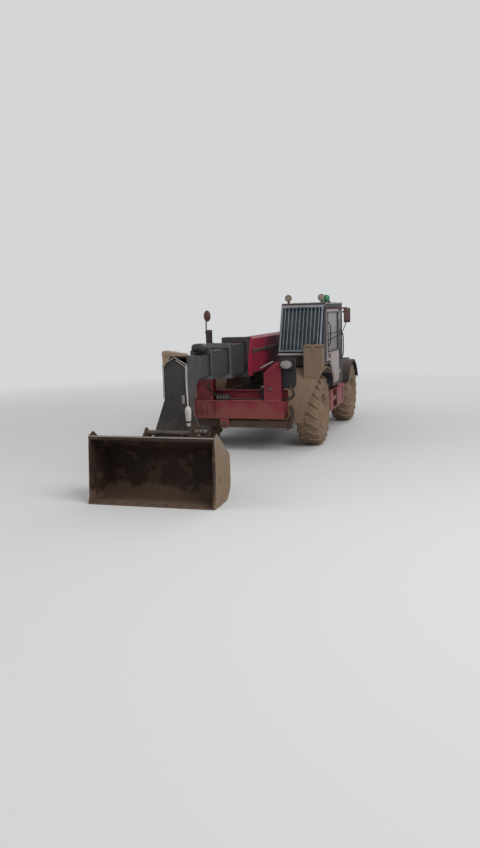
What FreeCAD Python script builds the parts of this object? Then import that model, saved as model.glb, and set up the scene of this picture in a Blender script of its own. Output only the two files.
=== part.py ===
import FreeCAD, Part
import math
import os
import re

import Sketcher
from FreeCAD import Placement, Rotation, Vector

# Telehandler with a four-part telescopic boom, an earth bucket on a quick hitch,
# front stabilizers, a cab on the left and the engine on the right.
# Places along the machine run from the front axle, forward positive, Y to the left, Z up from
# the ground. Each piece is then shifted so that the frame's origin lies on the ground under
# the middle of the whole machine.

# Driving sizes in millimetres: name, value, what it is
SIZES = (
    ("fit", 0.3, "gap between faces that seat"),
    ("wheelbase", 3070, "front axle to rear axle"),
    ("rear_overhang", 1150, "rear axle to the end of the counterweight"),
    ("wheel_y", 1010, "middle of the machine to the middle of a tyre"),
    # wheels
    ("tyre_diameter", 1250, "over the lugs"),
    ("tyre_width", 400, "over the sidewalls"),
    ("tread_depth", 32, "height of a lug"),
    ("crown_inset", 52, "sidewall in to the flat of the carcass"),
    ("bulge_low", 75, "rim edge up to the widest part of the sidewall"),
    ("bulge_high", 145, "rim edge up to the end of the widest part"),
    ("lug_count", 11, "lugs on each half of a tyre"),
    ("lug_base", 95, "lug top down to where the lug leaves the shoulder"),
    ("lug_width", 66, "lug along the tread"),
    ("lug_run", 130, "how far a lug leads along the tread"),
    ("lug_root", 98, "start of a lug before its middle"),
    ("rim_diameter", 610, "bead seat"),
    ("bead_inset", 30, "sidewall in to the bead"),
    ("flange_height", 24, "rim flange over the bead seat"),
    ("flange_width", 14, "rim flange along the axle"),
    ("rim_wall", 14, "rim shell"),
    ("disc_offset", 46, "middle of the tyre out to the disc"),
    ("disc_wall", 16, "wheel disc"),
    ("dish_depth", 70, "disc in from its outer edge"),
    ("hub_radius", 145, "planetary hub"),
    ("hub_back", 42, "hub in from the middle of the tyre"),
    ("hub_reach", 150, "hub out from the middle of the tyre"),
    ("hub_cap_radius", 108, "hub end cover"),
    ("hub_cap_height", 22, "hub end cover"),
    # axles and steering knuckles
    ("kingpin_radius", 35, "kingpin"),
    ("flange_wall", 5, "wheel flange of a knuckle"),
    ("spindle_radius", 60, "wheel spindle"),
    ("spindle_end", 60, "spindle out from the middle of the tyre"),
    ("knuckle_gap", 15, "kingpin barrel to the knuckle wall"),
    ("knuckle_wall", 42, "knuckle wall"),
    ("knuckle_half", 84, "half the length of the knuckle wall"),
    ("knuckle_arm", 44, "height of a knuckle arm"),
    ("arm_radius", 68, "round end of a knuckle arm"),
    ("barrel_radius", 76, "kingpin barrel at the end of the axle"),
    ("barrel_half", 122, "half the height of the kingpin barrel"),
    ("lever_length", 230, "steering lever back from the kingpin"),
    ("lever_width", 56, "steering lever"),
    ("lever_height", 30, "steering lever"),
    ("axle_radius", 92, "axle tube"),
    ("diff_radius", 185, "differential housing"),
    ("diff_half", 120, "half the width of the differential housing"),
    ("diff_taper", 90, "cone beside the differential housing"),
    ("pad_length", 220, "axle seat under the chassis"),
    ("pad_width", 90, "axle seat under the chassis"),
    ("pad_height", 150, "axle seat over the axle middle"),
    # chassis
    ("boom_y", -60, "middle of the boom to the side"),
    ("plate_gap", 260, "middle of the boom to a side plate"),
    ("plate_wall", 30, "chassis side plate"),
    ("chassis_low", 560, "underside of the side plates"),
    ("chassis_high", 1040, "top of the side plates"),
    ("notch_half", 200, "half the gap over an axle"),
    ("notch_slope", 60, "slant beside the gap over an axle"),
    ("tail_x", 930, "rear axle to the rear end of the side plates"),
    ("tower_x", 650, "rear axle back to the boom pivot"),
    ("pivot_z", 1750, "boom pivot over the ground"),
    ("tower_top", 140, "top of the tower over the pivot"),
    ("tower_half", 165, "half the length of the tower top"),
    ("tower_foot", 480, "foot of the tower ahead of the pivot"),
    ("cross_radius", 75, "cross tubes of the chassis"),
    ("nose_wall", 60, "front cross box"),
    ("nose_drop", 10, "front cross box below the plate tops"),
    ("tail_wall", 30, "rear cross plate"),
    ("belly_wall", 12, "belly plate"),
    # boom
    ("boom_z", 1630, "middle of the boom over the ground"),
    ("mouth_x", 1130, "front end of the first boom part"),
    ("stagger", 250, "each part ahead of the last when drawn in"),
    ("drawn_out", 570, "travel of each part as it stands"),
    ("boom_tail", 160, "boom behind its pivot"),
    ("pivot_radius", 45, "boom pivot pin"),
    ("pivot_boss", 85, "boss round the boom pivot pin"),
    ("slope_run", 420, "slant under the tail of the boom"),
    ("slope_back", 640, "pivot ahead to the end of the slant"),
    ("slope_rise", 130, "slant under the tail of the boom"),
    ("bolt_gap", 50, "mouth collar wider than the part, both sides"),
    ("s1_width", 400, "first part"),
    ("s1_height", 580, "first part"),
    ("s1_wall", 12, "first part"),
    ("s1_collar_length", 220, "mouth collar"),
    ("s1_collar_height", 650, "mouth collar"),
    ("s2_width", 346, "second part"),
    ("s2_height", 480, "second part"),
    ("s2_wall", 10, "second part"),
    ("s2_length", 4400, "second part"),
    ("s2_collar_length", 110, "mouth collar"),
    ("s2_collar_height", 550, "mouth collar"),
    ("s3_width", 294, "third part"),
    ("s3_height", 380, "third part"),
    ("s3_wall", 10, "third part"),
    ("s3_length", 4300, "third part"),
    ("s3_collar_length", 90, "mouth collar"),
    ("s3_collar_height", 430, "mouth collar"),
    ("s4_width", 244, "fourth part"),
    ("s4_height", 310, "fourth part"),
    ("s4_wall", 10, "fourth part"),
    ("s4_length", 4200, "fourth part"),
    ("pad_reach", 160, "length of a wear pad"),
    ("pad_side", 120, "height of a side wear pad"),
    ("pad_trim", 40, "wear pad narrower than the part"),
    # boom head
    ("head_reach", 220, "head ahead of the fourth part"),
    ("head_spread", 30, "side plate of the head off the fourth part"),
    ("head_plate", 22, "side plate of the head"),
    ("head_front", 20, "front plate of the head"),
    ("head_flare", 220, "front plate wider at its foot, each side"),
    ("head_top", 1820, "shoulder of the head over the ground"),
    ("gable_rise", 110, "gable of the front plate"),
    ("front_low", 640, "foot of the front plate over the ground"),
    ("flare_z", 1240, "start of the flare over the ground"),
    ("hitch_x", 320, "hitch pin ahead of the fourth part"),
    ("hitch_z", 400, "hitch pin over the ground"),
    ("hitch_radius", 35, "hitch pin"),
    ("hitch_boss", 75, "boss round the hitch pin"),
    ("tilt_top_x", 20, "tilt cylinder pin ahead of the fourth part"),
    ("tilt_top_z", 1385, "tilt cylinder pin over the ground"),
    ("tilt_lever", 300, "tilt lever from the hitch pin"),
    ("tilt_lever_angle", 215, "tilt lever at rest, from forward"),
    ("tilt_barrel", 55, "tilt cylinder"),
    ("tilt_rod", 26, "tilt cylinder rod"),
    ("tilt_pin", 24, "tilt cylinder pin"),
    ("tilt_eye", 44, "tilt cylinder eye"),
    ("tilt_barrel_length", 640, "tilt cylinder barrel from its pin"),
    ("tilt_rod_inner", 480, "inner end of the tilt rod from the pin"),
    ("eye_half", 22, "half the width of a cylinder eye"),
    ("base_wall", 15, "end wall of a cylinder"),
    ("cheek", 18, "cheek beside a cylinder eye"),
    ("cheek_gap", 6, "eye to cheek"),
    # quick hitch and bucket
    ("hitch_reach", 250, "hitch pin to the front of the hitch"),
    ("hitch_cheek", 24, "hitch plate"),
    ("hitch_half", 310, "half the width of the hitch"),
    ("hitch_top", 830, "upper bar of the hitch over the ground"),
    ("hitch_bar", 36, "radius of the upper bar"),
    ("hitch_low", 200, "lower bar of the hitch over the ground"),
    ("hitch_low_bar", 30, "radius of the lower bar"),
    ("bucket_width", 1700, "over the side plates"),
    ("bucket_height", 880, "cutting edge to the top edge"),
    ("bucket_depth", 680, "cutting edge to the back"),
    ("bucket_lip", 70, "top edge behind the cutting edge"),
    ("bucket_wall", 14, "bucket shell"),
    ("bucket_side", 18, "bucket side plate"),
    ("bucket_heel", 250, "round of the heel"),
    ("bucket_shoulder", 600, "foot of the slanting upper back over the ground"),
    ("bucket_crown", 200, "round between the back and its slant"),
    ("ear_rise", 45, "corner of a side plate over the top edge"),
    ("ear_back", 120, "that corner behind the top edge"),
    ("mouth_round", 1400, "round of the hollow front edge of a side plate"),
    ("edge_depth", 130, "cutting edge plate"),
    ("edge_wall", 26, "cutting edge plate"),
    ("lip_height", 44, "top edge bar"),
    ("lip_depth", 60, "top edge bar"),
    ("hook_wall", 26, "hook plate on the bucket"),
    # lift cylinder
    ("lift_base_x", 280, "rear axle back to the lift cylinder pin"),
    ("lift_base_z", 960, "lift cylinder pin over the ground"),
    ("lift_eye_x", 1970, "boom pivot ahead to the lift eye"),
    ("lift_eye_z", 1275, "lift eye over the ground"),
    ("lift_barrel", 86, "lift cylinder"),
    ("lift_rod", 48, "lift cylinder rod"),
    ("lift_pin", 38, "lift cylinder pins"),
    ("lift_eye", 58, "lift cylinder eyes"),
    ("lift_half", 45, "half the width of a lift cylinder eye"),
    ("lift_barrel_length", 1330, "lift cylinder barrel from its pin"),
    ("lift_rod_inner", 230, "inner end of the lift rod from the pin"),
    ("lift_cheek", 25, "cheek under the boom"),
    # stabilizers
    ("beam_gap", 20, "front fenders to the stabilizer beam"),
    ("beam_depth", 300, "stabilizer beam"),
    ("beam_wall", 20, "plates of the stabilizer beam"),
    ("beam_half", 810, "half the width of the beam"),
    ("beam_low", 600, "underside of the beam"),
    ("beam_high", 890, "top of the beam"),
    ("leg_pivot", 240, "leg pivot across the middle of the boom"),
    ("leg_z", 500, "leg pivot over the ground"),
    ("leg_boss", 78, "boss round the leg pivot"),
    ("leg_pin", 32, "leg pivot pin"),
    ("leg_width", 100, "leg"),
    ("leg_height", 124, "leg"),
    ("leg_reach", 1160, "leg pivot to the foot"),
    ("foot_radius", 400, "rocker foot"),
    ("foot_wall", 24, "rocker foot"),
    ("foot_width", 180, "rocker foot"),
    ("foot_low", 38, "foot below its middle, degrees"),
    ("foot_high", 24, "foot above its middle, degrees"),
    ("foot_rise", 150, "middle of the foot round over the leg"),
    ("tower_in", 470, "tower foot, inner edge from the middle of the boom"),
    ("tower_out", 770, "tower foot, outer edge from the middle of the boom"),
    ("apex_in", 680, "tower top, inner edge from the middle of the boom"),
    ("tower_knee", 1370, "start of the slant at the top of a tower over the ground"),
    ("beam_back", 1050, "top of the rear beam plate"),
    ("apex_z", 1545, "top of a tower over the ground"),
    ("ram_top_y", 645, "leg cylinder pin from the middle of the boom"),
    ("ram_top_z", 1420, "leg cylinder pin over the ground"),
    ("ram_eye_y", 460, "leg cylinder eye from the middle of the boom"),
    ("ram_eye_z", 604, "leg cylinder eye over the ground"),
    ("ram_barrel", 38, "leg cylinder"),
    ("ram_rod", 20, "leg cylinder rod"),
    ("ram_pin", 18, "leg cylinder pins"),
    ("ram_eye", 34, "leg cylinder eyes"),
    ("ram_barrel_length", 520, "leg cylinder barrel from its pin"),
    ("ram_rod_inner", 110, "inner end of the leg rod from the pin"),
    # cab
    ("cab_in", 430, "inner side of the cab"),
    ("cab_width", 790, "cab"),
    ("cab_back", 1820, "back of the cab behind the front axle"),
    ("cab_floor", 950, "cab floor over the ground"),
    ("cab_wall", 40, "cab panels"),
    ("cab_roof", 2490, "cab roof over the ground"),
    ("arch_room", 175, "tyre to the foot of the wheel arch"),
    ("arch_mid", 1080, "start of the arch slant over the ground"),
    ("arch_front", 500, "end of the arch slant behind the front axle"),
    ("arch_gap", 145, "tyre to the cab underside over it"),
    ("cowl_x", 150, "cab front ahead of the front axle"),
    ("cowl_rise", 245, "foot of the windscreen over the cab underside"),
    ("screen_lean", 300, "windscreen leans back by"),
    ("roof_drop", 50, "roof edge"),
    ("pillar", 62, "width of a cab pillar"),
    ("sill_rise", 205, "foot of the side windows over the cab underside"),
    ("head_z", 2400, "top of the windows over the ground"),
    ("glass_wall", 6, "window glass"),
    ("door_back", 1430, "rear edge of the door behind the front axle"),
    ("door_front", 260, "front edge of the door behind the front axle"),
    ("door_low", 1010, "foot of the door over the ground"),
    ("door_gap", 8, "gap round the door"),
    ("door_frame", 70, "frame round the door window"),
    ("hinge_radius", 14, "door hinge"),
    # windscreen guard
    ("bar_count", 10, "upright bars"),
    ("bar_radius", 7, "upright bars"),
    ("guard_rail", 26, "frame of the guard"),
    ("guard_gap", 34, "windscreen to the guard"),
    ("guard_inset", 22, "guard narrower than the cab, each side"),
    ("guard_drop", 24, "guard shorter than the windscreen"),
    # fenders
    ("fender_room", 123, "tyre to a front fender"),
    ("rear_fender_room", 37, "tyre to a rear fender"),
    ("fender_wall", 12, "fender"),
    ("fender_sweep", 136, "front fender, degrees"),
    ("fender_lead", 33, "front fender turned forward, degrees"),
    ("rear_fender_sweep", 132, "rear fender, degrees"),
    ("fender_out", 1270, "outer edge of a front fender"),
    ("flap_out", 960, "outer edge of a front fender at its foot"),
    ("flap_low", 480, "foot of that edge over the ground"),
    ("flap_high", 1400, "end of its slant over the ground"),
    ("liner_y", 435, "wheel arch wall"),
    ("liner_radius", 330, "wheel arch wall, inner edge"),
    ("lip_drop", 40, "outer lip of a rear fender"),
    ("post_half", 60, "half the length of the fender post"),
    ("post_wall", 20, "fender post"),
    ("post_inset", 232, "fender post in from the middle of the tyre"),
    ("box_back", 240, "fender box, rear face ahead of the axle"),
    ("box_length", 250, "fender box"),
    ("box_in", 960, "fender box, inner face"),
    ("box_rise", 375, "fender box, top over the cab underside"),
    # engine and side tank
    ("hood_front", 790, "hood behind the front axle"),
    ("hood_in", 370, "hood, inner edge"),
    ("hood_out", 1200, "hood, outer side"),
    ("hood_low", 780, "hood, lower edge"),
    ("hood_high", 1715, "hood, top"),
    ("hood_wall", 14, "hood"),
    ("hood_slope", 260, "hood front slant"),
    ("engine_room", 420, "engine shorter than the hood"),
    ("engine_width", 520, "engine"),
    ("engine_height", 700, "engine"),
    ("cradle_wall", 60, "engine bearers"),
    ("cradle_low", 690, "underside of the engine bearers"),
    ("tank_front", 830, "side tank behind the front axle"),
    ("tank_room", 185, "side tank to the rear tyre"),
    ("tank_in", 520, "side tank, inner side"),
    ("tank_out", 1170, "side tank, outer side"),
    ("tank_low", 460, "side tank, underside"),
    ("tank_round", 60, "side tank, rounded edges"),
    ("step_length", 420, "steps"),
    ("step_depth", 120, "steps cut into the tank"),
    ("outrigger", 80, "cab bearers of the chassis"),
    # engine hood grille
    ("grille_count", 6, "slots of each grille"),
    ("grille_foot", 120, "grille in from the edges of the hood"),
    ("grille_pitch", 80, "from one slot to the next"),
    ("grille_length", 520, "side grille"),
    # seat and steering column
    ("seat_y", 825, "middle of the seat to the side"),
    ("seat_width", 480, "seat"),
    ("seat_depth", 480, "seat"),
    ("seat_back_x", 1450, "seat back behind the front axle"),
    ("seat_z", 1290, "underside of the seat pad over the ground"),
    ("seat_pad_wall", 110, "seat pad"),
    ("seat_back_height", 620, "seat back over the underside of the pad"),
    ("seat_round", 60, "seat base shorter than the pad"),
    ("dash_depth", 230, "dashboard"),
    ("dash_rise", 90, "dashboard over the foot of the windscreen"),
    ("dash_gap", 60, "dashboard to the cab walls"),
    ("column_radius", 32, "steering column"),
    ("column_length", 330, "steering column"),
    ("column_lean", 28, "steering column, degrees"),
    ("steer_rise", 50, "steering wheel over the foot of the windscreen"),
    ("steer_radius", 190, "steering wheel"),
    ("steer_grip", 14, "steering wheel rim"),
    # lamps and mirrors
    ("lamp_inset", 95, "roof lamp in from the side of the cab"),
    ("lamp_radius", 62, "roof lamp"),
    ("lamp_depth", 80, "roof lamp"),
    ("lamp_foot", 34, "roof lamp foot"),
    ("beacon_radius", 48, "beacon"),
    ("beacon_height", 150, "beacon"),
    ("headlamp", 145, "headlamp"),
    ("tail_lamp", 40, "tail lamp"),
    ("pole_radius", 14, "mirror poles"),
    ("mirror_wall", 16, "half the thickness of a mirror"),
    ("mirror_back", 200, "left mirror behind the front axle"),
    ("mirror_left_y", 1594, "left mirror to the side"),
    ("mirror_left_z", 2265, "left mirror over the ground"),
    ("mirror_width", 110, "left mirror"),
    ("mirror_height", 250, "left mirror"),
    ("mirror_right_y", 1323, "right mirror to the side"),
    ("mirror_right_z", 2300, "right mirror over the ground"),
    ("dish_radius", 110, "right mirror"),
    ("panel_width", 130, "lower right mirror"),
    ("panel_height", 390, "lower right mirror"),
    ("panel_drop", 270, "middle of the right mirror down to the lower one"),
    ("pole_low", 1560, "foot of the right mirror's pole over the ground"),
    # counterweight
    ("weight_half", 980, "half the width of the counterweight"),
    ("weight_low", 620, "underside of the counterweight"),
    ("weight_high", 1260, "top of the counterweight"),
    ("weight_round", 120, "rounded ends of the counterweight"),
)

# Sizes that follow from others
DERIVED = (
    ("kingpin_offset", "hub_back + flange_wall + knuckle_wall + knuckle_gap + barrel_radius",
     "middle of the tyre in to the kingpin"),
    ("arch_radius", "tyre_diameter / 2 + fender_room", "inside of a front fender"),
    ("rear_arch_radius", "tyre_diameter / 2 + rear_fender_room", "inside of a rear fender"),
    ("arch_back", "tyre_diameter / 2 + arch_room", "foot of the wheel arch behind the front axle"),
    ("arch_high", "tyre_diameter + arch_gap", "cab underside over the wheel"),
    ("cowl_z", "arch_high + cowl_rise", "foot of the windscreen over the ground"),
    ("sill_z", "arch_high + sill_rise", "foot of the side windows over the ground"),
    ("guard_height", "sqrt((cab_roof - roof_drop - cowl_z) ^ 2 + screen_lean ^ 2) - guard_drop",
     "guard along the windscreen"),
    ("tank_length", "wheelbase - tyre_diameter / 2 - tank_room - tank_front", "side tank"),
    ("hood_length", "wheelbase - tyre_diameter / 2 - tank_room - hood_front", "hood"),
    ("engine_length", "hood_length - engine_room", "engine"),
    ("box_high", "arch_high + box_rise", "fender box, top over the ground"),
    ("beam_x", "arch_radius + fender_wall + beam_gap", "rear face of the stabilizer beam"),
    ("nose_x", "beam_x", "front end of the side plates"),
)

NAMES = {row[0] for row in SIZES + DERIVED}
WORD = re.compile(r"\b[a-z][a-z_0-9]*\b")

doc = FreeCAD.newDocument("Telehandler")
sheet = doc.addObject("Spreadsheet::Sheet", "Sizes")
for row, (name, size, note) in enumerate(SIZES + DERIVED, start=1):
    sheet.set(f"A{row}", note)
    sheet.setAlias(f"B{row}", name)
    sheet.set(f"B{row}", str(size) if row <= len(SIZES) else f"={size}")
doc.recompute()

# Places that several pieces share
WHEEL_Z = "(tyre_diameter / 2)"
LUG_FLAT = "sqrt((tyre_diameter / 2) ^ 2 - (-lug_root + lug_run + lug_width) ^ 2)"
TYRE_HALF = "(tyre_width / 2)"
SEAT = "(rim_diameter / 2)"
BEAD = "(tyre_width / 2 - bead_inset)"
PLATE_LEFT = "(boom_y + plate_gap)"
PLATE_RIGHT = "(boom_y - plate_gap)"
PIVOT_X = "(-wheelbase - tower_x)"
TAIL_X = "(-wheelbase - tail_x)"
BOOM_HIGH = "(boom_z + s1_height / 2)"
BOOM_LOW = "(boom_z - s1_height / 2)"
STEP = "(stagger + drawn_out)"
FRONT = {1: "mouth_x", 2: f"(mouth_x + {STEP})", 3: f"(mouth_x + 2 * {STEP})", 4: f"(mouth_x + 3 * {STEP})"}
HEAD_X = f"({FRONT[4]} + head_reach)"
HITCH_X = f"({FRONT[4]} + hitch_x)"
HITCH_FRONT = f"({HITCH_X} + hitch_reach)"
EDGE_X = f"({HITCH_FRONT} + bucket_depth)"
MIDDLE = f"(({EDGE_X} - wheelbase - rear_overhang) / 2)"
SIDE_MIDDLE = "((mirror_left_y + mirror_width / 2 - mirror_right_y - dish_radius) / 2)"
LIFT_BASE_X = "(-wheelbase - lift_base_x)"
LIFT_EYE_X = f"({PIVOT_X} + lift_eye_x)"
BEAM_FRONT = "(beam_x + beam_depth)"
CAB_OUT = "(cab_in + cab_width)"
HOOD_BACK = "(-hood_front - hood_length)"
TANK_HIGH = "(cab_floor - outrigger)"

AXES = {"x": Rotation(Vector(0, 1, 0), 90), "y": Rotation(Vector(1, 0, 0), -90), "z": Rotation()}
PLANES = {"xz": "XZ_Plane", "yz": "YZ_Plane", "xy": "XY_Plane"}


def bind(text):
    """Point the names of sizes in an expression at the sheet."""
    return WORD.sub(lambda hit: "Sizes." + hit.group() if hit.group() in NAMES else hit.group(), str(text))


def value(text):
    """Worked-out number of an expression."""
    result = sheet.evalExpression(bind(text))
    return float(getattr(result, "Value", result))


def put(thing, x=0, y=0, z=0):
    """Bind the place of an object."""
    for axis, text in zip("xyz", (x, y, z)):
        thing.setExpression(f"Placement.Base.{axis}", bind(text))
    return thing


def box(name, x, y, z):
    """Block between pairs of places along the three axes."""
    block = doc.addObject("Part::Box", name)
    for side, (low, high) in zip(("Length", "Width", "Height"), (x, y, z)):
        block.setExpression(side, bind(f"({high}) - ({low})"))
    return put(block, x[0], y[0], z[0])


def bar(name, axis, radius, span, at):
    """Round bar along an axis, its middle line at a place in the other two axes."""
    thing = doc.addObject("Part::Cylinder", name)
    thing.Placement = Placement(Vector(), AXES[axis])
    thing.setExpression("Radius", bind(radius))
    thing.setExpression("Height", bind(f"({span[1]}) - ({span[0]})"))
    places = dict(zip([other for other in "xyz" if other != axis], at))
    places[axis] = span[0]
    return put(thing, places["x"], places["y"], places["z"])


def origin_feature(body, role):
    """Plane or axis of a body's own origin."""
    return next(item for item in body.Origin.OriginFeatures if item.Role == role)


def outline(body, plane, points):
    """Closed outline; a third value at a point is the radius of the arc that starts there."""
    sketch = body.newObject("Sketcher::SketchObject", body.Name + "_outline")
    sketch.AttachmentSupport = [(origin_feature(body, PLANES[plane]), "")]
    sketch.MapMode = "FlatFace"
    places = [Vector(value(point[0]), value(point[1]), 0) for point in points]
    count = len(points)
    first = []
    last = []
    for index, point in enumerate(points):
        here = places[index]
        there = places[(index + 1) % count]
        if len(point) == 2:
            sketch.addGeometry(Part.LineSegment(here, there), False)
            first.append(1)
            last.append(2)
            continue
        radius = abs(value(point[2]))
        leftward = value(point[2]) > 0
        chord = there - here
        normal = Vector(-chord.y, chord.x, 0).normalize()
        rise = math.sqrt(radius ** 2 - (chord.Length / 2) ** 2)
        centre = (here + there) / 2 + normal * (rise if leftward else -rise)
        start, end = (here, there) if leftward else (there, here)
        angles = [math.atan2(spot.y - centre.y, spot.x - centre.x) for spot in (start, end)]
        if angles[1] < angles[0]:
            angles[1] += 2 * math.pi
        circle = Part.Circle(centre, Vector(0, 0, 1), radius)
        sketch.addGeometry(Part.ArcOfCircle(circle, angles[0], angles[1]), False)
        first.append(1 if leftward else 2)
        last.append(2 if leftward else 1)
        number = sketch.addConstraint(Sketcher.Constraint("Radius", index, radius))
        sketch.setExpression(f"Constraints[{number}]", bind(f"abs({point[2]})"))
    for index in range(count):
        follower = (index + 1) % count
        joint = Sketcher.Constraint("Coincident", index, last[index], follower, first[follower])
        sketch.addConstraint(joint)
    for index, point in enumerate(points):
        for kind, text in zip(("DistanceX", "DistanceY"), point):
            number = sketch.addConstraint(Sketcher.Constraint(kind, -1, 1, index, first[index], value(text)))
            sketch.setExpression(f"Constraints[{number}]", bind(text))
    return sketch


def prism(name, plane, points, span):
    """Outline drawn out between two places across its plane."""
    body = doc.addObject("PartDesign::Body", name)
    pad = body.newObject("PartDesign::Pad", name + "_pad")
    pad.Profile = outline(body, plane, points)
    pad.setExpression("Length", bind(f"({span[1]}) - ({span[0]})"))
    if plane == "xz":
        return put(body, 0, span[1], 0)
    if plane == "yz":
        return put(body, span[0], 0, 0)
    return put(body, 0, 0, span[0])


def turned(name, points, sweep=360):
    """Outline of places along and radii round the Y axis, turned about it."""
    body = doc.addObject("PartDesign::Body", name)
    turn = body.newObject("PartDesign::Revolution", name + "_turn")
    turn.Profile = outline(body, "yz", points)
    turn.ReferenceAxis = (origin_feature(body, "Y_Axis"), [""])
    turn.Midplane = True
    turn.setExpression("Angle", bind(sweep))
    return body


def rounded(name, base, radius, chosen):
    """Round the straight edges of a piece that a test of their two ends picks out."""
    doc.recompute()
    numbers = []
    for number, edge in enumerate(base.Shape.Edges, start=1):
        if len(edge.Vertexes) == 2 and chosen(edge.Vertexes[0].Point, edge.Vertexes[1].Point):
            numbers.append(number)
    thing = doc.addObject("Part::Fillet", name)
    thing.Base = base
    thing.Edges = [(number, value(radius), value(radius)) for number in numbers]
    return thing


def fuse(name, pieces):
    """Join pieces into one."""
    thing = doc.addObject("Part::MultiFuse", name)
    thing.Shapes = pieces
    thing.Refine = True
    return thing


def cut(name, base, tools):
    """Take pieces away from a piece."""
    thing = doc.addObject("Part::Cut", name)
    thing.Base = base
    thing.Tool = tools[0] if len(tools) == 1 else group(name + "_tools", tools)
    thing.Refine = True
    return thing


def group(name, pieces):
    """Pieces held together as they are."""
    thing = doc.addObject("Part::Compound", name)
    thing.Links = pieces
    return thing


def mirrored(name, piece, y="0"):
    """Piece mirrored across an upright plane along the machine."""
    thing = doc.addObject("Part::Mirroring", name)
    thing.Source = piece
    thing.Normal = Vector(0, 1, 0)
    thing.setExpression("Base.y", bind(y))
    return thing


nodes = []


def node(label, pieces, x=0, y=0, z=0, turn=None):
    """Named sub-part in the frame of the whole machine."""
    thing = group("node_" + label, pieces)
    thing.Label = label
    if turn is not None:
        thing.Placement = Placement(Vector(), turn)
    put(thing, f"({x}) - {MIDDLE}", f"({y}) - {SIDE_MIDDLE}", z)
    nodes.append(thing)
    return thing


# Tyres

def tread_block(side):
    """Flat-topped wedge of the carcass with one slanted lug on a half of the tread."""
    name = "left_block" if side > 0 else "right_block"
    top = f"({WHEEL_Z} - tread_depth)"
    hold = f"({SEAT} + flange_height)"
    crown = f"({TYRE_HALF} - crown_inset)"
    slab = prism(name + "_slab", "yz", [
        (f"-{BEAD}", f"{SEAT} - flange_height"),
        (BEAD, f"{SEAT} - flange_height"),
        (BEAD, hold),
        (TYRE_HALF, f"{hold} + bulge_low"),
        (TYRE_HALF, f"{hold} + bulge_high"),
        (crown, top),
        (f"-{crown}", top),
        (f"-{TYRE_HALF}", f"{hold} + bulge_high"),
        (f"-{TYRE_HALF}", f"{hold} + bulge_low"),
        (f"-{BEAD}", hold),
    ], (f"-{WHEEL_Z}", WHEEL_Z))
    slope = math.tan(math.pi / (2 * value("lug_count")))
    wedge = prism(name + "_wedge", "xz", [
        ("0", "0"),
        (f"{WHEEL_Z} * {slope:.12f}", WHEEL_Z),
        (f"-{WHEEL_Z} * {slope:.12f}", WHEEL_Z),
    ], (f"-{TYRE_HALF} - 1", f"{TYRE_HALF} + 1"))
    block = doc.addObject("Part::MultiCommon", name)
    block.Shapes = [slab, wedge]
    lead = "(-lug_root + lug_run)"
    lug = prism(name + "_lug", "xy", [
        ("-lug_root", f"{side} * fit"),
        ("-lug_root + lug_width", f"{side} * fit"),
        (f"{lead} + lug_width", f"{side} * {TYRE_HALF}"),
        (lead, f"{side} * {TYRE_HALF}"),
    ], (f"{WHEEL_Z} - lug_base", LUG_FLAT))
    return block, lug


def make_tyre():
    """Ring of tread blocks, lugs to the left and right in turn; one lug's corner is lowest."""
    count = int(value("lug_count"))
    pieces = []
    corner = math.degrees(math.asin(value("-lug_root + lug_run + lug_width") / value(WHEEL_Z)))
    for side, shift in ((1, 0), (-1, 0.5)):
        blocks = tread_block(side)
        for index in range(count):
            angle = corner + (index + shift) * 360 / count
            for piece in blocks:
                copy = group(f"{piece.Name}_{index}", [piece])
                copy.Placement = Placement(Vector(), Rotation(Vector(0, 1, 0), angle))
                pieces.append(copy)
    bore = bar("tyre_bore", "y", f"{SEAT} + fit", (f"-{TYRE_HALF}", TYRE_HALF), ("0", "0"))
    return cut("tyre", fuse("tyre_ring", pieces), [bore])


def make_rim():
    """Rim, dished disc and planetary hub with the bore for the spindle."""
    lip = f"({SEAT} + flange_height)"
    edge = f"({BEAD} + fit + flange_width)"
    inside = f"({SEAT} - rim_wall)"
    dish = "(disc_offset + dish_depth)"
    return turned("rim", [
        (f"-{edge}", lip),
        (f"-{edge}", f"{inside}"),
        ("disc_offset", f"{inside}"),
        ("disc_offset", "hub_radius"),
        ("-hub_back", "hub_radius"),
        ("-hub_back", "spindle_radius + fit"),
        ("spindle_end + fit", "spindle_radius + fit"),
        ("spindle_end + fit", "0"),
        ("hub_reach + hub_cap_height", "0"),
        ("hub_reach + hub_cap_height", "hub_cap_radius - hub_cap_height"),
        ("hub_reach", "hub_cap_radius"),
        ("hub_reach", "hub_radius - disc_wall"),
        ("hub_reach - disc_wall", "hub_radius"),
        ("disc_offset + disc_wall", "hub_radius"),
        ("disc_offset + disc_wall", f"{inside} - dish_depth"),
        (dish, f"{inside} - disc_wall"),
        (edge, inside),
        (edge, lip),
        (f"{BEAD} + fit", lip),
        (f"{BEAD} + fit", f"{SEAT}"),
        (f"-{BEAD} - fit", f"{SEAT}"),
        (f"-{BEAD} - fit", lip),
    ])


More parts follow.
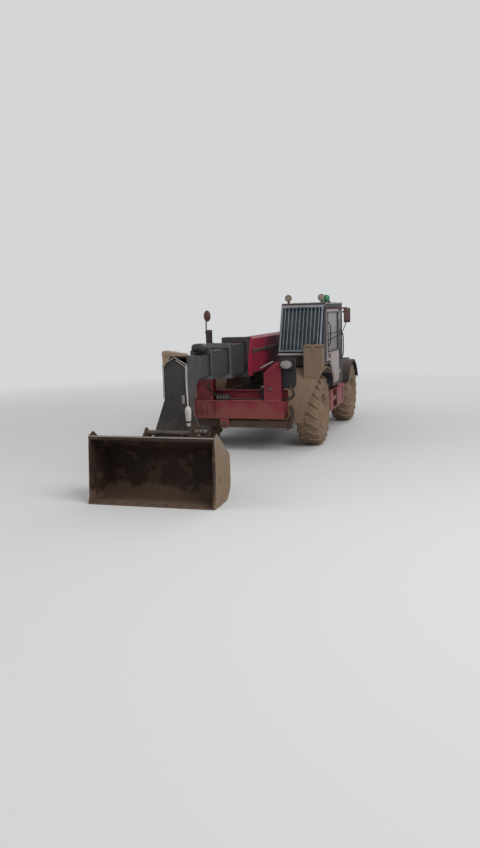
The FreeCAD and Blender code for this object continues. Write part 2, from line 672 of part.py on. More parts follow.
def make_knuckle(name, lever_way, post):
    """Steering knuckle on the left: two kingpin arms, a wall, the spindle and the lever."""
    pin = "-kingpin_offset"
    inner = f"({pin} + barrel_radius + knuckle_gap)"
    outer = f"({inner} + knuckle_wall)"
    low = "(barrel_half + fit)"
    high = "(barrel_half + fit + knuckle_arm)"
    pieces = [
        box(name + "_wall", ("-knuckle_half", "knuckle_half"), (inner, outer), (f"-{high}", high)),
        bar(name + "_spindle", "y", "spindle_radius", (inner, "spindle_end"), ("0", "0")),
        bar(name + "_flange", "y", "hub_cap_radius", (outer, "-hub_back - fit"), ("0", "0")),
    ]
    for side, (bottom, top) in enumerate(((low, high), (f"-{high}", f"-{low}"))):
        pieces.append(bar(f"{name}_eye{side}", "z", "arm_radius", (bottom, top), ("0", pin)))
        arm = box(f"{name}_arm{side}", ("-arm_radius", "arm_radius"), (pin, inner), (bottom, top))
        pieces.append(arm)
    reach = ("-lever_length", "0") if lever_way < 0 else ("0", "lever_length")
    lever_y = (f"{pin} - lever_width / 2", f"{pin} + lever_width / 2")
    pieces.append(box(name + "_lever", reach, lever_y, (f"-{high}", f"-{high} + lever_height")))
    if post:
        inward = "(-post_inset - post_wall)"
        pieces.append(box(name + "_root", ("-post_half", "post_half"), (inward, pin), (low, high)))
        top = "rear_arch_radius - fit"
        pieces.append(box(name + "_post", ("-post_half", "post_half"), (inward, "-post_inset"), (low, top)))
    bore = bar(name + "_bore", "z", "kingpin_radius + fit", (f"-{high} - 1", f"{high} + 1"), ("0", pin))
    curve = bar(name + "_curve", "y", "rear_arch_radius - fit", ("-tyre_width", "0"), ("0", "0"))
    body = cut(name, fuse(name + "_blank", pieces), [bore])
    if not post:
        doc.removeObject(curve.Name)
        return body
    lower = box(name + "_zone", ("-tyre_width", "tyre_width"), ("-tyre_width", "tyre_width"),
                ("-tyre_width", "tyre_width / 4 + barrel_half"))
    keep = fuse(name + "_keep", [curve, lower])
    common = doc.addObject("Part::MultiCommon", name + "_trim")
    common.Shapes = [body, keep]
    return common


def make_axle(name):
    """Steer axle: tube, differential housing, kingpin barrels and seats under the chassis."""
    pin = "(wheel_y - kingpin_offset)"
    cone = "(diff_half + diff_taper)"
    pieces = [turned(name + "_beam", [
        (f"-{pin}", "0"),
        (pin, "0"),
        (pin, "axle_radius * 0.8"),
        (cone, "axle_radius"),
        ("diff_half", "diff_radius"),
        ("-diff_half", "diff_radius"),
        (f"-{cone}", "axle_radius"),
        (f"-{pin}", "axle_radius * 0.8"),
    ])]
    for side, sign in (("left", ""), ("right", "-")):
        at = ("0", f"{sign}{pin}")
        pieces.append(bar(f"{name}_barrel_{side}", "z", "barrel_radius", ("-barrel_half", "barrel_half"), at))
        ends = ("-barrel_half - fit - knuckle_arm", "barrel_half + fit + knuckle_arm")
        pieces.append(bar(f"{name}_kingpin_{side}", "z", "kingpin_radius", ends, at))
    for side, middle in (("left", f"({PLATE_LEFT} + plate_wall / 2)"), ("right", f"({PLATE_RIGHT} - plate_wall / 2)")):
        y = (f"{middle} - pad_width / 2", f"{middle} + pad_width / 2")
        pieces.append(box(f"{name}_pad_{side}", ("-pad_length / 2", "pad_length / 2"), y, ("0", "pad_height")))
    return fuse(name, pieces)


tyre_left = make_tyre()
tyre_right = mirrored("tyre_right_hand", tyre_left)
rim_left = make_rim()
rim_right = mirrored("rim_right_hand", rim_left)
front_knuckle = make_knuckle("front_knuckle", -1, False)
rear_knuckle = make_knuckle("rear_knuckle", 1, True)
front_knuckle_right = mirrored("front_knuckle_right_hand", front_knuckle)
rear_knuckle_right = mirrored("rear_knuckle_right_hand", rear_knuckle)

# Corner, axle place, side, tyre, rim, knuckle
CORNERS = (
    ("front_left", "0", "", tyre_left, rim_left, front_knuckle),
    ("front_right", "0", "-", tyre_right, rim_right, front_knuckle_right),
    ("rear_left", "-wheelbase", "", tyre_left, rim_left, rear_knuckle),
    ("rear_right", "-wheelbase", "-", tyre_right, rim_right, rear_knuckle_right),
)
for corner, place, side, tyre, rim, knuckle in CORNERS:
    for kind, piece in (("tyre", tyre), ("rim", rim), ("knuckle", knuckle)):
        node(f"{kind}_{corner}", [piece], place, f"{side}wheel_y", WHEEL_Z)
for label, place in (("front_axle", "0"), ("rear_axle", "-wheelbase")):
    node(label, [make_axle(label + "_whole")], place, 0, WHEEL_Z)


# Fenders

def make_front_fender():
    """Arched band over the left front wheel with its inner wall."""
    outer = "(arch_radius + fender_wall)"
    inner_side = "(liner_y - fender_wall)"
    band = turned("front_fender_band", [
        (f"{inner_side} - wheel_y", outer),
        (f"{inner_side} - wheel_y", "liner_radius"),
        ("liner_y - wheel_y", "liner_radius"),
        ("liner_y - wheel_y", "arch_radius"),
        ("fender_out - wheel_y", "arch_radius"),
        ("fender_out - wheel_y", outer),
    ], "fender_sweep")
    body = group("front_fender_turned", [band])
    body.Placement = Placement(Vector(), Rotation(Vector(0, 1, 0), value("fender_lead")))
    slant = prism("fender_slant", "yz", [
        ("flap_out - wheel_y", f"-{WHEEL_Z}"),
        ("fender_out - wheel_y + 1", f"-{WHEEL_Z}"),
        ("fender_out - wheel_y + 1", f"flap_high - {WHEEL_Z}"),
        ("flap_out - wheel_y", f"flap_low - {WHEEL_Z}"),
    ], ("box_back", f"{outer} + 1"))
    return cut("front_fender_arch", body, [slant])


front_fender = make_front_fender()
box_blank = box("fender_box_blank", ("box_back", "box_back + box_length"),
                ("box_in - wheel_y", "fender_out - wheel_y"), ("0", f"box_high - {WHEEL_Z}"))
box_round = bar("fender_box_round", "y", "arch_radius + fender_wall / 2",
                ("-wheel_y", "wheel_y"), ("0", "0"))
box_slant = prism("fender_box_slant", "yz", [
    ("flap_out - wheel_y", f"flap_low - {WHEEL_Z}"),
    ("fender_out - wheel_y + 1", f"flap_low - {WHEEL_Z}"),
    ("fender_out - wheel_y + 1", f"flap_high - {WHEEL_Z}"),
], ("box_back - 1", "box_back + box_length + 1"))
fender_box = cut("fender_box", box_blank, [box_round, box_slant])
left_fender = fuse("left_front_fender", [front_fender, fender_box])
right_fender = mirrored("right_front_fender", front_fender)
node("front_fender_left", [left_fender], 0, "wheel_y", WHEEL_Z)
node("front_fender_right", [right_fender], 0, "-wheel_y", WHEEL_Z)

rear_fender = turned("rear_fender", [
    ("-post_inset - post_wall", "rear_arch_radius + fender_wall"),
    ("-post_inset - post_wall", "rear_arch_radius"),
    (f"{TYRE_HALF} + fender_wall", "rear_arch_radius"),
    (f"{TYRE_HALF} + fender_wall", "rear_arch_radius - lip_drop"),
    (f"{TYRE_HALF} + 2 * fender_wall", "rear_arch_radius - lip_drop"),
    (f"{TYRE_HALF} + 2 * fender_wall", "rear_arch_radius + fender_wall"),
], "rear_fender_sweep")
node("rear_fender_left", [rear_fender], "-wheelbase", "wheel_y", WHEEL_Z)
node("rear_fender_right", [mirrored("rear_fender_right_hand", rear_fender)], "-wheelbase", "-wheel_y", WHEEL_Z)


# Chassis

def side_outline():
    """Side plate seen from the side: notches over the axles and the tower of the boom pivot."""
    high = f"({WHEEL_Z} + pad_height + fit)"
    points = [("nose_x", "chassis_low + notch_slope"), ("nose_x", "chassis_high")]
    points.append((f"{PIVOT_X} + tower_foot", "chassis_high"))
    points.append((f"{PIVOT_X} + tower_half", "pivot_z + tower_top"))
    points.append((f"{PIVOT_X} - tower_half", "pivot_z + tower_top"))
    points.append((TAIL_X, "pivot_z - tower_foot"))
    points.append((TAIL_X, "chassis_low + notch_slope"))
    for axle in ("-wheelbase", "0"):
        points.append((f"{axle} - notch_half - notch_slope", "chassis_low"))
        points.append((f"{axle} - notch_half", high))
        points.append((f"{axle} + notch_half", high))
        points.append((f"{axle} + notch_half + notch_slope", "chassis_low"))
    return points


between = (f"{PLATE_RIGHT}", f"{PLATE_LEFT}")
chassis = [
    prism("plate_left", "xz", side_outline(), (PLATE_LEFT, f"{PLATE_LEFT} + plate_wall")),
    prism("plate_right", "xz", side_outline(), (f"{PLATE_RIGHT} - plate_wall", PLATE_RIGHT)),
    box("nose_box", ("nose_x - nose_wall", "nose_x"), between, ("chassis_low + notch_slope", "chassis_high - nose_drop")),
    box("tail_plate", (TAIL_X, f"{TAIL_X} + tail_wall"), between, ("chassis_low + notch_slope", "pivot_z - tower_foot")),
    box("belly", ("-wheelbase + notch_half + 2 * notch_slope", "-notch_half - 2 * notch_slope"), between,
        ("chassis_low", "chassis_low + belly_wall")),
    bar("cross_front", "y", "cross_radius", between, ("-hood_front", "chassis_low + 2 * cross_radius")),
    bar("cross_rear", "y", "cross_radius", between, (HOOD_BACK, "chassis_low + 2 * cross_radius")),
    bar("lift_base_pin", "y", "lift_pin", between, (LIFT_BASE_X, "lift_base_z")),
    bar("boom_pivot_pin", "y", "pivot_radius", between, (PIVOT_X, "pivot_z")),
]
lift_gap = "(lift_half + cheek_gap)"
for index, (low, high) in enumerate(((PLATE_RIGHT, f"boom_y - {lift_gap}"), (f"boom_y + {lift_gap}", PLATE_LEFT))):
    chassis.append(bar(f"lift_base_boss{index}", "y", "lift_eye", (low, high), (LIFT_BASE_X, "lift_base_z")))
boss_gap = "(s1_width / 2 + cheek_gap)"
for index, (low, high) in enumerate(((PLATE_RIGHT, f"boom_y - {boss_gap}"), (f"boom_y + {boss_gap}", PLATE_LEFT))):
    chassis.append(bar(f"pivot_boss{index}", "y", "pivot_boss", (low, high), (PIVOT_X, "pivot_z")))

# Arms that carry the cab on the left, the engine on the right and the fenders on both sides
left_face = f"({PLATE_LEFT} + plate_wall)"
right_face = f"({PLATE_RIGHT} - plate_wall)"
for index, place in enumerate(("-arch_back - outrigger", "-cab_back + outrigger")):
    chassis.append(box(f"cab_arm{index}", (f"{place} - outrigger / 2", f"{place} + outrigger / 2"),
                       (left_face, f"{CAB_OUT} - outrigger"), (f"{TANK_HIGH} + fit", "cab_floor - fit")))
for index, place in enumerate(("-hood_front - 2 * outrigger", f"{HOOD_BACK} + 2 * outrigger")):
    chassis.append(box(f"engine_arm{index}", (f"{place} - cradle_wall", f"{place} + cradle_wall"),
                       ("-hood_out + 2 * hood_wall", right_face), ("cradle_low", "cradle_low + cradle_wall")))
for index, (place, height) in enumerate((("0", "chassis_high - outrigger"), ("nose_x - 2 * outrigger", WHEEL_Z))):
    along = (f"{place} - outrigger / 2", f"{place} + outrigger / 2")
    up = (height, f"{height} + outrigger")
    chassis.append(box(f"fender_arm_left{index}", along, (left_face, "liner_y - fender_wall - fit"), up))
    chassis.append(box(f"fender_arm_right{index}", along, ("-liner_y + fender_wall + fit", right_face), up))
node("chassis_frame", [fuse("chassis_frame_whole", chassis)])

weight = box("weight_blank", (f"{TAIL_X} - rear_overhang + tail_x", f"{TAIL_X} - fit"),
             ("-weight_half", "weight_half"), ("weight_low", "weight_high"))
weight_round = rounded("weight_round_ends", weight, "weight_round", lambda a, b: (
    abs(a.z - b.z) > 1 and a.x < value(TAIL_X) - 1 and abs(a.x - b.x) < 1
    and abs(a.x - value(TAIL_X)) > value("weight_round")))
node("counterweight", [weight_round])


# Boom

def tube(name, width, height, wall, span):
    """Hollow boom part between two places, open at both ends."""
    shell = box(name + "_outer", span, (f"boom_y - {width} / 2", f"boom_y + {width} / 2"),
                (f"boom_z - {height} / 2", f"boom_z + {height} / 2"))
    inner = (f"{width} / 2 - {wall}", f"{height} / 2 - {wall}")
    hollow = box(name + "_inner", (f"{span[0]} - 1", f"{span[1]} + 1"),
                 (f"boom_y - ({inner[0]})", f"boom_y + ({inner[0]})"),
                 (f"boom_z - ({inner[1]})", f"boom_z + ({inner[1]})"))
    return cut(name, shell, [hollow])


def collar(name, outer, inner, span):
    """Reinforcing ring round the mouth of a boom part."""
    ring = box(name + "_outer", span, (f"boom_y - ({outer[0]}) / 2", f"boom_y + ({outer[0]}) / 2"),
               (f"boom_z - ({outer[1]}) / 2", f"boom_z + ({outer[1]}) / 2"))
    hole = box(name + "_inner", (f"{span[0]} - 1", f"{span[1]} + 1"),
               (f"boom_y - ({inner[0]}) / 2", f"boom_y + ({inner[0]}) / 2"),
               (f"boom_z - ({inner[1]}) / 2", f"boom_z + ({inner[1]}) / 2"))
    return cut(name, ring, [hole])


def wear_pads(name, part, follower, mouth):
    """Four pads in a mouth that guide the next boom part."""
    width, height, wall = part
    next_width, next_height = follower
    span = (f"{mouth} - pad_reach", mouth)
    half = f"({width} / 2 - {wall})"
    tall = f"({height} / 2 - {wall})"
    near = f"({next_width} / 2 + fit)"
    top = f"({next_height} / 2 + fit)"
    flat = f"({next_width} / 2 - pad_trim)"
    return [
        box(name + "_top", span, (f"boom_y - {flat}", f"boom_y + {flat}"), (f"boom_z + {top}", f"boom_z + {tall}")),
        box(name + "_bottom", span, (f"boom_y - {flat}", f"boom_y + {flat}"), (f"boom_z - {tall}", f"boom_z - {top}")),
        box(name + "_left", span, (f"boom_y + {near}", f"boom_y + {half}"), ("boom_z - pad_side / 2", "boom_z + pad_side / 2")),
        box(name + "_right", span, (f"boom_y - {half}", f"boom_y - {near}"), ("boom_z - pad_side / 2", "boom_z + pad_side / 2")),
    ]


# First part: closed tail on the pivot, slanted underside behind, lugs of the lift cylinder
s1_tail = f"({PIVOT_X} - boom_tail)"
s1_profile = [
    (s1_tail, "pivot_z - boom_tail / 2"),
    (f"{PIVOT_X} + slope_back - slope_run", f"{BOOM_LOW} + slope_rise"),
    (f"{PIVOT_X} + slope_back", BOOM_LOW),
    ("mouth_x", BOOM_LOW),
    ("mouth_x", BOOM_HIGH),
    (f"{PIVOT_X}", BOOM_HIGH),
    (s1_tail, "pivot_z + boom_tail / 2"),
]
s1_blank = prism("s1_blank", "xz", s1_profile, ("boom_y - s1_width / 2", "boom_y + s1_width / 2"))
s1_hollow = box("s1_hollow", (f"{PIVOT_X} + slope_back + s1_wall", "mouth_x + 1"),
                ("boom_y - s1_width / 2 + s1_wall", "boom_y + s1_width / 2 - s1_wall"),
                (f"{BOOM_LOW} + s1_wall", f"{BOOM_HIGH} - s1_wall"))
s1_bore = bar("s1_bore", "y", "pivot_radius + fit", ("boom_y - s1_width", "boom_y + s1_width"), (PIVOT_X, "pivot_z"))
s1_pieces = [cut("s1_shell", s1_blank, [s1_hollow, s1_bore])]
s1_pieces.append(collar("s1_collar", ("s1_width + bolt_gap", "s1_collar_height"), ("s1_width", "s1_height"),
                        ("mouth_x - s1_collar_length", "mouth_x")))
s1_pieces += wear_pads("s1_pad", ("s1_width", "s1_height", "s1_wall"), ("s2_width", "s2_height"), "mouth_x")
for index, side in enumerate(("-1", "1")):
    face = f"(boom_y + {side} * {lift_gap})"
    back = f"(boom_y + {side} * ({lift_gap} + lift_cheek))"
    span = (back, face) if side == "-1" else (face, back)
    s1_pieces.append(prism(f"lift_cheek{index}", "xz", [
        (f"{LIFT_EYE_X} - 3 * lift_eye", BOOM_LOW),
        (f"{LIFT_EYE_X} - lift_eye", "lift_eye_z - lift_eye / 2", "lift_eye * 1.13"),
        (f"{LIFT_EYE_X} + lift_eye", "lift_eye_z - lift_eye / 2"),
        (f"{LIFT_EYE_X} + 3 * lift_eye", BOOM_LOW),
    ], span))
node("boom_section_1", [fuse("boom_section_1_whole", s1_pieces)])

# Second and third parts: tube, collar and the pads for the next one
for number, name, follower in ((2, "s2", "s3"), (3, "s3", "s4")):
    mouth = FRONT[number]
    span = (f"{mouth} - {name}_length", mouth)
    pieces = [tube(name, f"{name}_width", f"{name}_height", f"{name}_wall", span)]
    pieces.append(collar(f"{name}_collar", (f"{name}_width + bolt_gap", f"{name}_collar_height"),
                         (f"{name}_width", f"{name}_height"), (f"{mouth} - {name}_collar_length", mouth)))
    pieces += wear_pads(f"{name}_pad", (f"{name}_width", f"{name}_height", f"{name}_wall"),
                        (f"{follower}_width", f"{follower}_height"), mouth)
    node(f"boom_section_{number}", [fuse(f"boom_section_{number}_whole", pieces)])

# Fourth part with the head that reaches down to the hitch pin
s4_low = "(boom_z - s4_height / 2)"
s4_high = "(boom_z + s4_height / 2)"
s4_front = FRONT[4]
s4_pieces = [tube("s4", "s4_width", "s4_height", "s4_wall", (f"{s4_front} - s4_length", f"{s4_front} - 1"))]
head_side = [
    (f"{s4_front} - head_reach", s4_high),
    (f"{s4_front} - head_reach", s4_low),
    (f"{s4_front} - tilt_eye", "tilt_top_z - tilt_eye"),
    (f"{HITCH_X} - 2 * hitch_boss", "hitch_z + hitch_boss"),
    (f"{HITCH_X} - hitch_boss", "hitch_z", "hitch_boss + 1"),
    (f"{HITCH_X} + hitch_boss", "hitch_z"),
    (f"{HITCH_X} + hitch_boss / 2", "hitch_z + hitch_boss"),
    (f"{HEAD_X} - head_front", "front_low"),
    (f"{HEAD_X} - head_front", "head_top"),
    (f"{s4_front} - head_reach / 2", "head_top"),
]
head_half = "(s4_width / 2 + head_spread)"
for index, span in enumerate(((f"boom_y - {head_half} - head_plate", f"boom_y - {head_half}"),
                              (f"boom_y + {head_half}", f"boom_y + {head_half} + head_plate"))):
    side = prism(f"head_side{index}", "xz", head_side, span)
    bore = bar(f"head_bore{index}", "y", "hitch_radius + fit", (f"{span[0]} - 1", f"{span[1]} + 1"), (HITCH_X, "hitch_z"))
    s4_pieces.append(cut(f"head_side_bored{index}", side, [bore]))
plate_half = f"({head_half} + head_plate)"
s4_pieces.append(prism("head_front_plate", "yz", [
    (f"boom_y - {plate_half} - head_flare", "front_low"),
    (f"boom_y + {plate_half} + head_flare", "front_low"),
    (f"boom_y + {plate_half}", "flare_z"),
    (f"boom_y + {plate_half}", "head_top - gable_rise"),
    ("boom_y", "head_top"),
    (f"boom_y - {plate_half}", "head_top - gable_rise"),
    (f"boom_y - {plate_half}", "flare_z"),
], (f"{HEAD_X} - head_front", HEAD_X)))
s4_pieces.append(box("head_top_plate", (f"{s4_front} - head_reach / 2", f"{HEAD_X} - head_front"),
                     (f"boom_y - {plate_half}", f"boom_y + {plate_half}"), ("head_top - head_front", "head_top")))
for index, span in enumerate(((f"boom_y - {head_half}", "boom_y - s4_width / 2"),
                              ("boom_y + s4_width / 2", f"boom_y + {head_half}"))):
    s4_pieces.append(box(f"head_packer{index}", (f"{s4_front} - head_reach", f"{s4_front} - 1"), span,
                         (s4_low, s4_high)))
s4_pieces.append(bar("tilt_top_pin", "y", "tilt_pin", (f"boom_y - {plate_half}", f"boom_y + {plate_half}"),
                     (f"{s4_front} + tilt_top_x", "tilt_top_z")))
for index, (low, high) in enumerate(((f"boom_y - {head_half}", "boom_y - eye_half - cheek_gap"),
                                     ("boom_y + eye_half + cheek_gap", f"boom_y + {head_half}"))):
    s4_pieces.append(bar(f"tilt_top_boss{index}", "y", "tilt_eye", (low, high), (f"{s4_front} + tilt_top_x", "tilt_top_z")))
node("boom_section_4", [fuse("boom_section_4_whole", s4_pieces)])


# Quick hitch
tilt_angle = math.radians(value("tilt_lever_angle"))
lever_cosine = math.cos(tilt_angle)
lever_sine = math.sin(tilt_angle)
lever_x = f"({HITCH_X} + tilt_lever * {lever_cosine:.9f})"
lever_z = f"(hitch_z + tilt_lever * {lever_sine:.9f})"
hitch_gap = f"({plate_half} + cheek_gap)"
hitch_pieces = [
    bar("hitch_pin", "y", "hitch_radius", (f"boom_y - {hitch_gap} - hitch_cheek", f"boom_y + {hitch_gap} + hitch_cheek"),
        (HITCH_X, "hitch_z")),
    bar("hitch_upper_bar", "y", "hitch_bar", ("boom_y - hitch_half", "boom_y + hitch_half"),
        (f"{HITCH_FRONT} - hitch_bar", "hitch_top")),
    bar("hitch_lower_bar", "y", "hitch_low_bar", ("boom_y - hitch_half", "boom_y + hitch_half"),
        (f"{HITCH_FRONT} - hitch_low_bar", "hitch_low")),
]
hitch_outline = [
    (f"{HITCH_FRONT} - 2 * hitch_bar", "hitch_top"),
    (f"{HITCH_X} - hitch_boss", "hitch_z + hitch_boss"),
    (f"{HITCH_X} - hitch_boss", "hitch_z - hitch_boss"),
    (f"{HITCH_FRONT} - 2 * hitch_low_bar", "hitch_low - hitch_low_bar"),
    (f"{HITCH_FRONT} - fit", "hitch_low - hitch_low_bar"),
    (f"{HITCH_FRONT} - fit", "hitch_top"),
]
for index, span in enumerate(((f"boom_y - {hitch_gap} - hitch_cheek", f"boom_y - {hitch_gap}"),
                              (f"boom_y + {hitch_gap}", f"boom_y + {hitch_gap} + hitch_cheek"),
                              ("boom_y - hitch_half", "boom_y - hitch_half + hitch_cheek"),
                              ("boom_y + hitch_half - hitch_cheek", "boom_y + hitch_half"))):
    hitch_pieces.append(prism(f"hitch_side{index}", "xz", hitch_outline, span))
hitch_pieces.append(box("hitch_web", (f"{HITCH_FRONT} - fit - hitch_cheek", f"{HITCH_FRONT} - fit"),
                        ("boom_y - hitch_half", "boom_y + hitch_half"), ("hitch_z - hitch_boss", "front_low - hitch_boss")))
for index, side in enumerate((-1, 1)):
    near = f"(boom_y + {side} * (eye_half + cheek_gap))"
    far = f"(boom_y + {side} * (eye_half + cheek_gap + cheek))"
    span = (far, near) if side < 0 else (near, far)
    hitch_pieces.append(prism(f"tilt_lever{index}", "xz", [
        (f"{HITCH_FRONT} - hitch_cheek", "hitch_z + hitch_radius"),
        (HITCH_X, "hitch_z + hitch_boss"),
        (f"{lever_x} - tilt_eye * {abs(lever_sine):.9f}", f"{lever_z} + tilt_eye * {abs(lever_cosine):.9f}", "tilt_eye + 1"),
        (f"{lever_x} + tilt_eye * {abs(lever_sine):.9f}", f"{lever_z} - tilt_eye * {abs(lever_cosine):.9f}"),
        (f"{HITCH_FRONT} - hitch_cheek", "hitch_z - hitch_boss"),
    ], span))
node("quick_hitch", [fuse("quick_hitch_whole", hitch_pieces)])


# Bucket: shell bent from the cutting edge round the heel and crown to the top edge, two sides
BUCKET_RISE = "(bucket_height - bucket_shoulder)"
BUCKET_RUN = "(bucket_depth - bucket_lip)"
BUCKET_SLANT = f"sqrt({BUCKET_RISE} ^ 2 + {BUCKET_RUN} ^ 2)"
BUCKET_EASE = f"(({BUCKET_SLANT} - {BUCKET_RISE}) / {BUCKET_RUN})"
BUCKET_SLOPE = f"({BUCKET_RISE} / {BUCKET_RUN})"


def bucket_outline(inset, front, reach):
    """Side view of the bucket shell, drawn in by an inset; the mouth is moved forward by a reach."""
    back = f"({HITCH_FRONT} + {inset})"
    low = f"({inset})"
    heel = f"(bucket_heel - {inset})"
    crown = f"(bucket_crown - {inset})"
    corner = f"(bucket_shoulder - {inset} * {BUCKET_EASE})"
    eased = f"({crown} * {BUCKET_EASE})"
    return [
        (f"{EDGE_X} + {reach}", low),
        (front, f"{corner} + ({front} - {back}) * {BUCKET_SLOPE}"),
        (f"{back} + {eased} * {BUCKET_RUN} / {BUCKET_SLANT}",
         f"{corner} + {eased} * {BUCKET_RISE} / {BUCKET_SLANT}", crown),
        (back, f"{corner} - {eased}"),
        (back, f"{low} + {heel}", heel),
        (f"{back} + {heel}", low),
    ]


bucket_in = "(boom_y - bucket_width / 2)"
bucket_out = "(boom_y + bucket_width / 2)"
lip_x = f"({EDGE_X} - bucket_lip)"
bucket_blank = prism("bucket_blank", "xz", bucket_outline("0", lip_x, "0"), (bucket_in, bucket_out))
bucket_hollow = prism("bucket_hollow", "xz", bucket_outline("bucket_wall", f"({EDGE_X} + bucket_lip)", "bucket_lip"),
                      (f"{bucket_in} + bucket_side", f"{bucket_out} - bucket_side"))
mouth_cut = prism("bucket_mouth", "xz", [
    (EDGE_X, "edge_wall"),
    (f"{EDGE_X} + bucket_depth", "edge_wall"),
    (f"{EDGE_X} + bucket_depth", "bucket_height - lip_height"),
    (lip_x, "bucket_height - lip_height", "-mouth_round"),
], (f"{bucket_in} - 1", f"{bucket_out} + 1"))
bucket_pieces = [
    cut("bucket_shell", bucket_blank, [bucket_hollow, mouth_cut]),
    prism("cutting_edge", "xz", [
        (EDGE_X, "0"),
        (f"{EDGE_X} - edge_depth", "edge_wall"),
        (f"{EDGE_X} - 2 * edge_depth", "edge_wall"),
        (f"{EDGE_X} - 2 * edge_depth", "0"),
    ], (bucket_in, bucket_out)),
    box("top_edge", (f"{lip_x} - lip_depth", lip_x), (bucket_in, bucket_out),
        ("bucket_height - lip_height", "bucket_height")),
]
for index, span in enumerate(((bucket_in, f"{bucket_in} + bucket_side"), (f"{bucket_out} - bucket_side", bucket_out))):
    bucket_pieces.append(prism(f"bucket_ear{index}", "xz", [
        (lip_x, "bucket_height - lip_height"),
        (lip_x, "bucket_height"),
        (f"{lip_x} - ear_back", "bucket_height + ear_rise"),
        (f"{lip_x} - 3 * ear_back", f"bucket_height - 3 * ear_back * {BUCKET_SLOPE} + ear_rise"),
        (f"{lip_x} - 4 * ear_back", f"bucket_height - 4 * ear_back * {BUCKET_SLOPE}"),
        (f"{lip_x} - 4 * ear_back", "bucket_shoulder - ear_rise"),
    ], span))
hooks = []
for index, span in enumerate((("boom_y - hitch_half - hook_wall - fit", "boom_y - hitch_half - fit"),
                              ("boom_y + hitch_half + fit", "boom_y + hitch_half + hook_wall + fit"))):
    hooks.append(prism(f"hook{index}", "xz", [
        (f"{HITCH_FRONT} + bucket_crown", f"bucket_shoulder + bucket_crown * {BUCKET_SLOPE}"),
        (f"{HITCH_FRONT} - hitch_bar", "hitch_top + 2 * hitch_bar"),
        (f"{HITCH_FRONT} - 2 * hitch_bar - bucket_wall", "hitch_top + hitch_bar"),
        (f"{HITCH_FRONT} - 2 * hitch_bar - bucket_wall", "hitch_top - hitch_bar"),
        (f"{HITCH_FRONT} - hitch_bar / 2", "hitch_low"),
        (f"{HITCH_FRONT} + 2 * bucket_wall", "hitch_low"),
        (f"{HITCH_FRONT} + 2 * bucket_wall", "bucket_shoulder - bucket_crown"),
    ], span))
hooks_trimmed = cut("hooks_trimmed", group("hooks", hooks), [bucket_hollow])
bucket = fuse("bucket_whole", bucket_pieces + [hooks_trimmed])
node("bucket", [bucket])


# Cylinders: along X in their own frame, the barrel's pin at the origin

def make_cylinder(name, pin, eye, half, radius, rod, barrel_length, rod_inner, length):
    """Barrel and rod of a hydraulic cylinder; length runs from pin to rod eye at rest."""
    base = f"({eye} + cheek_gap)"
    barrel = [
        bar(f"{name}_neck", "x", f"{half} - 2", (f"{eye} / 2", f"{base} + 1"), ("0", "0")),
        bar(f"{name}_tube", "x", radius, (base, barrel_length), ("0", "0")),
        bar(f"{name}_gland", "x", f"{radius} * 1.1", (f"{barrel_length} - {radius}", barrel_length), ("0", "0")),
        bar(f"{name}_base", "y", eye, (f"-{half}", half), ("0", "0")),
    ]
    holes = [
        bar(f"{name}_hole", "x", f"{rod} + fit", (f"{base} + base_wall", f"{barrel_length} + 1"), ("0", "0")),
        bar(f"{name}_base_hole", "y", f"{pin} + fit", (f"-{half} - {radius}", f"{half} + {radius}"), ("0", "0")),
    ]
    barrel_body = cut(f"{name}_barrel", fuse(f"{name}_barrel_blank", barrel), holes)
    rod_pieces = [
        bar(f"{name}_shaft", "x", rod, (rod_inner, f"{length} - {eye} / 2"), ("0", "0")),
        bar(f"{name}_end", "y", eye, (f"-{half}", half), (length, "0")),
    ]
    end_hole = bar(f"{name}_end_hole", "y", pin, (f"-{half} - 1", f"{half} + 1"), (length, "0"))
    rod_body = cut(f"{name}_rod", fuse(f"{name}_rod_blank", rod_pieces), [end_hole])
    return barrel_body, rod_body


def span_between(start, end):
    """Length and angle in degrees from one place to another in a plane."""
    run = value(end[0]) - value(start[0])
    rise = value(end[1]) - value(start[1])
    return math.hypot(run, rise), math.degrees(math.atan2(rise, run))


lift_length, lift_angle = span_between((LIFT_BASE_X, "lift_base_z"), (LIFT_EYE_X, "lift_eye_z"))
lift = make_cylinder("lift", "lift_pin", "lift_eye", "lift_half", "lift_barrel", "lift_rod",
                     "lift_barrel_length", "lift_rod_inner", lift_length)
for label, piece in zip(("lift_cylinder", "lift_rod_bar"), lift):
    node(label, [piece], LIFT_BASE_X, "boom_y", "lift_base_z", Rotation(Vector(0, 1, 0), -lift_angle))

tilt_top = (f"{s4_front} + tilt_top_x", "tilt_top_z")
tilt_length, tilt_turn = span_between(tilt_top, (lever_x, lever_z))
tilt = make_cylinder("tilt", "tilt_pin", "tilt_eye", "eye_half", "tilt_barrel", "tilt_rod",
                     "tilt_barrel_length", "tilt_rod_inner", tilt_length)
for label, piece in zip(("tilt_cylinder", "tilt_rod_bar"), tilt):
    node(label, [piece], tilt_top[0], "boom_y", "tilt_top_z", Rotation(Vector(0, 1, 0), -tilt_turn))


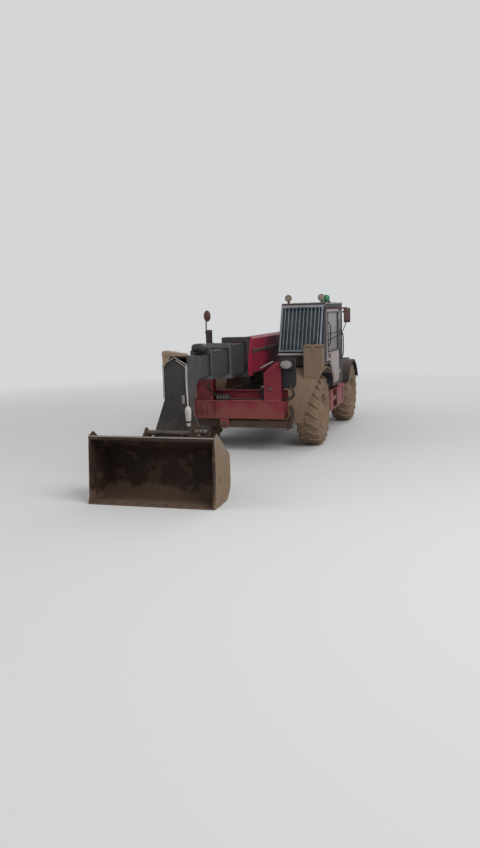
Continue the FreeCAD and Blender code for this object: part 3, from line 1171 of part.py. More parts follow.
# Stabilizers: the left leg works in the front half of the beam, the right leg in the rear half
half_depth = "((beam_depth - beam_wall) / 2)"
PLATES = (("rear", "beam_x"), ("mid", f"(beam_x + {half_depth})"), ("front", f"(beam_x + 2 * {half_depth})"))
beam = []
for name, face in PLATES:
    span = (face, f"{face} + beam_wall")
    high = "beam_back" if name == "rear" else "beam_high"
    plate = [box(f"beam_{name}", span, ("boom_y - beam_half", "boom_y + beam_half"), ("beam_low", high))]
    for side in (-1, 1):
        works_front = side > 0
        if (name == "rear" and works_front) or (name == "front" and not works_front):
            continue
        pivot = f"(boom_y - {side} * leg_pivot)"
        plate.append(bar(f"beam_{name}_lug{side + 1}", "x", "leg_boss", span, (pivot, "leg_z")))
        plate.append(box(f"beam_{name}_root{side + 1}", span, (f"{pivot} - leg_boss", f"{pivot} + leg_boss"),
                         ("leg_z", "beam_low + beam_wall")))
        corners = [
            (f"boom_y + {side} * tower_in", "beam_high - beam_wall"),
            (f"boom_y + {side} * tower_out", "beam_high - beam_wall"),
            (f"boom_y + {side} * tower_out", "apex_z"),
            (f"boom_y + {side} * apex_in", "apex_z"),
            (f"boom_y + {side} * tower_in", "tower_knee"),
        ]
        plate.append(prism(f"beam_{name}_tower{side + 1}", "yz", corners, span))
    beam += plate
inside = ("beam_x + beam_wall / 2", f"{BEAM_FRONT} - beam_wall / 2")
slots = []
for side in (-1, 1):
    middle = f"(beam_x + {half_depth} + beam_wall / 2 + {side} * {half_depth} / 2)"
    low = f"boom_y + {side} * (ram_eye_y - 2 * ram_eye)"
    high = f"boom_y + {side} * (ram_eye_y + 4 * ram_eye)"
    span = (low, high) if side > 0 else (high, low)
    slots.append(box(f"beam_slot{side + 1}", (f"{middle} - ram_barrel - cheek_gap", f"{middle} + ram_barrel + cheek_gap"),
                     span, ("beam_high - 2 * beam_wall", "beam_high + 1")))
top = box("beam_top", inside, ("boom_y - beam_half", "boom_y + beam_half"), ("beam_high - beam_wall", "beam_high"))
beam.append(cut("beam_top_slotted", top, slots))
for side in (-1, 1):
    edge = (f"boom_y + {side} * beam_half", f"boom_y + {side} * (beam_half - beam_wall)")
    span = (edge[1], edge[0]) if side > 0 else edge
    beam.append(box(f"beam_end{side + 1}", inside, span, ("beam_low", "beam_high")))


def make_leg(side):
    """Leg with its rocker foot, the pins that carry it and the cheeks of its cylinder."""
    name = "leg_left" if side > 0 else "leg_right"
    middle = f"(beam_x + {half_depth} + beam_wall / 2 + {side} * {half_depth} / 2)"
    pivot = f"(boom_y - {side} * leg_pivot)"
    wide = (f"{middle} - leg_width / 2", f"{middle} + leg_width / 2")
    end = f"({pivot} + {side} * leg_reach)"
    arm = (pivot, end) if side > 0 else (end, pivot)
    pieces = [
        bar(f"{name}_boss", "x", "leg_boss - cheek_gap", wide, (pivot, "leg_z")),
        box(f"{name}_arm", wide, arm, ("leg_z - leg_height / 2", "leg_z + leg_height / 2")),
    ]
    foot_x = (f"{middle} - foot_width / 2", f"{middle} + foot_width / 2")
    centre_y = f"({end} + {side} * (foot_wall - foot_radius))"
    centre_z = "(leg_z + foot_rise)"
    ring = bar(f"{name}_foot_outer", "x", "foot_radius", foot_x, (centre_y, centre_z))
    core = bar(f"{name}_foot_inner", "x", "foot_radius - foot_wall", foot_x, (centre_y, centre_z))
    shell = cut(f"{name}_foot_ring", ring, [core])
    far = "2 * foot_radius"
    low = math.tan(math.radians(value("foot_low")))
    high = math.tan(math.radians(value("foot_high")))
    wedge = prism(f"{name}_foot_wedge", "yz", [
        (centre_y, centre_z),
        (f"{centre_y} + {side} * {far}", f"{centre_z} - {far} * {low:.9f}"),
        (f"{centre_y} + {side} * {far}", f"{centre_z} + {far} * {high:.9f}"),
    ], foot_x)
    foot = doc.addObject("Part::MultiCommon", f"{name}_foot")
    foot.Shapes = [shell, wedge]
    pieces.append(foot)
    web_end = f"({end} + {side} * foot_wall / 2)"
    web_start = f"({end} - {side} * leg_width)"
    pieces.append(prism(f"{name}_web", "yz", [
        (web_start, "leg_z"),
        (web_end, "leg_z"),
        (web_end, f"{centre_z} + foot_rise / 2"),
    ], (f"{middle} - foot_wall / 2", f"{middle} + foot_wall / 2")))
    eye_y = f"(boom_y + {side} * ram_eye_y)"
    for index, way in enumerate((-1, 1)):
        near = f"({middle} + {way} * (eye_half + cheek_gap / 2))"
        outer = f"({middle} + {way} * leg_width / 2)"
        span = (outer, near) if way < 0 else (near, outer)
        pieces.append(prism(f"{name}_cheek{index}", "yz", [
            (f"{eye_y} - 2 * ram_eye", "leg_z + leg_height / 2"),
            (f"{eye_y} + 2 * ram_eye", "leg_z + leg_height / 2"),
            (f"{eye_y} + ram_eye", "ram_eye_z + ram_eye"),
            (f"{eye_y} - ram_eye", "ram_eye_z + ram_eye"),
        ], span))
    whole = fuse(f"{name}_blank", pieces)
    bore = bar(f"{name}_bore", "x", "leg_pin + fit", (f"{middle} - leg_width", f"{middle} + leg_width"), (pivot, "leg_z"))
    return cut(name, whole, [bore])


for side, label in ((1, "left"), (-1, "right")):
    middle = f"(beam_x + {half_depth} + beam_wall / 2 + {side} * {half_depth} / 2)"
    pivot = f"(boom_y - {side} * leg_pivot)"
    across = (f"{middle} - {half_depth} / 2", f"{middle} + {half_depth} / 2")
    beam.append(bar(f"leg_pin_{label}", "x", "leg_pin", across, (pivot, "leg_z")))
    beam.append(bar(f"ram_pin_{label}", "x", "ram_pin", across, (f"boom_y + {side} * ram_top_y", "ram_top_z")))
    for index, way in enumerate((-1, 1)):
        near = f"({middle} + {way} * (eye_half + cheek_gap / 2))"
        far = f"({middle} + {way} * {half_depth} / 2)"
        span = (far, near) if way < 0 else (near, far)
        beam.append(bar(f"ram_boss_{label}{index}", "x", "ram_eye", span, (f"boom_y + {side} * ram_top_y", "ram_top_z")))
    node(f"stabilizer_leg_{label}", [make_leg(side)])
    start = (f"boom_y + {side} * ram_top_y", "ram_top_z")
    finish = (f"boom_y + {side} * ram_eye_y", "ram_eye_z")
    ram_length, ram_angle = span_between(start, finish)
    ram = make_cylinder(f"ram_{label}", "ram_pin", "ram_eye", "eye_half", "ram_barrel", "ram_rod",
                        "ram_barrel_length", "ram_rod_inner", ram_length)
    # the cylinder's X runs down the leg's plane, its eye axis along the machine
    turn = Rotation(Vector(1, 0, 0), ram_angle).multiply(Rotation(Vector(0, 0, 1), 90))
    for kind, piece in zip(("cylinder", "rod"), ram):
        node(f"stabilizer_{kind}_{label}", [piece], middle, start[0], "ram_top_z", turn)
node("stabilizer_beam", [fuse("stabilizer_beam_whole", beam)])


# Cab shell, one wall thick, with its windows and the door opening cut
def cab_outline(inset):
    """Side view of the cab, drawn in by an inset."""
    return [
        (f"-cab_back + {inset}", f"cab_floor + {inset}"),
        (f"-arch_back - {inset} / 2", f"cab_floor + {inset}"),
        (f"-arch_back - {inset} / 2", f"arch_mid + {inset} / 2"),
        (f"-arch_front - {inset} / 2", f"arch_high + {inset}"),
        (f"cowl_x - {inset}", f"arch_high + {inset}"),
        (f"cowl_x - {inset}", "cowl_z"),
        (f"cowl_x - screen_lean - {inset}", "cab_roof - roof_drop"),
        (f"cowl_x - screen_lean - roof_drop - {inset} / 2", f"cab_roof - {inset}"),
        (f"-cab_back + {inset}", f"cab_roof - {inset}"),
    ]


def screen_x(height):
    """Outer face of the windscreen at a height."""
    share = f"(({height}) - cowl_z) / (cab_roof - roof_drop - cowl_z)"
    return f"(cowl_x - screen_lean * {share})"


def door_outline(inset):
    """Door seen from the side, drawn in by an inset."""
    return [
        (f"-door_back + {inset}", f"door_low + {inset}"),
        (f"-arch_back - pillar - {inset} / 2", f"door_low + {inset}"),
        (f"-arch_back - pillar - {inset} / 2", f"arch_mid + pillar / 2 + {inset} / 2"),
        (f"-arch_front - pillar - {inset} / 2", f"arch_high + pillar + {inset}"),
        (f"-door_front - {inset}", f"arch_high + pillar + {inset}"),
        (f"-door_front - {inset}", f"head_z - {inset}"),
        (f"-door_back + {inset}", f"head_z - {inset}"),
    ]


cab_blank = prism("cab_blank", "xz", cab_outline("0"), ("cab_in", CAB_OUT))
cab_hollow = prism("cab_hollow", "xz", cab_outline("cab_wall"), ("cab_in + cab_wall", f"{CAB_OUT} - cab_wall"))
window_y = ("cab_in + pillar", f"{CAB_OUT} - pillar")
screen_low = "(cowl_z + fit)"
screen_hole = prism("screen_hole", "xz", [
    (f"{screen_x(screen_low)} + cab_wall", screen_low),
    (f"{screen_x('head_z')} + cab_wall", "head_z"),
    (f"{screen_x('head_z')} - 2 * cab_wall", "head_z"),
    (f"{screen_x(screen_low)} - 2 * cab_wall", screen_low),
], window_y)
rear_hole = box("rear_hole", ("-cab_back - 1", "-cab_back + cab_wall + 1"), window_y, ("sill_z", "head_z - pillar"))
side_window = [
    ("-cab_back + 2 * pillar", "sill_z"),
    ("-pillar", "sill_z"),
    ("-pillar - screen_lean / 2", "head_z - pillar"),
    ("-cab_back + 2 * pillar", "head_z - pillar"),
]
side_hole = prism("side_hole", "xz", side_window, ("cab_in - 1", "cab_in + cab_wall + 1"))
quarter_window = [
    (f"-cab_back + pillar", "sill_z"),
    (f"-door_back - pillar", "sill_z"),
    (f"-door_back - pillar", "head_z - pillar"),
    (f"-cab_back + pillar", "head_z - pillar"),
]
quarter_hole = prism("quarter_hole", "xz", quarter_window, (f"{CAB_OUT} - cab_wall - 1", f"{CAB_OUT} + 1"))
door_hole = prism("door_hole", "xz", door_outline("-door_gap"), (f"{CAB_OUT} - cab_wall - 1", f"{CAB_OUT} + 1"))
cab = cut("cab", cab_blank, [cab_hollow, screen_hole, rear_hole, side_hole, quarter_hole, door_hole])
node("cab_shell", [cab])

glass = [
    prism("glass_screen", "xz", [
        (f"{screen_x(screen_low)} - glass_wall", f"{screen_low} + fit"),
        (f"{screen_x('head_z')} - glass_wall", "head_z - fit"),
        (f"{screen_x('head_z')} - 2 * glass_wall", "head_z - fit"),
        (f"{screen_x(screen_low)} - 2 * glass_wall", f"{screen_low} + fit"),
    ], ("cab_in + pillar + fit", f"{CAB_OUT} - pillar - fit")),
    box("glass_rear", ("-cab_back + glass_wall", "-cab_back + 2 * glass_wall"),
        ("cab_in + pillar + fit", f"{CAB_OUT} - pillar - fit"), ("sill_z + fit", "head_z - pillar - fit")),
]
glass_side = ("cab_in + glass_wall", "cab_in + 2 * glass_wall")
glass_left = (f"{CAB_OUT} - 2 * glass_wall", f"{CAB_OUT} - glass_wall")
glass.append(prism("glass_side", "xz", [
    ("-cab_back + 2 * pillar + fit", "sill_z + fit"),
    ("-pillar - fit", "sill_z + fit"),
    ("-pillar - screen_lean / 2 - fit", "head_z - pillar - fit"),
    ("-cab_back + 2 * pillar + fit", "head_z - pillar - fit"),
], glass_side))
glass.append(box("glass_quarter", ("-cab_back + pillar + fit", "-door_back - pillar - fit"), glass_left,
                 ("sill_z + fit", "head_z - pillar - fit")))
node("cab_glass", glass)

door_blank = prism("door_blank", "xz", door_outline("0"), (f"{CAB_OUT} - cab_wall", CAB_OUT))
window_points = [
    ("-door_back + door_frame", "sill_z"),
    ("-door_front - door_frame", "sill_z"),
    ("-door_front - door_frame", "head_z - door_frame"),
    ("-door_back + door_frame", "head_z - door_frame"),
]
door_window = prism("door_window", "xz", window_points, (f"{CAB_OUT} - cab_wall - 1", f"{CAB_OUT} + 1"))
door_panel = cut("door_panel", door_blank, [door_window])
hinge_at = ("-door_back - hinge_radius - door_gap", f"{CAB_OUT} + hinge_radius")
door_pieces = [door_panel]
for index, height in enumerate(("door_low + 2 * door_frame", "head_z - 3 * door_frame")):
    leaf = box(f"hinge_leaf{index}", (f"{hinge_at[0]}", "-door_back + door_frame"),
               (f"{CAB_OUT} - 1", f"{CAB_OUT} + hinge_radius"), (height, f"{height} + door_frame"))
    clear = box(f"hinge_clear{index}", (f"{hinge_at[0]} - door_frame", "-door_back"),
                (f"{CAB_OUT} - 2", f"{CAB_OUT} + fit"), (height, f"{height} + door_frame"))
    door_pieces.append(cut(f"hinge_leaf_cut{index}", leaf, [clear]))
    door_pieces.append(bar(f"hinge{index}", "z", "hinge_radius - fit", (height, f"{height} + door_frame"), hinge_at))
node("cab_door", [fuse("cab_door_whole", door_pieces)])
node("door_glass", [box("glass_door", ("-door_back + door_frame + fit", "-door_front - door_frame - fit"), glass_left,
                        ("sill_z + fit", "head_z - door_frame - fit"))])

# Windscreen guard: frame and upright bars, upright in its own frame and then leaned back
guard_lean = math.degrees(math.atan2(value("screen_lean"), value("cab_roof - roof_drop - cowl_z")))
guard_y = ("cab_in + guard_inset", f"{CAB_OUT} - guard_inset")
guard_x = ("guard_gap", "guard_gap + guard_rail")
guard = [
    box("guard_low", guard_x, guard_y, ("0", "guard_rail")),
    box("guard_high", guard_x, guard_y, ("guard_height - guard_rail", "guard_height")),
    box("guard_in", guard_x, (guard_y[0], f"{guard_y[0]} + guard_rail"), ("0", "guard_height")),
    box("guard_out", guard_x, (f"{guard_y[1]} - guard_rail", guard_y[1]), ("0", "guard_height")),
]
bars = int(value("bar_count"))
for index in range(bars):
    share = (index + 1) / (bars + 1)
    place = f"({guard_y[0]}) + (({guard_y[1]}) - ({guard_y[0]})) * {share:.6f}"
    guard.append(bar(f"guard_bar{index}", "z", "bar_radius", ("guard_rail / 2", "guard_height - guard_rail / 2"),
                     ("guard_gap + guard_rail / 2", place)))
for index, (side, height) in enumerate(((0, "guard_rail"), (0, "guard_height - guard_rail"),
                                        (1, "guard_rail"), (1, "guard_height - guard_rail"))):
    near = f"{guard_y[0]} + guard_rail / 2" if side == 0 else f"{guard_y[1]} - guard_rail / 2"
    guard.append(bar(f"guard_foot{index}", "x", "guard_rail / 2 - 1", ("fit", "guard_gap + guard_rail / 2"), (near, height)))
node("screen_guard", [fuse("screen_guard_whole", guard)], "cowl_x", 0, "cowl_z + 2 * fit",
     Rotation(Vector(0, 1, 0), -guard_lean))


# Side tank with steps, under the cab
tank_blank = box("tank_blank", ("-tank_front - tank_length", "-tank_front"), ("tank_in", "tank_out"), ("tank_low", TANK_HIGH))
tank_soft = rounded("tank_soft", tank_blank, "tank_round", lambda a, b: (
    abs(a.x - b.x) > value("tank_length") / 2 and min(a.z, b.z) < value("tank_low") + 1))
steps = []
for index in range(2):
    low = f"(tank_low + tank_round + {index} * ({TANK_HIGH} - tank_low) / 2)"
    steps.append(box(f"step{index}", ("-tank_front - 2 * step_depth - step_length", "-tank_front - 2 * step_depth"),
                     ("tank_out - step_depth", "tank_out + 1"), (low, f"{low} + ({TANK_HIGH} - tank_low) / 3")))
node("side_tank", [cut("side_tank_whole", tank_soft, steps)])

# Engine on its bearers and the hood that covers it, hinged beside the boom
engine_y = ("-hood_in - engine_width - 2 * hood_wall", "-hood_in - 2 * hood_wall")
engine_low = "(cradle_low + cradle_wall + fit)"
node("engine_block", [box("engine", (f"{HOOD_BACK} + outrigger", f"{HOOD_BACK} + outrigger + engine_length"), engine_y,
                          (engine_low, f"{engine_low} + engine_height"))])


def hood_outline(inset):
    """Side view of the hood with its slanted front."""
    return [
        (f"{HOOD_BACK} + {inset}", "hood_low" if inset == "0" else "hood_low - 1"),
        (f"-hood_front - {inset}", "hood_low" if inset == "0" else "hood_low - 1"),
        (f"-hood_front - {inset}", f"hood_high - hood_slope - {inset} / 2"),
        (f"-hood_front - hood_slope - {inset} / 2", f"hood_high - {inset}"),
        (f"{HOOD_BACK} + {inset}", f"hood_high - {inset}"),
    ]


hood_blank = prism("hood_blank", "xz", hood_outline("0"), ("-hood_out", "-hood_in"))
hood_hollow = prism("hood_hollow", "xz", hood_outline("hood_wall"), ("-hood_out + hood_wall", "-hood_in + 1"))
slots = []
count = int(value("grille_count"))
for index in range(count):
    low = f"(hood_low + grille_foot + {index} * grille_pitch)"
    slots.append(box(f"grille_side{index}", (f"{HOOD_BACK} + grille_foot", f"{HOOD_BACK} + grille_foot + grille_length"),
                     ("-hood_out - 1", "-hood_out + hood_wall + 1"), (low, f"{low} + grille_pitch / 2")))
    slots.append(box(f"grille_back{index}", (f"{HOOD_BACK} - 1", f"{HOOD_BACK} + hood_wall + 1"),
                     ("-hood_out + grille_foot", "-hood_in - grille_foot"), (low, f"{low} + grille_pitch / 2")))
hood = cut("hood", hood_blank, [hood_hollow] + slots)
hood_hinge = bar("hood_hinge", "x", "hinge_radius", (f"{HOOD_BACK} + outrigger", "-hood_front - hood_slope - outrigger"),
                 ("-hood_in + hinge_radius / 2", "hood_high - hinge_radius"))
node("engine_hood", [fuse("engine_hood_whole", [hood, hood_hinge])])

# Driver's place
seat_y = ("seat_y - seat_width / 2", "seat_y + seat_width / 2")
seat_floor = "(cab_floor + cab_wall + fit)"
seat_base = box("seat_base", ("-seat_back_x + seat_round", "-seat_back_x + seat_depth - seat_round"),
                ("seat_y - seat_width / 3", "seat_y + seat_width / 3"), (seat_floor, "seat_z"))
seat_pad = prism("seat_pad", "xz", [
    ("-seat_back_x", "seat_z"),
    ("-seat_back_x + seat_depth", "seat_z"),
    ("-seat_back_x + seat_depth", "seat_z + seat_pad_wall"),
    ("-seat_back_x + seat_pad_wall", "seat_z + seat_pad_wall"),
    ("-seat_back_x", "seat_z + seat_back_height"),
    ("-seat_back_x - seat_pad_wall", "seat_z + seat_back_height"),
    ("-seat_back_x - seat_pad_wall / 2", "seat_z"),
], seat_y)
node("driver_seat", [fuse("driver_seat_whole", [seat_base, seat_pad])])

dash_foot = "(arch_high + cab_wall + fit)"
dash = prism("dash", "xz", [
    ("cowl_x - cab_wall - dash_depth", dash_foot),
    ("cowl_x - cab_wall - fit", dash_foot),
    ("cowl_x - cab_wall - fit", "cowl_z - 2 * fit"),
    ("cowl_x - cab_wall - dash_depth / 2", "cowl_z + dash_rise"),
    ("cowl_x - cab_wall - dash_depth", "cowl_z + dash_rise / 2"),
], ("cab_in + cab_wall + dash_gap", f"{CAB_OUT} - cab_wall - dash_gap"))
column = bar("column", "x", "column_radius", ("0", "column_length"), ("0", "0"))
wheel_ring = doc.addObject("Part::Torus", "wheel_ring")
wheel_ring.Placement = Placement(Vector(), AXES["x"])
wheel_ring.setExpression("Radius1", bind("steer_radius"))
wheel_ring.setExpression("Radius2", bind("steer_grip"))
spokes = [
    bar("spoke_across", "y", "steer_grip * 0.7", ("-steer_radius", "steer_radius"), ("0", "0")),
    bar("spoke_up", "z", "steer_grip * 0.7", ("-steer_radius", "0"), ("0", "0")),
]
steering = fuse("steering", [column, wheel_ring] + spokes)
steering.Placement = Placement(Vector(), Rotation(Vector(0, 1, 0), value("column_lean")))
put(steering, "cowl_x - cab_wall - dash_depth - column_length / 2", "seat_y", "cowl_z + steer_rise")
node("steering_console", [fuse("steering_console_whole", [dash, steering])])

# Lamps: two on the cab roof with the beacon, two on the stabilizer towers, two at the tail
lamps = []
for index, place in enumerate(("cab_in + lamp_inset", f"{CAB_OUT} - lamp_inset")):
    lamp_x = "(cowl_x - screen_lean - roof_drop - lamp_depth)"
    lamp_z = "(cab_roof + lamp_foot + lamp_radius)"
    lamps.append(fuse(f"roof_lamp{index}", [
        bar(f"roof_lamp_body{index}", "x", "lamp_radius", (lamp_x, f"{lamp_x} + lamp_depth"), (place, lamp_z)),
        box(f"roof_lamp_foot{index}", (f"{lamp_x} + lamp_depth / 4", f"{lamp_x} + lamp_depth * 3 / 4"),
            (f"{place} - lamp_foot / 2", f"{place} + lamp_foot / 2"), ("cab_roof + fit", lamp_z)),
    ]))
beacon_x = "(cowl_x - screen_lean - 2 * roof_drop - 2 * lamp_depth)"
lamps.append(fuse("beacon", [
    bar("beacon_foot", "z", "beacon_radius + lamp_foot / 2", ("cab_roof + fit", "cab_roof + lamp_foot"),
        (beacon_x, f"{CAB_OUT} - beacon_radius * 2")),
    bar("beacon_glass", "z", "beacon_radius", ("cab_roof + fit", "cab_roof + beacon_height"),
        (beacon_x, f"{CAB_OUT} - beacon_radius * 2")),
]))
for side in (-1, 1):
    low = f"boom_y + {side} * (tower_out + fit)"
    high = f"boom_y + {side} * (tower_out + headlamp)"
    across = (low, high) if side > 0 else (high, low)
    lamp_back = f"({BEAM_FRONT} - beam_wall)"
    lamps.append(box(f"headlamp{side + 1}", (lamp_back, f"{lamp_back} + headlamp"), across,
                     ("apex_z - headlamp + tail_lamp", "apex_z + tail_lamp")))
    tail_y = (f"{side} * (weight_half - weight_round)", f"{side} * (weight_half - weight_round - 2 * headlamp)")
    across = (tail_y[1], tail_y[0]) if side > 0 else tail_y
    lamps.append(box(f"tail_lamp{side + 1}", ("-wheelbase - rear_overhang - tail_lamp", "-wheelbase - rear_overhang - fit"),
                     across, ("weight_high - 2 * headlamp", "weight_high - headlamp")))
node("lamps", lamps)

# Mirrors: a flat one on an arm from the cab, a round one on a pole from the hood side
mirror_left = fuse("mirror_left_whole", [
    bar("mirror_arm", "y", "pole_radius", (f"{CAB_OUT} + fit", "mirror_left_y"), ("-mirror_back", "mirror_left_z + mirror_height / 2")),
    bar("mirror_drop", "z", "pole_radius", ("mirror_left_z - mirror_height / 2", "mirror_left_z + mirror_height / 2"),
        ("-mirror_back", "mirror_left_y")),
    box("mirror_head", ("-mirror_back - mirror_wall", "-mirror_back + mirror_wall"),
        ("mirror_left_y - mirror_width / 2", "mirror_left_y + mirror_width / 2"),
        ("mirror_left_z - mirror_height / 2", "mirror_left_z + mirror_height / 2 - 2 * pole_radius")),
])
pole_x = "(-hood_front - hood_slope - pole_radius)"
mirror_right = fuse("mirror_right_whole", [
    bar("mirror_pole", "z", "pole_radius", ("pole_low", "mirror_right_z"), (pole_x, "-mirror_right_y")),
    bar("mirror_reach", "y", "pole_radius", ("-mirror_right_y", "-hood_out - fit"), (pole_x, "pole_low + pole_radius")),
    box("mirror_panel", (f"{pole_x} - mirror_wall", f"{pole_x} + mirror_wall"),
        ("-mirror_right_y - panel_width / 2", "-mirror_right_y + panel_width / 2"),
        ("mirror_right_z - panel_drop - panel_height", "mirror_right_z - panel_drop")),
    bar("mirror_dish", "x", "dish_radius", (f"{pole_x} - mirror_wall", f"{pole_x} + mirror_wall"),
        ("-mirror_right_y", "mirror_right_z")),
])
node("mirror_left", [mirror_left])
node("mirror_right", [mirror_right])

doc.recompute()

bad = [item.Name for item in doc.Objects if "Invalid" in item.State or "Error" in item.State]
if bad:
    raise RuntimeError("failed objects: " + ", ".join(bad))
for item in nodes:
    if item.Shape.isNull() or not item.Shape.isValid():
        raise RuntimeError("bad shape: " + item.Label)

os.makedirs("parts", exist_ok=True)
for item in nodes:
    item.Shape.exportStep(f"parts/{item.Label}.step")
    extent = item.Shape.BoundBox
    print(f"{item.Label}: {len(item.Shape.Solids)} solids, "
          f"x {extent.XMin:.0f} {extent.XMax:.0f} y {extent.YMin:.0f} {extent.YMax:.0f} z {extent.ZMin:.0f} {extent.ZMax:.0f}")
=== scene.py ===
"""Telehandler on a building site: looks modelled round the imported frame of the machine.

Places are in metres ahead of the front axle, left of the machine's middle and over the ground. Each
sub-assembly joins its pieces, and fit_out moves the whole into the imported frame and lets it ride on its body.
"""

import logging
import math
from dataclasses import dataclass, field
from enum import Enum
from typing import Callable, Sequence

import bmesh
import bpy
from mathutils import Matrix, Vector


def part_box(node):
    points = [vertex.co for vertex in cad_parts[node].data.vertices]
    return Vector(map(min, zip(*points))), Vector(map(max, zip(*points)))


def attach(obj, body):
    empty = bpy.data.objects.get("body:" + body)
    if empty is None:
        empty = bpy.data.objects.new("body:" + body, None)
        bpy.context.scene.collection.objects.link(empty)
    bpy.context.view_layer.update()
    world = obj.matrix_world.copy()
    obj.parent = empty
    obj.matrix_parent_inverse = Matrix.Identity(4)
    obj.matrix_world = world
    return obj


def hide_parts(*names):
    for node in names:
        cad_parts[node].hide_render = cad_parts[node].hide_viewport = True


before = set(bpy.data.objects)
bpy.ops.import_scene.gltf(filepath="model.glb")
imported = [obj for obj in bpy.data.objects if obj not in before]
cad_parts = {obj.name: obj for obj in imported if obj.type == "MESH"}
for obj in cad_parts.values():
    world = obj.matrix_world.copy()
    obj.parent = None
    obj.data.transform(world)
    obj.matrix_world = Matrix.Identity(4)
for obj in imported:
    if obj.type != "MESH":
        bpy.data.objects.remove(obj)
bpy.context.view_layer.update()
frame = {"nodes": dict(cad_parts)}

log = logging.getLogger("telehandler")

Point = tuple[float, float, float]
Colour = tuple[float, float, float]


class Body(str, Enum):
    """Rigid bodies of the machine that pieces ride on."""

    CHASSIS = "chassis"
    BOOM_1 = "boom_1"
    BOOM_2 = "boom_2"
    BOOM_3 = "boom_3"
    BOOM_4 = "boom_4"
    BUCKET = "bucket_tool"
    LIFT_BARREL = "lift_barrel"
    DOOR = "door"
    HOOD = "hood"
    WHEEL_FRONT_LEFT = "wheel_front_left"
    WHEEL_FRONT_RIGHT = "wheel_front_right"
    WHEEL_REAR_LEFT = "wheel_rear_left"
    WHEEL_REAR_RIGHT = "wheel_rear_right"


class Axis(Enum):
    """Axes of the machine: forward, left, up."""

    X = 0
    Y = 1
    Z = 2

    def unit(self) -> Vector:
        """Unit vector along the axis."""
        return Vector([1.0 if number == self.value else 0.0 for number in range(3)])


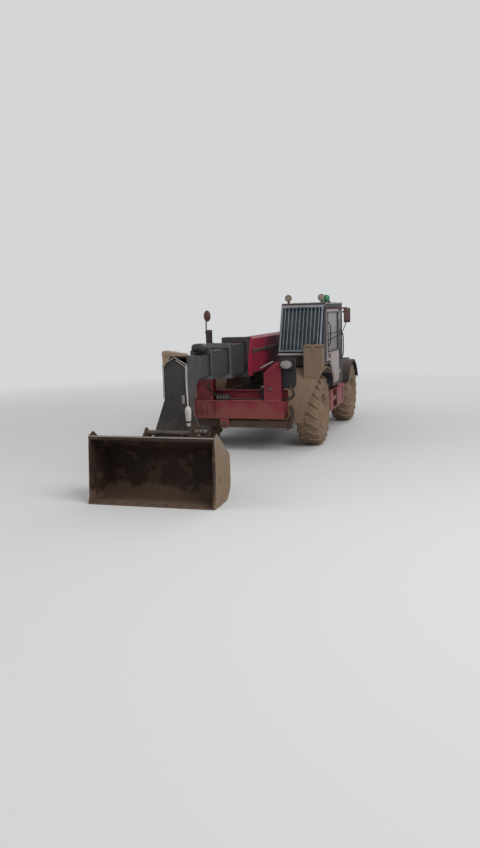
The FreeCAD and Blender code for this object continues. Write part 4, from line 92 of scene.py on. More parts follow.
@dataclass(frozen=True)
class Finish:
    """A worn surface: a base colour with patches, bright scratches, dust from above and mud from below."""

    name: str
    colour: Colour
    patch: Colour
    roughness: float = 0.5
    metallic: float = 0.0
    grain: float = 6.0
    bump: float = 0.15
    dust: float = 0.35
    dust_colour: Colour = (0.36, 0.27, 0.19)
    mud: float = 0.0
    mud_colour: Colour = (0.23, 0.15, 0.095)
    mud_top: float = 1.0
    mud_base: float = 0.2
    scratch: float = 0.0
    scratch_colour: Colour = (0.42, 0.40, 0.38)
    scratch_scale: float = 9.0

    def material(self) -> bpy.types.Material:
        """Node material of the finish, made once.

        Returns:
            The material.
        """
        known = bpy.data.materials.get("worn_" + self.name)
        if known is not None:
            return known
        made = bpy.data.materials.new("worn_" + self.name)
        made.use_nodes = True
        nodes = made.node_tree.nodes
        links = made.node_tree.links
        shader = nodes["Principled BSDF"]
        shader.inputs["Metallic"].default_value = self.metallic
        shader.inputs["Specular IOR Level"].default_value = 0.3 if self.metallic < 0.5 else 0.5
        place = nodes.new("ShaderNodeTexCoord").outputs["Object"]
        broad = self._noise(made, place, self.grain * 0.35, 4.0)
        fine = self._noise(made, place, self.grain * 9.0, 6.0)
        colour = self._mix(made, self._ramp(made, broad, 0.35, 0.68), self.colour, self.patch)
        if self.scratch > 0.0:
            stretched = nodes.new("ShaderNodeMapping")
            stretched.inputs["Scale"].default_value = (1.0, 2.2, 3.4)
            stretched.inputs["Rotation"].default_value = (0.3, 0.5, 0.2)
            links.new(place, stretched.inputs["Vector"])
            worn = self._noise(made, stretched.outputs["Vector"], self.scratch_scale, 12.0)
            share = self._ramp(made, worn, 0.70 - 0.22 * self.scratch, 0.74 - 0.20 * self.scratch)
            colour = self._mix(made, share, colour, self.scratch_colour)
        if self.dust > 0.0:
            facing = nodes.new("ShaderNodeNewGeometry").outputs["Normal"]
            split = nodes.new("ShaderNodeSeparateXYZ")
            links.new(facing, split.inputs["Vector"])
            upward = self._range(made, split.outputs["Z"], -0.4, 1.0, 0.35, 1.0)
            veil = self._ramp(made, self._noise(made, place, 2.3, 8.0), 0.30, 0.75)
            share = self._times(made, self._times(made, upward, veil), self.dust)
            colour = self._mix(made, share, colour, self.dust_colour)
        if self.mud > 0.0:
            split = nodes.new("ShaderNodeSeparateXYZ")
            links.new(place, split.inputs["Vector"])
            height = self._range(made, split.outputs["Z"], self.mud_base, self.mud_top, 1.0, 0.0)
            splash = self._range(made, self._noise(made, place, 5.0, 10.0), 0.30, 0.62, 0.0, 1.0)
            blend = nodes.new("ShaderNodeMath")
            blend.operation = "MULTIPLY_ADD"
            links.new(height, blend.inputs[0])
            blend.inputs[1].default_value = 1.3
            links.new(splash, blend.inputs[2])
            share = self._times(made, self._range(made, blend.outputs[0], 0.75, 1.25, 0.0, 1.0), self.mud)
            colour = self._mix(made, share, colour, self.mud_colour)
        links.new(colour, shader.inputs["Base Color"])
        links.new(self._range(made, fine, 0.3, 0.7, self.roughness - 0.09, self.roughness + 0.12),
                  shader.inputs["Roughness"])
        if self.bump > 0.0:
            relief = nodes.new("ShaderNodeBump")
            relief.inputs["Strength"].default_value = self.bump
            relief.inputs["Distance"].default_value = 0.01
            links.new(fine, relief.inputs["Height"])
            links.new(relief.outputs["Normal"], shader.inputs["Normal"])
        return made

    @staticmethod
    def _noise(made: bpy.types.Material, place: bpy.types.NodeSocket, scale: float,
               detail: float) -> bpy.types.NodeSocket:
        """Noise value at a place."""
        noise = made.node_tree.nodes.new("ShaderNodeTexNoise")
        noise.inputs["Scale"].default_value = scale
        noise.inputs["Detail"].default_value = detail
        noise.inputs["Roughness"].default_value = 0.62
        made.node_tree.links.new(place, noise.inputs["Vector"])
        return noise.outputs["Fac"]

    @staticmethod
    def _range(made: bpy.types.Material, source: bpy.types.NodeSocket, low: float, high: float,
               start: float, end: float) -> bpy.types.NodeSocket:
        """Value moved linearly from one range to another, held at both ends."""
        node = made.node_tree.nodes.new("ShaderNodeMapRange")
        node.inputs["From Min"].default_value = low
        node.inputs["From Max"].default_value = high
        node.inputs["To Min"].default_value = start
        node.inputs["To Max"].default_value = end
        made.node_tree.links.new(source, node.inputs["Value"])
        return node.outputs["Result"]

    @classmethod
    def _ramp(cls, made: bpy.types.Material, source: bpy.types.NodeSocket, low: float,
              high: float) -> bpy.types.NodeSocket:
        """Value from nought to one between two limits."""
        return cls._range(made, source, low, high, 0.0, 1.0)

    @staticmethod
    def _times(made: bpy.types.Material, first: bpy.types.NodeSocket,
               second: bpy.types.NodeSocket | float) -> bpy.types.NodeSocket:
        """Product of two values."""
        node = made.node_tree.nodes.new("ShaderNodeMath")
        node.operation = "MULTIPLY"
        made.node_tree.links.new(first, node.inputs[0])
        if isinstance(second, float):
            node.inputs[1].default_value = second
        else:
            made.node_tree.links.new(second, node.inputs[1])
        return node.outputs[0]

    @staticmethod
    def _mix(made: bpy.types.Material, share: bpy.types.NodeSocket,
             first: Colour | bpy.types.NodeSocket, second: Colour) -> bpy.types.NodeSocket:
        """Colour between two colours."""
        node = made.node_tree.nodes.new("ShaderNodeMix")
        node.data_type = "RGBA"
        made.node_tree.links.new(share, node.inputs["Factor"])
        if isinstance(first, tuple):
            node.inputs[6].default_value = (*first, 1.0)
        else:
            made.node_tree.links.new(first, node.inputs[6])
        node.inputs[7].default_value = (*second, 1.0)
        return node.outputs[2]


@dataclass(frozen=True)
class ClearFinish:
    """Window glass or a lamp lens."""

    name: str
    colour: Colour
    alpha: float
    roughness: float = 0.08

    def material(self) -> bpy.types.Material:
        """Node material of the finish, made once.

        Returns:
            The material.
        """
        known = bpy.data.materials.get("worn_" + self.name)
        if known is not None:
            return known
        made = bpy.data.materials.new("worn_" + self.name)
        made.use_nodes = True
        nodes = made.node_tree.nodes
        links = made.node_tree.links
        shader = nodes["Principled BSDF"]
        shader.inputs["Base Color"].default_value = (*self.colour, 1.0)
        shader.inputs["IOR"].default_value = 1.45
        place = nodes.new("ShaderNodeTexCoord").outputs["Object"]
        smear = nodes.new("ShaderNodeTexNoise")
        smear.inputs["Scale"].default_value = 3.5
        smear.inputs["Detail"].default_value = 8.0
        links.new(place, smear.inputs["Vector"])
        film = nodes.new("ShaderNodeMapRange")
        film.inputs["From Min"].default_value = 0.35
        film.inputs["From Max"].default_value = 0.75
        film.inputs["To Min"].default_value = self.alpha
        film.inputs["To Max"].default_value = min(1.0, self.alpha + 0.15)
        links.new(smear.outputs["Fac"], film.inputs["Value"])
        links.new(film.outputs["Result"], shader.inputs["Alpha"])
        haze = nodes.new("ShaderNodeMapRange")
        haze.inputs["To Min"].default_value = self.roughness
        haze.inputs["To Max"].default_value = self.roughness + 0.2
        links.new(smear.outputs["Fac"], haze.inputs["Value"])
        links.new(haze.outputs["Result"], shader.inputs["Roughness"])
        return made


MUD = (0.20, 0.135, 0.085)
CLAY = (0.33, 0.235, 0.155)

RED_PAINT = Finish("red_paint", (0.26, 0.007, 0.036), (0.16, 0.007, 0.024), roughness=0.5, grain=2.5,
                   dust=0.07, mud=0.35, mud_top=1.0, mud_base=0.45, scratch=0.10)
BEAM_RED = Finish("beam_red", (0.190, 0.010, 0.028), (0.120, 0.012, 0.020), roughness=0.6, grain=2.2, dust=0.10,
                  mud=0.55, mud_top=0.95, mud_base=0.40, mud_colour=(0.17, 0.062, 0.040), scratch=0.15)
DARK_PAINT = Finish("dark_paint", (0.018, 0.0185, 0.020), (0.030, 0.030, 0.030), roughness=0.55, grain=3.0,
                    dust=0.07, scratch=0.06, scratch_colour=(0.12, 0.12, 0.12))
HEAD_GREY = Finish("head_grey", (0.021, 0.022, 0.027), (0.036, 0.036, 0.038), roughness=0.55, grain=4.0,
                   dust=0.08, mud=0.25, mud_top=1.2, mud_base=0.3, scratch=0.16,
                   scratch_colour=(0.16, 0.155, 0.15))
CAB_GREY = Finish("cab_grey", (0.34, 0.295, 0.300), (0.26, 0.225, 0.225), roughness=0.5, grain=2.0, dust=0.25,
                  mud=0.45, mud_top=1.4, mud_base=0.8)
CAB_PALE = Finish("cab_pale", (0.40, 0.345, 0.345), (0.32, 0.275, 0.27), roughness=0.5, grain=2.5, dust=0.25,
                  mud=0.4, mud_top=1.4, mud_base=0.8)
CAB_DARK = Finish("cab_dark", (0.013, 0.011, 0.018), (0.022, 0.019, 0.024), roughness=0.55, dust=0.06)
FRAME_BLACK = Finish("frame_black", (0.014, 0.012, 0.011), (0.028, 0.024, 0.020), roughness=0.7, dust=0.3,
                     mud=0.7, mud_top=1.1, mud_base=0.4, mud_colour=(0.10, 0.066, 0.045), scratch=0.1)
LEG_MUD = Finish("leg_mud", (0.016, 0.010, 0.009), (0.040, 0.016, 0.014), roughness=0.8, grain=3.0, bump=0.3,
                 dust=0.25, dust_colour=MUD, mud=0.25, mud_top=0.9, mud_base=0.2,
                 mud_colour=(0.13, 0.086, 0.056))
# Near-black base colour: painted shade of the bucket's inside, with mud towards its floor.
BUCKET_SHADE_STEEL = Finish("bucket_steel", (0.020, 0.0105, 0.007), (0.042, 0.022, 0.014), roughness=0.75, grain=3.0,
                      bump=0.3, dust=0.18, dust_colour=(0.10, 0.062, 0.042), mud=0.85, mud_top=0.20,
                      mud_base=0.0,
                      mud_colour=(0.125, 0.078, 0.052), scratch=0.18, scratch_colour=(0.10, 0.085, 0.075))
BUCKET_DUSTY = Finish("bucket_dusty", (0.21, 0.185, 0.165), (0.13, 0.105, 0.085), roughness=0.7, grain=4.0,
                      bump=0.35, dust=0.3, mud=0.95, mud_top=0.95, mud_base=0.45,
                      mud_colour=(0.19, 0.125, 0.078), scratch=0.2)
RIM_GREY = Finish("rim_grey", (0.20, 0.165, 0.130), (0.13, 0.095, 0.068), roughness=0.7, dust=0.7,
                  dust_colour=CLAY, mud=0.95, mud_top=0.95, mud_base=0.3)
TYRE_RUBBER = Finish("tyre_rubber", (0.105, 0.068, 0.044), (0.175, 0.120, 0.078), roughness=0.9, grain=4.0,
                     bump=0.4, dust=0.8, dust_colour=(0.24, 0.170, 0.112), mud=0.85,
                     mud_colour=(0.20, 0.138, 0.090), mud_top=1.6, mud_base=-0.2)
BLACK_PLASTIC = Finish("black_plastic", (0.014, 0.014, 0.015), (0.02, 0.02, 0.02), roughness=0.62, bump=0.2,
                       dust=0.3, mud=0.5, mud_top=1.25, mud_base=0.5)
FENDER_MUD = Finish("fender_mud", (0.185, 0.128, 0.083), (0.105, 0.072, 0.050), roughness=0.85, grain=3.5,
                    bump=0.35, dust=0.55, dust_colour=(0.30, 0.215, 0.145), mud=0.6, mud_top=1.8, mud_base=0.3,
                    mud_colour=(0.225, 0.155, 0.10), scratch=0.10, scratch_colour=(0.05, 0.045, 0.04))
REAR_FENDER = Finish("rear_fender", (0.018, 0.013, 0.014), (0.036, 0.026, 0.022), roughness=0.7, bump=0.2,
                     dust=0.2, dust_colour=MUD)
HOSE_RUBBER = Finish("hose_rubber", (0.012, 0.012, 0.012), (0.02, 0.02, 0.02), roughness=0.55, dust=0.3)
CHROME_ROD = Finish("chrome_rod", (0.62, 0.62, 0.63), (0.5, 0.5, 0.5), roughness=0.16, metallic=1.0, bump=0.02,
                    dust=0.12)
CYLINDER_PAINT = Finish("cylinder_paint", (0.020, 0.018, 0.018), (0.035, 0.03, 0.028), roughness=0.45, dust=0.3,
                        scratch=0.1)
BRIGHT_STEEL = Finish("bright_steel", (0.20, 0.19, 0.18), (0.12, 0.11, 0.10), roughness=0.42, metallic=0.7,
                      dust=0.25, scratch=0.3)
BOLT_DARK = Finish("bolt_dark", (0.045, 0.043, 0.042), (0.07, 0.06, 0.055), roughness=0.5, metallic=0.4,
                   dust=0.2)
GUARD_STEEL = Finish("guard_steel", (0.20, 0.235, 0.27), (0.10, 0.125, 0.15), roughness=0.5, dust=0.15,
                     scratch=0.2)
HOOD_DARK = Finish("hood_dark", (0.016, 0.016, 0.018), (0.028, 0.027, 0.026), roughness=0.45, dust=0.3)
ENGINE_IRON = Finish("engine_iron", (0.05, 0.05, 0.05), (0.08, 0.07, 0.06), roughness=0.6, dust=0.5)
WEIGHT_IRON = Finish("weight_iron", (0.022, 0.022, 0.022), (0.04, 0.036, 0.032), roughness=0.65, bump=0.35,
                     dust=0.35, mud=0.6, mud_top=1.0, mud_base=0.5)
SEAT_FABRIC = Finish("seat_fabric", (0.022, 0.022, 0.025), (0.035, 0.034, 0.036), roughness=0.85, grain=24.0,
                     bump=0.4, dust=0.15)
TRIM_PLASTIC = Finish("trim_plastic", (0.030, 0.030, 0.031), (0.04, 0.04, 0.04), roughness=0.6, grain=12.0,
                      dust=0.15)
EDGE_RED = Finish("edge_red", (0.29, 0.008, 0.045), (0.20, 0.006, 0.030), roughness=0.45, dust=0.04,
                  scratch=0.08)
# Pale pink: painted highlight along the top flange of the stabilizer beam.
FLANGE_HIGHLIGHT_PINK = Finish("flange_highlight_pink", (0.30, 0.075, 0.085), (0.20, 0.035, 0.045), roughness=0.5, dust=0.2,
                   scratch=0.15)
EDGE_GREY = Finish("edge_grey", (0.062, 0.068, 0.074), (0.105, 0.110, 0.116), roughness=0.5, dust=0.10,
                   scratch=0.2)
# Pale grey: painted highlights along the boom head's edges and the towers' slanted edges, and pale trim
# elsewhere.
EDGE_PALE = Finish("edge_pale", (0.30, 0.28, 0.265), (0.21, 0.19, 0.175), roughness=0.5, dust=0.3, scratch=0.15)
CANISTER_PALE = Finish("canister_pale", (0.50, 0.48, 0.47), (0.36, 0.34, 0.33), roughness=0.45, dust=0.2,
                       scratch=0.1)
MUDDY_STEEL = Finish("muddy_steel", (0.185, 0.125, 0.082), (0.28, 0.20, 0.135), roughness=0.85, grain=9.0,
                     bump=0.5, dust=0.6)
MIRROR_CASE = Finish("mirror_case", (0.050, 0.017, 0.017), (0.075, 0.030, 0.027), roughness=0.5, dust=0.2)
SEAL_RUBBER = Finish("seal_rubber", (0.010, 0.010, 0.010), (0.018, 0.018, 0.018), roughness=0.7, dust=0.2)
LAMP_RED = Finish("lamp_red", (0.36, 0.015, 0.012), (0.26, 0.012, 0.010), roughness=0.25, bump=0.05, dust=0.25)
LAMP_AMBER = Finish("lamp_amber", (0.55, 0.17, 0.01), (0.42, 0.13, 0.01), roughness=0.25, bump=0.05, dust=0.25)
LAMP_LENS = ClearFinish("lamp_lens", (0.36, 0.33, 0.32), 0.97, 0.16)
HEAD_LENS = Finish("head_lens", (0.30, 0.275, 0.27), (0.15, 0.135, 0.13), roughness=0.22, grain=14.0, bump=0.1,
                   dust=0.3)
WORK_LENS = Finish("work_lens", (0.13, 0.10, 0.075), (0.28, 0.22, 0.16), roughness=0.25, grain=16.0, bump=0.1,
                   dust=0.3)
SCREEN_GLASS = ClearFinish("screen_glass", (0.030, 0.046, 0.055), 0.62)
DOOR_GLASS = ClearFinish("door_glass_tint", (0.30, 0.275, 0.285), 0.46)
MIRROR_FACE = Finish("mirror_face", (0.5, 0.52, 0.54), (0.45, 0.46, 0.48), roughness=0.12, metallic=1.0,
                     bump=0.0, dust=0.1)
BEACON_GREEN = ClearFinish("beacon_green", (0.008, 0.17, 0.055), 0.95, 0.15)

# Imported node, finish
NODE_FINISHES: dict[str, Finish | ClearFinish] = {
    "chassis_frame": FRAME_BLACK, "counterweight": WEIGHT_IRON, "front_axle": FRAME_BLACK,
    "rear_axle": FRAME_BLACK, "stabilizer_beam": BEAM_RED, "front_fender_left": FENDER_MUD,
    "front_fender_right": FENDER_MUD, "cab_shell": CAB_DARK, "cab_glass": SCREEN_GLASS,
    "screen_guard": GUARD_STEEL, "side_tank": RED_PAINT, "engine_block": ENGINE_IRON,
    "driver_seat": SEAT_FABRIC, "steering_console": TRIM_PLASTIC, "lamps": LAMP_LENS,
    "mirror_left": MIRROR_CASE, "mirror_right": CAB_DARK, "boom_section_1": RED_PAINT,
    "boom_section_2": DARK_PAINT, "boom_section_3": DARK_PAINT, "boom_section_4": HEAD_GREY,
    "quick_hitch": HEAD_GREY, "bucket": BUCKET_SHADE_STEEL, "lift_cylinder": CYLINDER_PAINT,
    "lift_rod_bar": CHROME_ROD, "tilt_cylinder": CYLINDER_PAINT, "tilt_rod_bar": CHROME_ROD,
    "stabilizer_leg_left": LEG_MUD, "stabilizer_leg_right": LEG_MUD,
    "stabilizer_cylinder_left": CYLINDER_PAINT, "stabilizer_cylinder_right": CYLINDER_PAINT,
    "stabilizer_rod_left": CHROME_ROD, "stabilizer_rod_right": CHROME_ROD,
    "cab_door": CAB_PALE, "door_glass": DOOR_GLASS, "engine_hood": HOOD_DARK,
    "rear_fender_left": REAR_FENDER, "rear_fender_right": REAR_FENDER,
}


def dress_nodes(nodes: dict[str, bpy.types.Object]) -> None:
    """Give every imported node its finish.

    Args:
        nodes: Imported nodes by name.
    """
    for name, thing in nodes.items():
        finish = NODE_FINISHES.get(name)
        if finish is None:
            kind = name.split("_")[0]
            finish = {"tyre": TYRE_RUBBER, "rim": RIM_GREY}.get(kind, FRAME_BLACK)
        thing.data.materials.clear()
        thing.data.materials.append(finish.material())
        for face in thing.data.polygons:
            face.material_index = 0


@dataclass
class Studio:
    """Floor, soft light and the camera at the photograph's viewing angle."""

    eye: Point = (13.557, 3.870, 2.460)
    yaw: float = 197.376
    pitch: float = 8.316
    roll: float = 1.650
    focal_pixels: float = 801.2
    frame_height: int = 848
    floor_half: float = 60.0
    pale: Colour = (0.66, 0.67, 0.68)

    def build(self) -> None:
        """Make the floor, the lamps, the world and the camera."""
        self._floor()
        self._lamps()
        self._camera()

    def _floor(self) -> None:
        """Pale plain floor under the wheels, evenly bright far off."""
        bpy.ops.object.select_all(action="DESELECT")
        bpy.ops.mesh.primitive_plane_add(size=2.0 * self.floor_half, location=(0.0, 0.0, 0.0))
        floor = bpy.context.active_object
        floor.name = "floor"
        made = bpy.data.materials.new("pale_floor")
        made.use_nodes = True
        nodes = made.node_tree.nodes
        links = made.node_tree.links
        shader = nodes["Principled BSDF"]
        shader.inputs["Base Color"].default_value = (0.62, 0.62, 0.61, 1.0)
        shader.inputs["Roughness"].default_value = 0.9
        away = nodes.new("ShaderNodeVectorMath")
        away.operation = "LENGTH"
        links.new(nodes.new("ShaderNodeTexCoord").outputs["Object"], away.inputs[0])
        fade = nodes.new("ShaderNodeMapRange")
        fade.inputs["From Min"].default_value = 4.5
        fade.inputs["From Max"].default_value = 15.0
        links.new(away.outputs["Value"], fade.inputs["Value"])
        seen = nodes.new("ShaderNodeMath")
        seen.operation = "MULTIPLY"
        links.new(fade.outputs["Result"], seen.inputs[0])
        links.new(nodes.new("ShaderNodeLightPath").outputs["Is Camera Ray"], seen.inputs[1])
        glow = nodes.new("ShaderNodeEmission")
        glow.inputs["Color"].default_value = (*self.pale, 1.0)
        blend = nodes.new("ShaderNodeMixShader")
        links.new(seen.outputs[0], blend.inputs[0])
        links.new(shader.outputs[0], blend.inputs[1])
        links.new(glow.outputs[0], blend.inputs[2])
        links.new(blend.outputs[0], nodes["Material Output"].inputs["Surface"])
        floor.data.materials.append(made)

    def _lamps(self) -> None:
        """Large soft lamps: key from the left front, fill from the right, one from behind."""
        for name, place, aim, size, power in (
            ("key", (9.0, 9.0, 10.0), (0.0, 0.0, 1.0), 9.0, 1350.0),
            ("fill", (8.0, -10.0, 7.0), (0.0, 0.0, 1.0), 9.0, 420.0),
            ("back", (-11.0, 3.0, 9.0), (0.0, 0.0, 1.5), 8.0, 480.0),
        ):
            bpy.ops.object.light_add(type="AREA", location=place)
            lamp = bpy.context.active_object
            lamp.name = name
            lamp.data.size = size
            lamp.data.energy = power
            lamp.rotation_euler = (Vector(aim) - Vector(place)).to_track_quat("-Z", "Y").to_euler()
        world = bpy.data.worlds.new("studio_world")
        world.use_nodes = True
        nodes = world.node_tree.nodes
        links = world.node_tree.links
        sky = nodes["Background"]
        sky.inputs["Color"].default_value = (0.82, 0.83, 0.85, 1.0)
        sky.inputs["Strength"].default_value = 0.5
        backdrop = nodes.new("ShaderNodeBackground")
        backdrop.inputs["Color"].default_value = (*self.pale, 1.0)
        path = nodes.new("ShaderNodeLightPath")
        rays = path.outputs["Is Camera Ray"]
        for kind in ("Is Glossy Ray", "Is Transmission Ray"):
            either = nodes.new("ShaderNodeMath")
            either.operation = "MAXIMUM"
            links.new(rays, either.inputs[0])
            links.new(path.outputs[kind], either.inputs[1])
            rays = either.outputs[0]
        blend = nodes.new("ShaderNodeMixShader")
        links.new(rays, blend.inputs[0])
        links.new(sky.outputs[0], blend.inputs[1])
        links.new(backdrop.outputs[0], blend.inputs[2])
        links.new(blend.outputs[0], nodes["World Output"].inputs["Surface"])
        bpy.context.scene.world = world
        bpy.context.scene.view_settings.view_transform = "Standard"

    def _camera(self) -> None:
        """Camera from its place, three angles and the focal length in pixels."""
        yaw, pitch, roll = (math.radians(angle) for angle in (self.yaw, self.pitch, self.roll))
        ahead = Vector((math.cos(pitch) * math.cos(yaw), math.cos(pitch) * math.sin(yaw), -math.sin(pitch)))
        right = ahead.cross(Vector((0.0, 0.0, 1.0))).normalized()
        down = ahead.cross(right)
        right, down = (math.cos(roll) * right + math.sin(roll) * down,
                       -math.sin(roll) * right + math.cos(roll) * down)
        bpy.ops.object.camera_add(location=self.eye)
        camera = bpy.context.active_object
        camera.name = "photo_camera"
        turn = Matrix((right, -down, -ahead)).transposed()
        camera.matrix_world = Matrix.Translation(Vector(self.eye)) @ turn.to_4x4()
        camera.data.sensor_fit = "VERTICAL"
        camera.data.sensor_height = 24.0
        camera.data.lens = 24.0 * self.focal_pixels / self.frame_height
        camera.data.clip_end = 200.0
        bpy.context.scene.camera = camera


HALF_TRACK = 1.01
WHEELBASE = 3.07
HUB_Z = 0.625
BOOM_Y = -0.06
# Gaps under trim that lies on a face, and under thin trim
SEAT_GAP = 0.0006
THIN_GAP = 0.0004

AXLE_LOW, AXLE_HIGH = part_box("tyre_front_left")
ORIGIN = Vector(((AXLE_LOW[0] + AXLE_HIGH[0]) / 2.0, (AXLE_LOW[1] + AXLE_HIGH[1]) / 2.0 - HALF_TRACK, 0.0))


def clear_selection() -> None:
    """Deselect everything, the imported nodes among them."""
    if bpy.context.mode != "OBJECT":
        bpy.ops.object.mode_set(mode="OBJECT")
    bpy.ops.object.select_all(action="DESELECT")


def take(piece: bpy.types.Object) -> None:
    """Make one piece the only selected and active one.

    Args:
        piece: Piece to work on.
    """
    clear_selection()
    piece.select_set(True)
    bpy.context.view_layer.objects.active = piece


def to_frame(piece: bpy.types.Object) -> None:
    """Move a piece from the machine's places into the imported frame.

    Args:
        piece: Piece to move.
    """
    take(piece)
    bpy.ops.transform.translate(value=ORIGIN)
    bpy.ops.object.transform_apply(location=True, rotation=True, scale=True)


def settle(finish: Finish | ClearFinish, smooth: float = 32.0) -> bpy.types.Object:
    """Put the active piece's place into its mesh and give it a finish.

    Args:
        finish: Finish of the piece.
        smooth: Largest angle in degrees that is shaded smooth.

    Returns:
        The piece.
    """
    piece = bpy.context.active_object
    bpy.ops.object.transform_apply(location=True, rotation=True, scale=True)
    piece.data.materials.clear()
    piece.data.materials.append(finish.material())
    bpy.ops.object.shade_smooth_by_angle(angle=math.radians(smooth))
    return piece


def soften(piece: bpy.types.Object, width: float, segments: int = 2) -> bpy.types.Object:
    """Round the sharp edges of a piece.

    Args:
        piece: Piece to round.
        width: Width of the rounding in metres.
        segments: Steps of the rounding.

    Returns:
        The piece.
    """
    take(piece)
    bevel = piece.modifiers.new("soft_edges", "BEVEL")
    bevel.width = width
    bevel.segments = segments
    bevel.limit_method = "ANGLE"
    bevel.angle_limit = math.radians(30.0)
    bpy.ops.object.modifier_apply(modifier=bevel.name)
    return piece


def select_where(piece: bpy.types.Object, test: Callable[[Vector], bool]) -> None:
    """Select the corners of the piece in edit mode that pass a test of their place.

    Args:
        piece: Piece in edit mode.
        test: Function of a corner's place.
    """
    mesh = bmesh.from_edit_mesh(piece.data)
    mesh.select_mode = {"VERT"}
    for corner in mesh.verts:
        corner.select_set(test(corner.co))
    mesh.select_flush_mode()
    bmesh.update_edit_mesh(piece.data)


def block(low: Point, high: Point, finish: Finish | ClearFinish, edge: float = 0.004) -> bpy.types.Object:
    """Rounded block between two corners.

    Args:
        low: Lowest corner.
        high: Highest corner.
        finish: Finish of the block.
        edge: Width of its rounded edges.

    Returns:
        The block.
    """
    clear_selection()
    size = [top - bottom for bottom, top in zip(low, high)]
    middle = [(top + bottom) / 2.0 for bottom, top in zip(low, high)]
    bpy.ops.mesh.primitive_cube_add(size=1.0, location=middle, scale=size)
    return soften(settle(finish), min(edge, 0.4 * min(size)))


def rod(start: Point, end: Point, radius: float, finish: Finish | ClearFinish, sides: int = 18,
        edge: float = 0.0, end_radius: float | None = None) -> bpy.types.Object:
    """Round or six-sided bar between two points.

    Args:
        start: Middle of one end.
        end: Middle of the other end.
        radius: Radius at the start.
        finish: Finish of the bar.
        sides: Number of sides.
        edge: Width of the rounded edge at the ends.
        end_radius: Radius at the end where it differs.

    Returns:
        The bar.
    """
    clear_selection()
    way = Vector(end) - Vector(start)
    bpy.ops.mesh.primitive_cone_add(
        vertices=sides, radius1=radius, radius2=radius if end_radius is None else end_radius, depth=way.length,
        location=(Vector(start) + Vector(end)) / 2.0, rotation=way.to_track_quat("Z", "Y").to_euler())
    piece = settle(finish)
    return soften(piece, edge) if edge > 0.0 else piece


def plate(outline: Sequence[tuple[float, float]], across: Axis, span: tuple[float, float],
          finish: Finish | ClearFinish, edge: float = 0.003) -> bpy.types.Object:
    """Flat plate with a polygon outline.

    Args:
        outline: Corners in the two directions other than the thickness, in the order x, y, z.
        across: Direction of the thickness.
        span: Start and end along that direction.
        finish: Finish of the plate.
        edge: Width of its rounded edges.

    Returns:
        The plate.
    """
    clear_selection()
    bpy.ops.mesh.primitive_circle_add(vertices=len(outline), radius=1.0, fill_type="NGON",
                                      location=(0.0, 0.0, 0.0))
    piece = bpy.context.active_object
    bpy.ops.object.mode_set(mode="EDIT")
    flat = [number for number in range(3) if number != across.value]
    for index, (first, second) in enumerate(outline):
        target = Vector((0.0, 0.0, 0.0))
        target[flat[0]] = first
        target[flat[1]] = second
        target[across.value] = span[0]
        mesh = bmesh.from_edit_mesh(piece.data)
        mesh.verts.ensure_lookup_table()
        for corner in mesh.verts:
            corner.select_set(corner.index == index)
        shift = target - mesh.verts[index].co
        bmesh.update_edit_mesh(piece.data)
        bpy.ops.transform.translate(value=shift)
    bpy.ops.mesh.select_all(action="SELECT")
    bpy.ops.mesh.extrude_region_move(TRANSFORM_OT_translate={"value": across.unit() * (span[1] - span[0])})
    bpy.ops.mesh.select_all(action="SELECT")
    bpy.ops.mesh.normals_make_consistent(inside=False)
    bpy.ops.object.mode_set(mode="OBJECT")
    piece = settle(finish)
    return soften(piece, edge) if edge > 0.0 else piece


def lathe(profile: Sequence[tuple[float, float]], centre: Point, along: Axis, finish: Finish | ClearFinish,
          sides: int = 48, ring: bool = False) -> bpy.types.Object:
    """Turned piece: a circle drawn out and resized step by step.

    Args:
        profile: Place along the axis and radius at each step.
        centre: Point of the axis from which places are measured.
        along: Direction of the axis.
        finish: Finish of the piece.
        sides: Number of sides.
        ring: Whether the profile comes back to its start, as that of a tyre does.

    Returns:
        The turned piece.
    """
    clear_selection()
    axis = along.unit()
    start = Vector(centre) + axis * profile[0][0]
    bpy.ops.mesh.primitive_circle_add(
        vertices=sides, radius=profile[0][1], fill_type="NOTHING" if ring else "NGON", location=start,
        rotation=axis.to_track_quat("Z", "Y").to_euler())
    bpy.ops.object.transform_apply(location=True, rotation=True, scale=True)
    bpy.ops.object.mode_set(mode="EDIT")
    bpy.ops.mesh.select_all(action="SELECT")
    for (before, size), (after, radius) in zip(profile, profile[1:]):
        bpy.ops.mesh.extrude_region_move(TRANSFORM_OT_translate={"value": axis * (after - before)})
        bpy.ops.transform.resize(value=[radius / size] * 3, center_override=Vector(centre) + axis * after)
    bpy.ops.mesh.select_all(action="SELECT")
    bpy.ops.mesh.remove_doubles(threshold=0.0001)
    bpy.ops.mesh.normals_make_consistent(inside=False)
    bpy.ops.object.mode_set(mode="OBJECT")
    return settle(finish)


def pipe(route: Sequence[Point], radius: float, finish: Finish) -> bpy.types.Object:
    """Bent pipe or clamped hose along a smooth route.

    Args:
        route: Control points of the route.
        radius: Radius of the pipe.
        finish: Finish of the pipe.

    Returns:
        The pipe.
    """
    clear_selection()
    line = bpy.data.curves.new("pipe", "CURVE")
    line.dimensions = "3D"
    line.bevel_depth = radius
    line.bevel_resolution = 2
    line.use_fill_caps = True
    spline = line.splines.new("NURBS")
    spline.points.add(len(route) - 1)
    for point, place in zip(spline.points, route):
        point.co = (*place, 1.0)
    spline.order_u = 3
    spline.use_endpoint_u = True
    spline.resolution_u = 6
    piece = bpy.data.objects.new("pipe", line)
    bpy.context.scene.collection.objects.link(piece)
    take(piece)
    bpy.ops.object.convert(target="MESH")
    return settle(finish, 60.0)


def row(piece: bpy.types.Object, count: int, step: Point) -> bpy.types.Object:
    """Repeat a piece along a line.

    Args:
        piece: Piece to repeat.
        count: Number of pieces in the row.
        step: From one to the next.

    Returns:
        The row, as one piece.
    """
    take(piece)
    array = piece.modifiers.new("row", "ARRAY")
    array.count = count
    array.use_relative_offset = False
    array.use_constant_offset = True
    array.constant_offset_displace = step
    bpy.ops.object.modifier_apply(modifier=array.name)
    return piece


